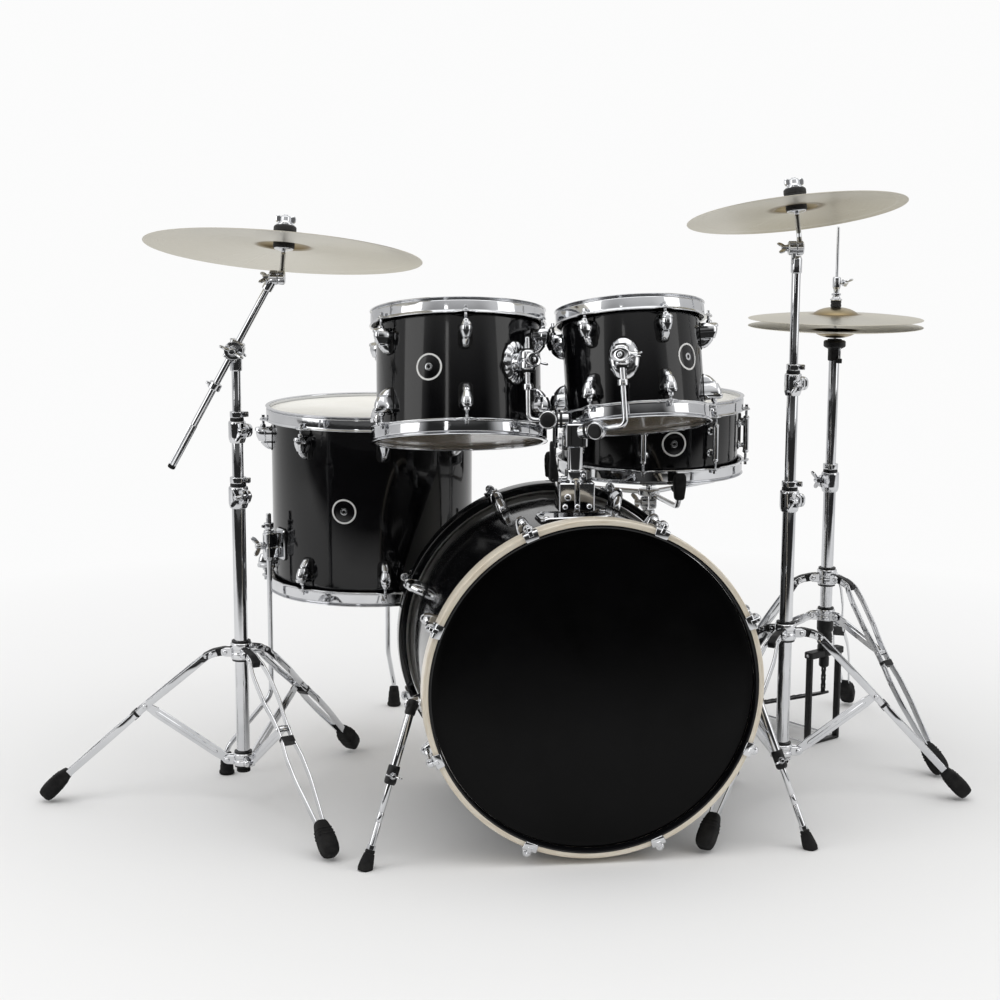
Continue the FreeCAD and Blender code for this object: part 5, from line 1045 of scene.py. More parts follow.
def tom_escutcheon(name, size, drum_at, azimuth, arm, ripples):
    """Oval plate, fluted or smooth, with the clamp eye for the arm, its boss and its wing nut."""
    radius = size["radius"]
    corner = joint_at(arm + "_tilt")
    z = (drum_at.inverted() @ corner).z + ARM_RISES[arm]
    metal, black = Form(), Form()
    flutes = 14
    rings = []
    for x, scale, ripple in ((1.6, 1.0, 0.3), (3.4, 1.0, 0.5), (6.0, 0.93, 1.0), (9.0, 0.76, 1.0),
                             (10.5, 0.6, 0.4)):
        ring = []
        for step in range(112):
            angle = 2 * math.pi * step / 112
            wave = 1.0 + ripples * ripple * math.cos(flutes * angle)
            ring.append(Vector((x, 27.0 * scale * wave * math.cos(angle),
                                38.0 * scale * wave * math.sin(angle))))
        rings.append(ring)
    plate = Form().loft(rings)
    metal.join(moved(plate, z).wrapped(radius, azimuth))
    pad = Form().loft([[Vector((x, 29.5 * math.cos(a), 40.5 * math.sin(a))) for a in
                        (2 * math.pi * i / 72 for i in range(72))] for x in (0.1, 1.7)])
    black.join(moved(pad, z).wrapped(radius, azimuth))
    place = spun(azimuth) @ offset(radius, 0, z)
    stalk = place @ TO_RIGHT
    metal.lathe([(0, 8.0), (17.0, 8.0), (14.5, 14.0), (13.6, 21.0), (0, 21.0)], stalk, 48, 1.2)
    grip = place @ offset(33.0, 0, 0)
    metal.lathe(even([(5.5, -18.0), (12.0, -18.0), (14.6, -15.0), (14.6, -3.0), (13.2, -1.6)]), grip,
                44, 1.1)
    black.pipe(grip @ Vector((0, 0, 17.6)), grip @ Vector((0, 0, 21.0)), 9.8, 5.5, 36)
    black.pipe(grip @ Vector((0, 0, -21.0)), grip @ Vector((0, 0, -17.6)), 9.8, 5.5, 36)
    front = grip @ TO_RIGHT
    metal.lathe([(0, 10.0), (15.4, 10.0), (16.4, 12.0), (16.4, 16.0), (14.2, 18.2), (10.4, 17.0),
                 (0, 17.0)], front @ Matrix.Diagonal((0.82, 1.12, 1, 1)),
                48, 0.8)
    black.sleeve(5.0, 7.8, 16.6, 18.4, front, 36, 0.5)
    metal.lathe([(0, 15.0), (4.6, 15.0), (4.6, 20.0), (3.2, 21.4), (0, 21.8)], front, 6, 0.6)
    side = grip @ TO_BACK
    metal.lathe([(0, 8.0), (6.4, 8.0), (4.4, 15.0), (4.4, 22.0), (0, 22.0)], side, 28, 0.8)
    wing_nut(metal, side @ raised(18.0) @ spun(20.0), 0.9)
    shown(name + "_bracket", metal, "chrome", name, at=drum_at)
    shown(name + "_bracket_pads", black, "rubber", name, at=drum_at)


# ---------------------------------------------------------------- toms and snare

def leaning_drum(name, size):
    """Frame at the middle of a leaning drum's top rim."""
    up = joint_axis(name + "_height")
    return seat(middle(name + "_shell") + up * (size["depth"] / 2 + RIM_ABOVE), up)


def lug_azimuths(first, count):
    return [first + 360 / count * index for index in range(count)]


def upright_drum(shell_node):
    top = node_high(shell_node).z
    centre = middle(shell_node)
    return offset(centre.x, centre.y, top + RIM_ABOVE)


def make_toms():
    at12 = leaning_drum("tom12", TOM12)
    at10 = leaning_drum("tom10", TOM10)
    drum_body("tom12", TOM12, at12, "tom12", lug_azimuths(-84, 6), 60.0, -109.0)
    drum_body("tom10", TOM10, at10, "tom10", lug_azimuths(-68, 6), 54.0, -43.0)
    tom_escutcheon("tom12", TOM12, at12, -47.0, "tom_arm_left", 0.045)
    tom_escutcheon("tom10", TOM10, at10, -101.0, "tom_arm_right", 0.012)


# Floor tom legs: where they stand round the drum, their two distances from its axis, and the
# height of their brackets over the floor
LEG_AZIMUTHS = (211.0, 86.0, 340.0)
LEG_NEAR, LEG_FAR = 232.0, 332.0
LEG_BRACKET_Z = 457.0


def make_floor_tom():
    at = upright_drum("floor_tom_shell")
    drum_body("floor_tom", FLOOR, at, "kit", lug_azimuths(-80, 8), 56.0, -102.0)
    metal, pads = Form(), Form()
    bracket_z = LEG_BRACKET_Z - at.translation.z
    for azimuth in LEG_AZIMUTHS:
        place = spun(azimuth) @ offset(FLOOR["radius"], 0, bracket_z)
        outline, border = oblong(36, 62, 7, 5), oblong(38.5, 64.5, 8, 5)
        rings = ((outline, 1.3), (outline, 4.2), (oblong(33, 59, 7, 5), 5.6))
        bent_plate(metal, rings, bracket_z, FLOOR["radius"], azimuth)
        bent_plate(pads, ((border, 0.1), (border, 1.4)), bracket_z, FLOOR["radius"], azimuth)
        body = soften([(4.0, -13.0), (20.0, -13.0), (37.0, -11.0), (43.0, 0), (37.0, 11.0),
                       (20.0, 13.0), (4.0, 13.0)], 4.5, 4)
        metal.slab(body, -25.0, -3.2, 1.6, place)
        metal.slab(body, 3.2, 25.0, 1.6, place)
        metal.slab(inset(body, 3.0), -3.6, 3.6, 0.4, place)
        leg = place @ offset(LEG_NEAR - FLOOR["radius"], 0, 0)
        for low in (-30.0, 24.4):
            metal.lathe([(5.5, low), (9.6, low), (10.6, low + 1.4), (10.6, low + 4.2),
                         (9.6, low + 5.6), (5.5, low + 5.6)],
                        leg, 32, 0.6)
        eye = place @ offset(LEG_NEAR - FLOOR["radius"], 0, 0) @ TO_RIGHT
        metal.lathe([(0, 8.0), (5.2, 8.0), (5.2, 16.5), (4.4, 20.0), (0, 20.0)], eye, 28, 0.7)
        wing_nut(metal, eye @ raised(17.0) @ spun(25.0), 0.95)
        lock = leg @ raised(33.0)
        metal.sleeve(5.4, 9.8, 0, 12.0, lock, 32, 1.0)
        bolt = lock @ offset(9.0, 0, 6.0) @ TO_RIGHT
        metal.plate(5.6, 5.6, 0.0, 6.5, bolt, 0.7, 0.7)
    shown("floor_tom_leg_brackets", metal, "chrome", "kit", at=at)
    shown("floor_tom_bracket_pads", pads, "rubber", "kit", at=at)
    for index, azimuth in enumerate(LEG_AZIMUTHS, 1):
        body = "floor_tom_leg_%d" % index
        place = offset(at.translation.x, at.translation.y, 0) @ spun(azimuth)
        rod = Form()
        points = [(LEG_NEAR, 0, 520.0), (LEG_NEAR, 0, 150.0), (LEG_FAR, 0, 52.0), (LEG_FAR, 0, 14.0)]
        rod.sweep(soften(points, 16.0, 8, closed=False), circle(5.1, 24), side=Y, at=place)
        rod.knurl(5.25, 430.0, 512.0, 18, 0.35, place @ offset(LEG_NEAR, 0, 0))
        rod.lathe([(0, 519.4), (4.7, 519.4), (3.4, 521.4), (0, 521.8)], place @ offset(LEG_NEAR, 0, 0),
                  24, 0.4)
        shown(body + "_rod", rod, "chrome", body, [body])
        foot = Form()
        foot.lathe([(0, 0), (13.4, 0), (15.2, 1.6), (15.2, 6.0), (13.6, 8.0), (13.2, 18.0),
                    (12.0, 19.5), (12.6, 21.0), (11.6, 33.0), (10.4, 34.0), (10.8, 35.2), (9.8, 44.0),
                    (5.2, 45.0), (0, 45.0)],
                   place @ offset(LEG_FAR, 0, 0), 40, 1.0)
        shown(body + "_foot", foot, "rubber", body)


STRAINER_AZIMUTH = 14.5
BUTT_AZIMUTH = STRAINER_AZIMUTH + 180.0
WIRE_STRANDS, WIRE_GAP, WIRE_HALF, WIRE_COIL = 20, 2.0, 113.0, 0.75
WIRE_STEPS = 220


def make_snare():
    at = upright_drum("snare_shell")
    radius = SNARE["radius"]
    drum_body("snare", SNARE, at, "snare", lug_azimuths(-98, 8), 60.0, -79.0, tube_lugs=True)
    mid = -RIM_ABOVE - SNARE["depth"] / 2
    bottom = -RIM_ABOVE - SNARE["depth"]
    metal, black, wires = Form(), Form(), Form()
    throw = spun(STRAINER_AZIMUTH)
    place = throw @ offset(radius, 0, mid)
    black.slab(oblong(15.0, 27.0, 3.0, 4, at=(8.2, 0)), -35.0, 35.0, 1.4, place)
    for z in (-29.0, 29.0):
        screw_head(metal, place @ offset(15.6, 0, z) @ TO_RIGHT, 3.8)
    metal.slab(oblong(9.0, 5.6, 1.6, 3, at=(20.4, 0)), 8.0, 24.0, 1.0, place)
    metal.lathe([(0, 0), (5.6, 0), (6.4, 2.0), (6.4, 12.0), (5.6, 14.0), (0, 14.0)],
                place @ offset(9.0, 0, 35.0), 32, 0.8)
    knob = place @ offset(9.0, 0, 40.0)
    metal.knurl(6.8, 0.0, 7.0, 20, 0.5, knob)
    butt = spun(BUTT_AZIMUTH) @ offset(radius, 0, mid)
    metal.slab(oblong(11.5, 30.0, 3.0, 4, at=(6.4, 0)), -30.0, 2.0, 1.5, butt)
    for z in (-21.0, -7.0):
        screw_head(metal, butt @ offset(12.0, 0, z) @ TO_RIGHT, 3.6)
    for end in (STRAINER_AZIMUTH, BUTT_AZIMUTH):
        strap = [polar(radius + 6.0, end, mid - 32.0), polar(radius + 5.4, end, bottom - 2.0),
                 polar(radius - 8.0, end, bottom - 3.2), polar(126.0, end, bottom - 3.0)]
        across = spun(end) @ Y
        black.sweep(soften(strap, 5.0, 4, closed=False), oblong(19.0, 0.7, 0.3, 2), side=across)
        plate = spun(end) @ offset(120.0, 0, bottom - 3.4)
        metal.plate(14.0, 42.0, -0.9, 0.9, plate, 2.0, 0.4)
    for strand in range(WIRE_STRANDS):
        y = (strand - (WIRE_STRANDS - 1) / 2) * WIRE_GAP
        path = []
        for step in range(WIRE_STEPS + 1):
            x = WIRE_HALF * (2 * step / WIRE_STEPS - 1)
            turn = step * math.pi / 2
            path.append((x, y + WIRE_COIL * math.cos(turn), bottom - 3.2 + WIRE_COIL * math.sin(turn)))
        wires.sweep(path, circle(0.3, 4), at=throw)
    shown("snare_strainer_metal", metal, "chrome", "snare", at=at)
    shown("snare_strainer_body", black, "black_metal", "snare", at=at)
    shown("snare_wires", wires, "wires", "snare", at=at, angle=60)
    lever = Form()
    hinge = throw @ offset(radius + 29.5, 0, mid + 16.0)
    path = [(-0.4, 0, 6.0), (0, 0, -8.0), (1.4, 0, -34.0), (0.8, 0, -52.0), (3.8, 0, -62.0)]
    smooth_path = soften(path, 9.0, 4, closed=False)
    widths = [(0.66 + 0.34 * math.sin(math.pi * (i / (len(smooth_path) - 1)) ** 0.7),
               1.0) for i in range(len(smooth_path))]
    lever.sweep(smooth_path, oblong(17.0, 4.4, 1.8, 4), side=Y, scales=widths, at=hinge)
    pin = hinge @ TO_FRONT
    lever.lathe(even([(0, -9.0), (4.6, -9.0), (5.2, -7.6)]), pin, 28, 0.8)
    shown("strainer_throw_lever", lever, "chrome", "strainer_lever", ["snare_strainer_lever"], at)


# ---------------------------------------------------------------- stands

STANDS = {
    "boom": {"at": (-505.5, -170.3), "azimuths": (181.0, 301.0, 61.0), "hub": 296.0, "lower": 84.0,
             "joint": (183.0, 190.0), "foot": 375.0},
    "straight": {"at": (528.3, -139.1), "azimuths": (359.5, 119.5, 239.5), "hub": 330.0, "lower": 96.0,
                 "joint": (175.0, 206.0), "foot": 352.0},
    "hihat": {"at": (668.8, 236.6), "azimuths": (309.7, 69.7, 180.0), "hub": 357.0, "lower": 276.0,
              "joint": (150.0, 224.0), "foot": 311.0},
    "snare_stand": {"at": (288.0, 178.0), "azimuths": (305.0, 65.0, 185.0), "hub": 220.0, "lower": 92.0,
                    "joint": (130.0, 146.0), "foot": 270.0},
}


# Outer radii and bores of the height tubes, and the bush that holds the top tube
LOWER_TUBE, LOWER_BORE = 12.7, 11.1
MID_TUBE, MID_BORE = 10.6, 9.0
TOP_TUBE, TOP_BORE = 8.3, 6.8
TOP_BUSH = 8.4
CLAMP_OVER_TUBE = 3.0
# The lower tube and its plug reach this far under the lower hub
TUBE_BELOW, PLUG_BELOW = 10.0, 24.0


def stand_at(name):
    x, y = STANDS[name]["at"]
    return offset(x, y, 0)


def hub_ring(metal, black, stand, z, tongue, at, tall=32.0, outer=20.5):
    """Cast collar round a tube: eared sides, a bolt through each pair of ears, and plastic rings."""
    low = z - tall * 0.44
    high = low + tall
    metal.lathe([(LOWER_TUBE + 0.6, low), (outer - 1.6, low), (outer, low + 2.0),
                 (outer, low + tall * 0.36), (outer - 1.4, low + tall * 0.42),
                 (outer - 1.4, low + tall * 0.58), (outer, low + tall * 0.64), (outer, high - 2.0),
                 (outer - 1.6, high), (LOWER_TUBE + 0.6, high)], at, 56, 0.8)
    for ring_low in (low - 3.4, high):
        black.pipe(at @ Vector((0, 0, ring_low)), at @ Vector((0, 0, ring_low + 3.4)), outer - 2.6,
                   LOWER_TUBE + 0.1, 48)
    for azimuth in stand["azimuths"]:
        turned = at @ spun(azimuth)
        outline = soften([(outer - 4.0, -8.5), (30.0, -8.5), (37.5, -5.0), (38.5, 0.0), (37.5, 5.0),
                          (30.0, 8.5), (outer - 4.0, 8.5)], 3.5, 4)
        for face in (tongue + 0.4, -tongue - 4.0):
            place = turned @ offset(0, face + 3.6, z) @ TO_FRONT
            metal.slab(outline, 0.0, 3.6, 0.9, place)
        pin = turned @ offset(30.0, 0, z) @ TO_FRONT
        reach = tongue + 4.0
        metal.lathe([(0, -reach - 2.4), (3.0, -reach - 2.4), (4.8, -reach - 0.9), (4.8, -reach),
                     (2.9, -reach + 0.1), (2.9, reach - 0.1), (4.8, reach), (4.8, reach + 0.9),
                     (3.0, reach + 2.4), (0, reach + 2.4)],
                    pin, 24, 0.4)


def leg_forms(stand):
    """Double-strand leg, its plastic hub link, its bolts and its rubber foot, at azimuth 0."""
    hub, foot = stand["hub"], stand["foot"]
    joint = Vector((stand["joint"][0], 0, stand["joint"][1]))
    shoulder = Vector((64.0, 0, hub - 8.0))
    end = Vector((foot - 14.0, 0, 32.0))
    spine = soften([(46.0, 0, hub - 1.5), shoulder, joint, end], 30.0, 8, closed=False)
    dense = []
    for first, second in zip(spine, spine[1:]):
        parts = max(1, int((second - first).length / 6.0))
        dense += [first.lerp(second, i / parts) for i in range(parts)]
    dense.append(spine[-1])
    knee = min(range(len(dense)), key=lambda i: (dense[i] - joint).length)
    upper = knee
    lower = len(dense) - 1 - knee

    def spread(i):
        marks = ((0, 8.6), (0.16, 8.8), (0.42, 15.6), (0.72, 15.6), (0.94, 10.8), (1.0, 10.6))
        share = i / upper
        if i > knee:
            marks = ((0, 10.6), (0.08, 10.8), (0.26, 15.4), (0.46, 15.0), (0.86, 6.8), (1.0, 4.4))
            share = (i - knee) / lower
        for (s0, y0), (s1, y1) in zip(marks, marks[1:]):
            if share <= s1:
                t = (share - s0) / (s1 - s0)
                return y0 + (y1 - y0) * t
        return marks[-1][1]

    metal, black, rubber = Form(), Form(), Form()
    widths = [spread(i) for i in range(len(dense))]
    eased = [sum(widths[max(0, i - 1):i + 2]) / len(widths[max(0,
            i - 1):i + 2]) for i in range(len(widths))]
    for sign in (-1, 1):
        path = [point + Y * sign * width for point, width in zip(dense, eased)]
        metal.sweep(path, oblong(3.0, 13.0, 1.2, 3), side=Y)
    link = [(20.0, hub + 8.0), (34.0, hub + 8.5), (56.0, hub + 3.5), (74.0, hub - 6.0),
            (70.0, hub - 18.0), (52.0, hub - 10.5), (34.0, hub - 7.5), (20.0, hub - 6.0)]
    body = soften(link, 4.0, 4)
    black.slab([Vector((p.x, p.y)) for p in body], -6.9, 6.9, 1.2, TO_FRONT)
    for x, z in ((57.0, hub - 4.0), (68.0, hub - 10.0)):
        pin = offset(x, 0, z) @ TO_FRONT
        metal.lathe(even([(0, -12.4), (2.4, -12.4), (3.8, -11.2), (3.8, -10.2), (2.2, -10.0)]), pin,
                    20, 0.3)
    pin = Matrix.Translation(joint) @ TO_FRONT
    metal.lathe(even([(0, -15.0), (2.6, -15.0), (4.6, -13.6), (4.6, -12.2), (2.9, -12.0)]), pin, 22,
                0.4)
    out = (end - joint).normalized()
    black.sweep([joint + out * 20.0, joint + out * 32.0], oblong(25.4, 15.4, 3.0, 3), side=Y)
    tip = end - out * 34.0
    metal.sweep([tip, end + out * 2.0], oblong(11.6, 11.8, 2.0, 3), side=Y)
    pin = Matrix.Translation(end - out * 26.0) @ TO_FRONT
    metal.lathe(even([(0, -8.6), (2.4, -8.6), (3.6, -7.6)]), pin, 20, 0.4)
    start = Vector((foot - 44.0, 0, 62.0))
    toe = Vector((foot + 6.0, 0, 12.0))
    along = (toe - start).normalized()
    rise = along.cross(Y)
    rings = []
    for s, wide, tall in ((4.0, 16.0, 15.0), (5.2, 20.0, 18.0), (9.0, 23.0, 21.0), (18.0, 27.0, 25.0),
                          (32.0, 31.5, 29.0), (44.0, 33.0, 31.0), (56.0, 32.5, 31.0),
                          (64.0, 30.0, 29.0), (70.0, 25.0, 25.0), (72.5, 18.0, 18.0)):
        ring = []
        for p in oblong(wide, tall, min(wide, tall) * 0.30, 5):
            point = start + along * s + Y * p.x + rise * p.y
            point.z = max(point.z, 0.0)
            ring.append(point)
        rings.append(ring)
    rubber.loft(rings)
    for s in (22.0, 28.0, 34.0):
        ring = oblong(23.6 + s * 0.23, 22.0 + s * 0.22, 7.0, 5)
        groove = [start + along * s + Y * p.x + rise * p.y for p in ring]
        rubber.loft([[start + along * (s + d) + (g - start - along * s) * k for g in groove]
                     for d, k in ((-1.3, 0.98), (-0.7, 1.03), (0.7, 1.035), (1.3, 0.99))])
    return metal, black, rubber


def brace_form(stand):
    """Flat brace from the lower hub to the bolt between the strands."""
    root = Vector((30.0, 0, stand["lower"]))
    tip = Vector((stand["joint"][0], 0, stand["joint"][1]))
    along = (tip - root).normalized()
    length = (tip - root).length
    metal = Form()
    outline = soften(even([(-7.5, -6.0), (0, -8.6), (14.0, -8.6), (22.0, -9.6), (length - 22, -9.6),
                           (length - 12, -8.0), (length, -7.4), (length + 6.0, -5.0)]), 4.0, 3)
    place = Matrix.Translation(root) @ Matrix((along, Y.cross(along), -Y)).transposed().to_4x4()
    metal.slab(outline, -1.9, 1.9, 0.7, place)
    rib = soften([(26.0, -3.4), (length - 26.0, -3.4), (length - 22.0, 0), (length - 26.0, 3.4),
                  (26.0, 3.4), (22.0, 0)], 2.0, 3)
    metal.slab(rib, -3.0, 3.0, 1.0, place)
    pin = Matrix.Translation(tip) @ TO_FRONT
    metal.sleeve(3.1, 6.4, -8.0, 8.0, pin, 24, 0.6)
    return metal


def tube_form(form, outer, inner, low, high, at):
    form.sleeve(inner, outer, low, high, at, 48, 0.5)


def height_clamp(metal, black, top, outer, inner, azimuth, at):
    """Tube clamp: plastic bush, cast collar with a split lug, memory lock, bolt and wing nut."""
    place = at @ raised(top) @ spun(azimuth)
    black.lathe([(inner + 0.15, -4.0), (outer + 2.2, -4.0), (outer + 2.2, 0.6), (outer + 1.2, 2.0),
                 (inner + 0.15, 2.0)],
                place, 44, 0.5)
    metal.lathe([(outer + 0.1, -45.0), (outer + 2.6, -45.0), (outer + 3.6, -43.0),
                 (outer + 5.2, -38.0), (outer + 5.6, -34.0), (outer + 5.6, -8.0), (outer + 4.6, -4.4),
                 (outer + 2.4, -3.6), (outer + 0.1, -3.6)], place, 52, 0.9)
    lug = soften([(outer + 1.0, -36.0), (outer + 14.0, -33.0), (outer + 18.0, -27.0),
                  (outer + 18.0, -15.0), (outer + 14.0, -9.5), (outer + 1.0, -8.0)], 4.0, 4)
    upright = TO_FRONT
    for low in (-9.4, 1.6):
        metal.slab(lug, low, low + 7.8, 1.4, place @ upright)
    bolt = place @ offset(outer + 9.0, 0, -21.0) @ upright
    metal.lathe([(0, -13.4), (5.0, -13.4), (6.0, -12.0), (6.0, -9.2), (3.4, -9.0), (3.4, 15.0),
                 (0, 15.0)], bolt, 6, 0.5)
    metal.cylinder(3.9, -9.0, 16.0, bolt, 24, 0.4)
    wing_nut(metal, bolt @ raised(10.6) @ spun(72.0), 0.92)
    lock = place @ raised(2.6) @ spun(38.0)
    metal.lathe([(inner + 0.1, 0), (inner + 4.4, 0), (inner + 4.8, 1.0), (inner + 4.8, 10.0),
                 (inner + 4.4, 11.0), (inner + 0.1, 11.0)], lock, 44, 0.6)
    ear = soften([(inner + 2.0, -5.0), (inner + 13.0, -4.2), (inner + 13.0, 4.2), (inner + 2.0, 5.0)],
                 1.6, 3)
    metal.slab(ear, 0.6, 10.4, 1.0, lock)
    screw = lock @ offset(inner + 8.4, -4.4, 5.5) @ upright
    metal.plate(5.2, 5.2, 0.0, 6.0, screw, 0.7, 0.7)


def middle_tube(prefix, low, high, azimuth, at):
    """Middle height tube of a cymbal stand, with the clamp at its top."""
    metal, black = Form(), Form()
    tube_form(metal, MID_TUBE, MID_BORE, low, high - CLAMP_OVER_TUBE, at)
    height_clamp(metal, black, high, MID_TUBE, TOP_BUSH, azimuth, at)
    shown(prefix + "_metal", metal, "chrome", prefix + "_tube", [prefix + "_tube"])
    shown(prefix + "_inserts", black, "black_metal", prefix + "_tube")


def fixed_tripod_pieces(name, tube_low, tube_high, clamp_azimuth):
    stand = STANDS[name]
    at = stand_at(name)
    metal, black, rubber = Form(), Form(), Form()
    hub_ring(metal, black, stand, stand["hub"], 7.0, at)
    hub_ring(metal, black, stand, stand["lower"], 4.0, at, 24.0, 19.5)
    tube_form(metal, LOWER_TUBE, LOWER_BORE, tube_low, tube_high - CLAMP_OVER_TUBE, at)
    height_clamp(metal, black, tube_high, LOWER_TUBE, MID_TUBE, clamp_azimuth, at)
    leg_metal, leg_black, leg_rubber = leg_forms(stand)
    brace = brace_form(stand)
    for azimuth in stand["azimuths"]:
        turned = at @ spun(azimuth)
        metal.join(leg_metal, turned)
        metal.join(brace, turned)
        black.join(leg_black, turned)
        rubber.join(leg_rubber, turned)
    return metal, black, rubber


def end_plug(form, low, at):
    """Rubber plug in the lower end of a stand's tube."""
    form.lathe([(0, low), (LOWER_TUBE - 0.4, low), (LOWER_TUBE + 0.3, low + 1.4),
                (LOWER_TUBE + 0.3, low + 6.0), (LOWER_TUBE - 1.8, low + 6.4),
                (LOWER_TUBE - 1.8, low + 14.0), (0, low + 14.0)], at, 44, 0.6)


# ---------------------------------------------------------------- cymbals

def cymbal_form(radius, bow, bell_radius, bell, thick=1.5):
    """Bowed, lathed disc with a bell, slightly out of true, its rim's middle at the origin."""
    top = []
    steps = 60
    for step in range(steps + 1):
        r = radius - (radius - bell_radius) * step / steps
        share = (radius - r) / (radius - bell_radius)
        z = bow * (1 - (1 - share) ** 1.75)
        top.append((r, z))
    for step in range(1, 17):
        share = step / 16
        r = bell_radius - (bell_radius - 6.0) * share
        z = bow + bell * (1 - (1 - share ** 0.85) ** 2.1) if share < 1 else bow + bell
        top.append((r, z))
    top[-1] = (6.0, bow + bell)
    low = [(r, z - thick * (0.65 if r > radius * 0.9 else 1.0)) for r, z in top][::-1]
    profile = [(radius - 0.5, top[0][1])] + top[1:] + low[:-1] + [(radius - 0.5, low[-1][1]),
            (radius, -thick * 0.3)]

    def warp(r, z, angle):
        if r < bell_radius:
            return r, z
        share = (r - bell_radius) / (radius - bell_radius)
        dents = math.sin(angle * 17 + r * 0.23) * math.sin(angle * 29 - r * 0.31) * 0.10
        swell = math.sin(math.pi * min(1.0, share * 1.1))
        return r, z + dents * swell + 0.35 * share * math.sin(2 * angle + 0.7)

    form = Form()
    form.turn(profile, steps=220, warp=warp)
    return form


def ratchet(form, at, thick, teeth=28, radius=13.0):
    """Toothed disc along +z."""
    def warp(r, z, angle):
        return (r - 0.7 * (0.5 + 0.5 * math.cos(teeth * angle)) if r > radius * 0.93 else r), z
    form.lathe([(0, 0), (radius - 1.2, 0), (radius, 1.0), (radius, thick - 2.0), (radius - 2.4, thick),
                (0, thick)],
               at, teeth * 4, 0.4, warp)


def cymbal_top(prefix, pivot, axis, hub_at, body):
    """Moving half of a ratchet with the cymbal rod, cup washer, sleeve, felts and wing nut."""
    base = pivot + X * 6.0
    metal, felt, black = Form(), Form(), Form()
    disc = Matrix.Translation(pivot) @ TO_RIGHT
    ratchet(metal, disc @ raised(-0.4), 12.6)
    rod = seat(base, axis)
    metal.lathe([(0, -2.0), (6.2, -2.0), (5.6, 10.0), (4.6, 20.0), (4.6, hub_at - 26.0),
                 (0, hub_at - 26.0)], rod, 32, 0.8)
    threads = [(0, hub_at - 30.0)]
    z = hub_at - 30.0
    while z < hub_at + 43.0:
        threads += [(3.6, z), (4.0, z + 0.6)]
        z += 1.2
    threads.append((0, z))
    metal.turn(threads, rod, 20)
    metal.lathe([(0, hub_at - 23.5), (6.0, hub_at - 23.5), (17.0, hub_at - 20.5),
                 (18.0, hub_at - 18.6), (0, hub_at - 18.6)], rod, 44, 0.8)
    felt.lathe([(3.9, hub_at - 18.6), (18.6, hub_at - 18.6), (19.6, hub_at - 16.0),
                (19.4, hub_at - 6.4), (17.6, hub_at - 4.4), (3.9, hub_at - 4.2)], rod, 48, 1.6)
    felt.lathe([(3.9, hub_at + 0.5), (18.8, hub_at + 0.6), (20.8, hub_at + 3.0), (21.0, hub_at + 10.0),
                (20.0, hub_at + 11.4), (21.0, hub_at + 13.0), (20.8, hub_at + 20.0),
                (19.0, hub_at + 22.6), (3.9, hub_at + 22.8)], rod, 48, 1.4)
    black.sleeve(4.0, 5.6, hub_at - 9.0, hub_at + 9.0, rod, 28, 0.4)
    metal.sleeve(4.0, 17.0, hub_at + 22.8, hub_at + 24.6, rod, 44, 0.5)
    nut = rod @ raised(hub_at + 24.6)
    metal.lathe([(4.0, 0), (13.0, 0), (13.0, 3.0), (10.4, 6.0), (10.0, 14.0), (8.0, 16.0),
                 (4.0, 16.0)], nut, 36, 1.0)
    outline = soften([(5.0, 2.0), (14.0, 2.6), (18.2, 5.0), (18.8, 12.0), (17.0, 16.4), (13.0, 16.8),
                      (5.0, 13.5)], 2.4, 4)
    for half in (12, 192):
        metal.slab(outline, -3.6, 3.6, 1.8, nut @ spun(half) @ TO_FRONT)
    shown(prefix + "_rod", metal, "chrome", body, [prefix])
    shown(prefix + "_felts", felt, "felt", body)
    shown(prefix + "_sleeve", black, "rubber", body)


def ratchet_fixed(metal, pivot):
    """Fixed half of a tilter with its bolt and wing nut, on the -X side."""
    disc = Matrix.Translation(pivot) @ TO_LEFT
    ratchet(metal, disc @ raised(1.0), 15.5)
    metal.cylinder(4.2, 15.0, 26.0, disc, 24, 0.5)
    wing_nut(metal, disc @ raised(17.0) @ spun(64.0), 0.9)


def make_cymbal(body, radius, rise, hub_at):
    """Disc on its spin joint, named from the body that it turns with."""
    axis = joint_axis(body + "_spin")
    centre = joint_at(body + "_spin") + axis * (hub_at - sum(rise))
    form = cymbal_form(radius, rise[0], radius * BELL_SHARE, rise[1])
    shown(body + "_disc", form, "bronze", body, [body + "_cymbal"], seat(centre, axis),
          angle=CYMBAL_SHARP)


# Radius, height of the hub over the spin joint, and the rises of the bow and of the bell
RIDE_RADIUS, RIDE_HUB_AT, RIDE_RISE = 254.0, 72.0, (13.0, 13.0)
CRASH_RADIUS, CRASH_HUB_AT, CRASH_RISE = 203.2, 88.0, (11.0, 12.0)
HAT_RADIUS, HAT_RISE = 177.8, (9.0, 14.0)
HAT_BOTTOM_Z, HAT_TOP_Z = 882.0, 898.0
BELL_SHARE, HAT_BELL_SHARE = 0.2, 0.26
CYMBAL_SHARP = 50.0


# Lean of the boom arm from upright, and places along it from its tilt joint
BOOM_LEAN = 29.0
BOOM_HIGH, BOOM_LOW = 152.0, -250.0
BOOM_GRIP, BOOM_LOCK_AT = 62.0, -82.0


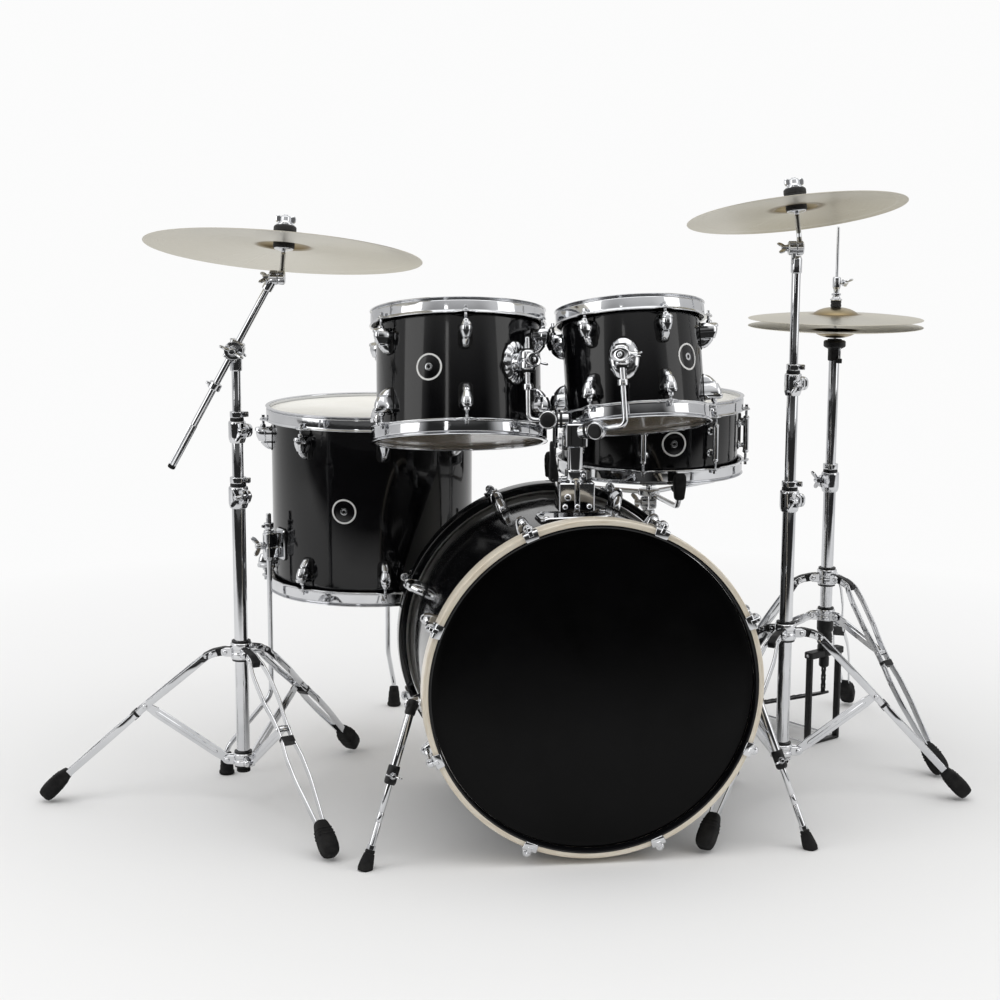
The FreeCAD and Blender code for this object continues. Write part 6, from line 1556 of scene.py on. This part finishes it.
def make_boom_stand():
    stand = STANDS["boom"]
    at = stand_at("boom")
    lower = stand["lower"]
    metal, black, rubber = Form(), Form(), Form()
    hub_ring(metal, black, stand, lower, 4.0, at, 24.0, 19.5)
    tube_form(metal, LOWER_TUBE, LOWER_BORE, lower - TUBE_BELOW, 613.0, at)
    height_clamp(metal, black, 616.0, LOWER_TUBE, MID_TUBE, -50.0, at)
    end_plug(rubber, lower - PLUG_BELOW, at)
    shown("boom_base_metal", metal, "chrome", "kit", ["boom_base_tube"])
    shown("boom_base_inserts", black, "black_metal", "kit")
    shown("boom_base_plug", rubber, "rubber", "kit")
    metal, black = Form(), Form()
    hub_ring(metal, black, stand, stand["hub"], 7.0, at)
    bolt = at @ offset(19.0, 0, stand["hub"] + 2.0) @ TO_RIGHT
    metal.lathe([(0, 0), (6.0, 0), (4.2, 4.0), (4.2, 12.0), (0, 12.0)], bolt, 24, 0.6)
    wing_nut(metal, bolt @ raised(8.0) @ spun(40.0), 0.85)
    shown("boom_collar_casting", metal, "chrome", "boom_collar", ["boom_collar"])
    shown("boom_collar_rings", black, "black_metal", "boom_collar")
    leg_metal, leg_black, leg_rubber = leg_forms(stand)
    brace = brace_form(stand)
    for index, azimuth in enumerate(stand["azimuths"], 1):
        turned = at @ spun(azimuth)
        leg, link = "boom_leg_%d" % index, "boom_brace_%d" % index
        shown(leg + "_strands", Form().join(leg_metal, turned), "chrome", leg, [leg])
        shown(leg + "_link", Form().join(leg_black, turned), "black_metal", leg)
        shown(leg + "_foot", Form().join(leg_rubber, turned), "rubber", leg)
        shown(link + "_bar", Form().join(brace, turned), "chrome", link, [link])
    middle_tube("boom_mid", 356.0, 739.0, -25.0, at)
    pivot = joint_at("boom_arm_tilt") + Y * 21.0
    metal = Form()
    tube_form(metal, TOP_TUBE, TOP_BORE, 539.0, pivot.z - 14.0, at)
    metal.lathe([(0, pivot.z - 40.0), (10.6, pivot.z - 40.0), (11.4, pivot.z - 38.0),
                 (11.4, pivot.z - 14.0), (9.0, pivot.z - 8.0), (0, pivot.z - 8.0)], at, 44, 1.0)
    disc = Matrix.Translation(pivot + Y * 12.0) @ TO_FRONT
    ratchet(metal, disc, 20.6, 32, 17.0)
    nut = Matrix.Translation(pivot + Y * 12.0) @ TO_BACK
    metal.lathe([(0, 0), (5.0, 0), (4.4, 8.0), (4.4, 12.0), (0, 12.0)], nut, 24, 0.6)
    wing_nut(metal, nut @ raised(6.0) @ spun(50.0), 1.05)
    shown("boom_top_metal", metal, "chrome", "boom_top_tube", ["boom_top_tube"])
    middle_point = joint_at("boom_arm_tilt")
    lean = math.radians(BOOM_LEAN)
    along = Vector((math.sin(lean), 0, math.cos(lean)))
    tilter = joint_at("ride_tilter_tilt")
    high = middle_point + along * BOOM_HIGH
    low = middle_point + along * BOOM_LOW
    metal, black = Form(), Form()
    metal.bar(low + along * BOOM_GRIP, high, 6.3, 36, 0.6)
    grip = seat(low, along)
    metal.knurl(6.9, 2.0, 92.0, 26, 0.45, grip)
    black.lathe([(0, -0.6), (5.6, -0.6), (7.2, 1.2), (7.2, 7.0), (0, 7.0)], grip, 32, 0.7)
    lock = seat(middle_point + along * BOOM_LOCK_AT, along)
    metal.lathe([(6.3, 0), (11.4, 0), (12.0, 1.0), (12.0, 12.0), (11.4, 13.0), (6.3, 13.0)], lock, 40,
                0.8)
    key = lock @ spun(200.0) @ offset(11.0, 0, 6.5) @ TO_RIGHT
    metal.plate(5.4, 5.4, 0.0, 7.0, key, 0.7, 0.7)
    block = Matrix.Translation(middle_point) @ Matrix.Rotation(lean, 4, "Y")
    metal.slab(oblong(27.0, 22.0, 6.0, 4), -19.0, 19.0, 1.8, block)
    metal.lathe([(0, -11.4), (17.0, -11.4), (17.4, -9.0), (17.4, -3.0), (15.0, 0.0), (0, 0.0)],
                Matrix.Translation(middle_point) @ TO_FRONT @ Matrix.Diagonal((1, 1, -1, 1)), 56, 0.9)
    bolt = Matrix.Translation(middle_point - Y * 9.0) @ TO_FRONT
    metal.lathe([(0, 0), (9.0, 0), (9.0, 4.0), (5.6, 7.0), (4.4, 15.0), (0, 15.0)], bolt, 36, 0.8)
    wing_nut(metal, bolt @ raised(10.0) @ spun(-28.0), 1.15)
    ratchet_fixed(metal, tilter)
    metal.lathe([(0, -26.0), (9.4, -26.0), (9.8, -24.0), (9.8, 2.0), (0, 2.0)], seat(high, along), 36,
                1.0)
    shown("boom_arm_metal", metal, "chrome", "boom_arm", ["boom_arm"])
    shown("boom_arm_cap", black, "rubber", "boom_arm")
    cymbal_top("boom_tilter", tilter, joint_axis("ride_spin"), RIDE_HUB_AT, "boom_tilter")
    make_cymbal("ride", RIDE_RADIUS, RIDE_RISE, RIDE_HUB_AT)


def fixed_base(name, prefix, node, tube_high, clamp_azimuth):
    """Base of a stand whose tripod does not fold."""
    lower = STANDS[name]["lower"]
    metal, black, rubber = fixed_tripod_pieces(name, lower - TUBE_BELOW, tube_high, clamp_azimuth)
    end_plug(rubber, lower - PLUG_BELOW, stand_at(name))
    shown(prefix + "_metal", metal, "chrome", "kit", [node])
    shown(prefix + "_links", black, "black_metal", "kit")
    shown(prefix + "_feet", rubber, "rubber", "kit")


def make_straight_stand():
    at = stand_at("straight")
    fixed_base("straight", "straight_base", "straight_stand_base", 608.0, -45.0)
    middle_tube("straight_mid", 348.0, 828.0, -40.0, at)
    pivot = joint_at("crash_tilter_tilt")
    metal = Form()
    tube_form(metal, TOP_TUBE, TOP_BORE, 588.0, pivot.z - 19.0, at)
    metal.lathe([(0, pivot.z - 46.0), (9.6, pivot.z - 46.0), (10.2, pivot.z - 44.0),
                 (10.2, pivot.z - 20.0), (8.0, pivot.z - 14.0), (0, pivot.z - 14.0)], at, 44, 1.0)
    web = soften([(-9.5, -30.0), (-2.0, -30.0), (-2.0, -4.0), (-9.5, -4.0)], 1.4, 3)
    metal.slab(web, -8.0, 8.0, 1.4, Matrix.Translation(pivot) @ TO_FRONT)
    ratchet_fixed(metal, pivot)
    shown("straight_top_metal", metal, "chrome", "straight_top_tube", ["straight_top_tube"])
    cymbal_top("straight_tilter", pivot, joint_axis("crash_spin"), CRASH_HUB_AT, "straight_tilter")
    make_cymbal("crash", CRASH_RADIUS, CRASH_RISE, CRASH_HUB_AT)


# Height of the snare basket's hub, and its arms: where they point and how far out they rise
BASKET_HUB = 540.0
BASKET_AZIMUTHS = (-78.5, 41.5, 161.5)
BASKET_OUT = 214.0
# Height, width, depth and distance out of the rubber grip on an arm
BASKET_GRIP = ((566.0, 14.0, 12.0, BASKET_OUT), (569.0, 19.0, 15.0, BASKET_OUT),
               (590.0, 24.0, 17.0, 214.2), (604.0, 25.0, 17.0, 214.4), (612.0, 24.0, 15.0, 214.6),
               (616.0, 20.0, 9.0, 215.6), (618.0, 16.0, 6.0, 216.2))


def make_snare_stand():
    at = stand_at("snare_stand")
    fixed_base("snare_stand", "snare_stand", "snare_stand_base", 400.0, 20.0)
    metal = Form()
    hub = BASKET_HUB
    tube_form(metal, MID_TUBE, MID_BORE, 200.0, hub - 34.0, at)
    metal.lathe([(0, hub - 44.0), (12.4, hub - 44.0), (13.0, hub - 42.0), (13.0, hub - 32.0),
                 (12.0, hub - 30.0), (0, hub - 30.0)], at, 44, 0.9)
    web = soften([(-12.5, -46.0), (-2.0, -46.0), (-2.0, -16.0), (-12.5, -16.0)], 1.6, 3)
    metal.slab(web, -8.0, 8.0, 1.6, at @ raised(hub) @ TO_FRONT)
    side = at @ raised(hub - 16.0) @ TO_LEFT
    ratchet(metal, side @ raised(1.0), 15.5, 28, 12.4)
    metal.cylinder(4.2, 15.0, 26.0, side, 24, 0.5)
    wing_nut(metal, side @ raised(17.0) @ spun(30.0), 0.95)
    shown("snare_post_metal", metal, "chrome", "snare_post", ["snare_stand_post"])
    metal, rubber = Form(), Form()
    side = at @ raised(hub - 16.0) @ TO_RIGHT
    ratchet(metal, side @ raised(0.4), 15.5, 28, 12.4)
    metal.slab(oblong(13.0, 15.0, 3.0, 4, at=(8.0, 0)), -16.0, 2.0, 1.4, at @ raised(hub))
    metal.lathe([(0, hub - 0.5), (20.0, hub - 0.5), (22.4, hub + 1.6), (22.4, hub + 11.0),
                 (20.0, hub + 13.0), (0, hub + 13.0)], at, 56, 0.9)
    metal.cylinder(6.0, hub + 12.0, hub + 24.0, at, 28, 0.6)
    grip = at @ raised(hub + 20.0)
    metal.knurl(15.0, 0.0, 9.0, 18, 0.9, grip)
    for azimuth in BASKET_AZIMUTHS:
        turned = at @ spun(azimuth)
        points = [(14.0, 0, hub + 6.0), (BASKET_OUT - 14.0, 0, hub + 10.0),
                  (BASKET_OUT, 0, hub + 28.0), (BASKET_OUT, 0, hub + 66.0)]
        metal.sweep(soften(points, 16.0, 8, closed=False), oblong(9.4, 9.4, 3.4, 4), side=Y, at=turned)
        sleeve = [[Vector((out + p.x, p.y, z)) for p in oblong(deep * 0.86, wide, 3.6, 4)]
                  for z, wide, deep, out in BASKET_GRIP]
        rubber.loft(sleeve, turned)
        rest = [(210.0, 0, 583.0), (196.0, 0, 584.0), (183.0, 0, 585.0)]
        rubber.sweep(rest, oblong(20.0, 9.6, 4.0, 4), side=Y, scales=[(1, 1), (1, 0.95), (0.8, 0.8)],
                     at=turned)
    shown("snare_basket_arms", metal, "chrome", "snare", ["snare_basket"])
    shown("snare_basket_grips", rubber, "rubber", "snare")


# ---------------------------------------------------------------- hi-hat

PEDAL_AZIMUTH = 129.7
PEDAL_LENGTH, PEDAL_PIN_Z = 250.0, 20.0
YOKE_Z = 202.0
BOARD_RIBS, BOARD_RIB_FROM, BOARD_RIB_GAP, BOARD_RIB_WIDE = 9, 34.0, 22.0, 52.0
CHAIN_PITCH = 9.0


def chain(form, start, end, at):
    """Double-row roller chain between two points."""
    length = (end - start).length
    count = max(2, int(length / CHAIN_PITCH))
    step = length / count
    along = (end - start).normalized()
    place = at @ seat(start, along)
    outline = soften([(-3.6, -4.4), (3.6, -4.4), (2.6, 0), (3.6, 4.4), (-3.6, 4.4), (-2.6, 0)], 1.6, 3)
    for index in range(count):
        link = place @ raised(step * (index + 0.5))
        shift = 0.0 if index % 2 else 0.9
        for side in (-1, 1):
            plate = link @ offset(0, side * (3.0 + shift), 0) @ TO_FRONT
            tall = Matrix.Diagonal((1, 1.28, 1, 1))
            form.slab(outline, -0.6, 0.6, 0.25, plate @ tall)
        for z in (-step / 2, step / 2):
            pin = link @ raised(z) @ TO_FRONT
            form.cylinder(1.9, -4.8, 4.8, pin, 12, 0.3)


def make_hihat():
    at = stand_at("hihat")
    metal, black, rubber = fixed_tripod_pieces("hihat", 262.0, 584.0, -140.0)
    pedal = at @ spun(PEDAL_AZIMUTH)
    black.lathe([(6.4, YOKE_Z - 14.0), (12.0, YOKE_Z - 14.0), (15.0, YOKE_Z - 10.0),
                 (15.0, YOKE_Z + 8.0), (13.2, YOKE_Z + 11.0), (15.2, YOKE_Z + 14.0), (15.2, 236.0),
                 (13.8, 239.0), (16.4, 243.0), (17.4, 246.0), (17.4, 268.0), (15.4, 271.0),
                 (6.4, 271.0)], at, 52, 1.2)
    for z in (218.0, 224.0, 230.0):
        black.lathe([(15.0, z - 1.2), (16.0, z - 1.0), (16.0, z + 1.0), (15.0, z + 1.2)], at, 52, 0.4)
    black.slab(oblong(22.0, 104.0, 5.0, 4), YOKE_Z - 14.0, YOKE_Z, 1.6, pedal)
    for side in (-1, 1):
        y = side * 45.0
        black.slab(oblong(14.0, 8.6, 2.4, 4, at=(0, y)), 0.6, YOKE_Z - 4.0, 1.2, pedal)
        outward = Matrix.Rotation(-side * math.pi / 2, 4, "X")
        bolt = pedal @ offset(0, side * 49.2, YOKE_Z - 7.0) @ outward
        screw_head(metal, bolt, 4.6)
        wire = [(-2.0, y, 4.5), (PEDAL_LENGTH * 0.5, y, 4.6), (PEDAL_LENGTH + 6.0, y, 4.6)]
        metal.sweep(wire, circle(2.3, 14), side=Y, at=pedal)
    black.slab(oblong(14.0, 92.0, 3.0, 4), 0.3, 6.2, 1.2, pedal)
    black.slab(oblong(54.0, 94.0, 8.0, 5, at=(PEDAL_LENGTH + 19.0, 0)), 0.3, 6.4, 1.6, pedal)
    rubber.slab(oblong(50.0, 90.0, 7.0, 5, at=(PEDAL_LENGTH + 19.0, 0)), 0.0, 1.0, 0.2, pedal)
    for side in (-1, 1):
        cheek = soften([(-8.0, 4.0), (8.0, 4.0), (6.4, 22.0), (0.0, 27.0), (-6.4, 22.0)], 3.0, 4)
        place = pedal @ offset(PEDAL_LENGTH, side * 40.0, 0) @ TO_FRONT
        black.slab(cheek, -2.6, 2.6, 0.9, place)
    pin = pedal @ offset(PEDAL_LENGTH, 0, PEDAL_PIN_Z) @ TO_FRONT
    metal.lathe(even([(0, -45.5), (4.6, -45.5), (4.6, -43.0), (2.9, -42.8)]), pin, 24, 0.4)
    shown("hihat_base_metal", metal, "chrome", "kit", ["hihat_stand_base"])
    shown("hihat_base_frame", black, "black_metal", "kit")
    shown("hihat_base_feet", rubber, "rubber", "kit")

    metal, black, felt = Form(), Form(), Form()
    tube_form(metal, MID_TUBE, MID_BORE, 480.0, 839.0, at)
    black.lathe([(6.4, 812.0), (12.6, 812.0), (13.2, 814.0), (13.2, 836.0), (21.0, 840.0),
                 (22.6, 842.0), (22.6, 851.0), (20.4, 853.6), (17.0, 850.6), (6.4, 850.6)], at, 56, 1.0)
    screw = at @ spun(-62.0) @ offset(17.4, 0, 812.0)
    metal.cylinder(2.0, 4.0, 30.0, screw, 18, 0.3)
    black.knurl(5.4, -4.0, 5.0, 14, 0.6, screw)
    seat_top = HAT_BOTTOM_Z - sum(HAT_RISE) - 2.4
    felt.lathe([(6.4, 850.6), (15.4, 850.6), (15.8, 852.0), (14.4, seat_top - 0.4), (6.4, seat_top)],
               at, 44, 1.0)
    shown("hihat_upper_metal", metal, "chrome", "hihat_upper_tube", ["hihat_upper_tube"])
    shown("hihat_seat_cup", black, "black_metal", "hihat_upper_tube")
    shown("hihat_seat_felt", felt, "felt", "hihat_upper_tube")

    hats = (("hihat_bottom", raised(HAT_BOTTOM_Z) @ OVER),
            ("hihat_top", raised(HAT_TOP_Z) @ spun(37.0)))
    for body, place in hats:
        disc = cymbal_form(HAT_RADIUS, HAT_RISE[0], HAT_RADIUS * HAT_BELL_SHARE, HAT_RISE[1])
        shown(body + "_disc", disc, "bronze", body, [body + "_cymbal"], at @ place, angle=CYMBAL_SHARP)

    crown = HAT_TOP_Z + sum(HAT_RISE)
    metal, felt, black = Form(), Form(), Form()
    metal.lathe([(0, 186.0), (2.9, 186.0), (2.9, 1083.0), (2.2, 1085.0), (0, 1085.0)], at, 24, 0.5)
    metal.sleeve(2.9, 8.8, crown - 17.0, crown - 11.0, at, 6, 0.8)
    metal.sleeve(2.9, 4.9, crown - 12.0, crown + 16.0, at, 28, 0.4)
    metal.lathe([(2.9, crown + 14.2), (12.0, crown + 14.2), (12.4, crown + 16.6), (9.0, crown + 18.4),
                 (8.0, crown + 21.0), (6.4, crown + 23.0), (5.4, crown + 30.0), (6.6, crown + 38.0),
                 (8.2, crown + 41.0), (8.2, crown + 60.0), (7.0, crown + 62.0), (2.9, crown + 62.0)],
                at, 44, 0.7)
    metal.lathe([(2.9, crown + 23.6), (9.6, crown + 24.4), (9.6, crown + 28.4), (2.9, crown + 29.2)],
                at, 6, 0.6)
    screw = at @ spun(20.0) @ offset(6.0, 0, crown + 50.0) @ TO_RIGHT
    metal.lathe([(0, 0), (5.0, 0), (3.4, 3.0), (3.0, 12.0), (0, 12.0)], screw, 24, 0.5)
    wing_nut(metal, screw @ raised(9.0) @ spun(62.0), 0.8)
    felt.lathe([(5.0, crown + 0.5), (10.2, crown + 0.5), (11.0, crown + 2.0), (11.0, crown + 5.8),
                (10.2, crown + 7.0), (5.0, crown + 7.0)], at, 40, 1.2)
    felt.lathe([(5.0, crown + 7.3), (10.0, crown + 7.3), (10.8, crown + 8.6), (10.8, crown + 12.6),
                (10.0, crown + 13.8), (5.0, crown + 13.8)], at, 40, 1.2)
    chain(black, Vector((0, 0, 116.0)), Vector((0, 0, 184.0)), pedal)
    black.lathe([(0, 164.0), (8.0, 164.0), (10.6, 167.0), (10.6, 184.0), (7.0, 190.0), (5.0, 196.0),
                 (0, 196.0)], at, 32, 0.9)
    shown("hihat_rod_metal", metal, "chrome", "hihat_rod", ["hihat_pull_rod"])
    shown("hihat_rod_chain", black, "black_metal", "hihat_rod")
    shown("hihat_clutch_felts", felt, "felt", "hihat_rod")

    board, ribs = Form(), Form()
    heel, toe = Vector((PEDAL_LENGTH + 7.0, 0, 17.5)), Vector((-8.0, 0, 109.0))
    along = (toe - heel).normalized()
    rise = along.cross(Y)
    rise = rise if rise.z > 0 else -rise
    length = (toe - heel).length
    outline = soften(even([(-2.0, -33.0), (30.0, -36.0), (length * 0.55, -37.0),
                           (length * 0.85, -31.0), (length - 8.0, -19.0), (length, -9.0)]), 9.0, 5)
    across = Y if along.cross(Y).z > 0 else -Y
    lie = Matrix((along, across, rise)).transposed().to_4x4()
    board_at = pedal @ Matrix.Translation(heel) @ lie
    board.slab(outline, -2.6, 2.6, 1.2, board_at)
    for index in range(BOARD_RIBS):
        x = BOARD_RIB_FROM + index * BOARD_RIB_GAP
        wide = BOARD_RIB_WIDE - max(0.0, x - length * 0.6) * 0.28
        ribs.slab(oblong(9.0, wide, 4.0, 4, at=(x, 0)), 2.2, 4.0, 0.8, board_at)
    pin = pedal @ offset(PEDAL_LENGTH, 0, PEDAL_PIN_Z) @ TO_FRONT
    board.sleeve(3.2, 6.4, -35.6, 35.6, pin, 28, 0.8)
    ring = pedal @ raised(113.5) @ TO_FRONT
    eye = soften([(-6.0, -6.0), (6.0, -6.0), (4.0, 4.0), (-4.0, 4.0)], 2.0, 3)
    board.slab(eye, -2.0, 2.0, 0.7, ring)
    shown("hihat_footboard_plate", board, "black_metal", "hihat_pedal", ["hihat_footboard"])
    shown("hihat_footboard_ribs", ribs, "rubber", "hihat_pedal")


# ---------------------------------------------------------------- studio

# Brightness of the backdrop the camera sees
PALE = 0.97
FLOOR_SIZE, FLOOR_DROP = 40.0, 0.0005
# Painted shade and painted reflection: the floor's base colour is black from this far in front of the
# middle, towards the viewer, and fades to pale a metre nearer the kit. It stands in for a dark room
# that the fronts of the drums and hardware reflect and get no bounce light from. Beyond
# FLOOR_PALE_FROM, camera rays see the pale glow instead.
FLOOR_PAINTED_SHADE_FROM = 2.3
FLOOR_PALE_FROM = 2.4
# Greys by height over the horizon, mirrored from the viewer's side and from everywhere else, and
# the part of the way to the viewer between which one gives over to the other
FRONT_SKY = ((0.0, 0.12), (0.05, 0.03), (0.22, 0.03), (0.36, 0.22), (0.55, 0.70), (1.0, 1.0))
AROUND_SKY = ((0.0, 0.62), (0.20, 0.70), (0.50, 0.85), (1.0, 1.0))
FRONT_FULL, FRONT_GONE = -0.78, -0.52
# Name, place and aim in metres, width, height, watts
PANELS = (
    ("key_left", (-4.2, -2.0, 2.2), (0, 0, 0.6), 2.4, 3.4, 40),
    ("key_right", (4.2, -1.6, 2.2), (0, 0, 0.6), 2.0, 3.4, 26),
    ("top", (0, -0.6, 4.6), (0, 0, 0), 5.0, 4.0, 60),
    ("strip_front", (-1.6, -5.6, 2.6), (0, 0, 0.6), 0.4, 2.4, 8),
)
# Place in metres, tilt below the horizon in degrees, roll in radians, lens and sensor in millimetres
CAMERA_AT = (-0.017, -3.714, 1.1982)
CAMERA_DOWN, CAMERA_ROLL = 9.77, 0.0042
CAMERA_LENS, CAMERA_SENSOR = 69.3, 36.0


def make_studio():
    bpy.ops.mesh.primitive_plane_add(size=1.0)
    floor = bpy.context.object
    floor.name = "studio_floor"
    floor.scale = (FLOOR_SIZE, FLOOR_SIZE, 1)
    floor.location = (0, 0, -FLOOR_DROP)
    look = Look("studio_floor", (0.80, 0.80, 0.80), 0.9, Specular_IOR_Level=0.0)
    across = look.node("SeparateXYZ", {"Vector": look.place}).outputs["Y"]
    depth = look.math("ADD", look.math("MULTIPLY", across, FLOOR_SIZE), FLOOR_PAINTED_SHADE_FROM)
    # Painted shade and painted reflection: the base colour turns black towards the viewer, so the kit's
    # fronts reflect dark and are lit less from below.
    look.colour(look.ramp(depth, (0.0, 0.03), (1.0, 0.80)))
    reach = look.math("MULTIPLY", look.cylinder()[1], FLOOR_SIZE / FLOOR_PALE_FROM)
    far = look.ramp(reach, (0.4, 0.0), (1.0, 1.0))
    seen = look.math("MULTIPLY", look.node("LightPath").outputs["Is Camera Ray"], far)
    glow = look.node("Emission", {"Color": (PALE, PALE, PALE, 1)}).outputs["Emission"]
    both = look.node("MixShader", {0: seen, 1: look.shader.outputs["BSDF"], 2: glow}).outputs["Shader"]
    look.tree.links.new(both, look.tree.nodes["Material Output"].inputs["Surface"])
    floor.data.materials.append(look.material)

    world = bpy.data.worlds.new("studio")
    bpy.context.scene.world = world
    world.use_nodes = True
    world.node_tree.nodes.clear()
    sky = Nodes(world.node_tree)
    way = sky.node("SeparateXYZ", {"Vector": sky.node("TexCoord").outputs["Generated"]}).outputs
    side = sky.node("MapRange", {"Value": way["Y"], "From Min": FRONT_FULL, "From Max": FRONT_GONE},
                    interpolation_type="SMOOTHSTEP").outputs["Result"]
    front, around = sky.ramp(way["Z"], *FRONT_SKY), sky.ramp(way["Z"], *AROUND_SKY)
    both = sky.node("MixRGB", {"Fac": side, "Color1": front, "Color2": around}).outputs["Color"]
    light = sky.node("Background", {"Color": both}).outputs["Background"]
    pale = sky.node("Background", {"Color": (PALE, PALE, PALE, 1)}).outputs["Background"]
    seen = sky.node("LightPath").outputs["Is Camera Ray"]
    mix = sky.node("MixShader", {0: seen, 1: light, 2: pale}).outputs["Shader"]
    sky.node("OutputWorld", {"Surface": mix})

    def panel(name, at, target, wide, tall, power):
        lamp = bpy.data.lights.new(name, "AREA")
        lamp.shape = "RECTANGLE"
        lamp.size, lamp.size_y = wide, tall
        lamp.energy = power
        lamp.color = (1.0, 0.995, 0.985)
        holder = bpy.data.objects.new(name, lamp)
        holder.location = at
        aim = Vector(target) - Vector(at)
        holder.rotation_mode = "QUATERNION"
        holder.rotation_quaternion = aim.to_track_quat("-Z", "Y")
        bpy.context.scene.collection.objects.link(holder)

    for values in PANELS:
        panel(*values)
    bpy.context.scene.view_settings.view_transform = "Standard"
    bpy.context.scene.view_settings.look = "None"


def make_camera():
    camera = bpy.data.cameras.new("camera")
    holder = bpy.data.objects.new("camera", camera)
    bpy.context.scene.collection.objects.link(holder)
    camera.lens = CAMERA_LENS
    camera.sensor_width = CAMERA_SENSOR
    holder.location = CAMERA_AT
    tilt = Matrix.Rotation(math.radians(90.0 - CAMERA_DOWN), 4, "X")
    look = tilt @ Matrix.Rotation(CAMERA_ROLL, 4, "Z")
    holder.rotation_euler = look.to_euler()
    bpy.context.scene.camera = holder


make_bass()
make_base_clamp()
make_spurs()
make_tom_post()
make_tom_arms()
make_toms()
make_floor_tom()
make_snare()
make_boom_stand()
make_straight_stand()
make_snare_stand()
make_hihat()
make_studio()
make_camera()
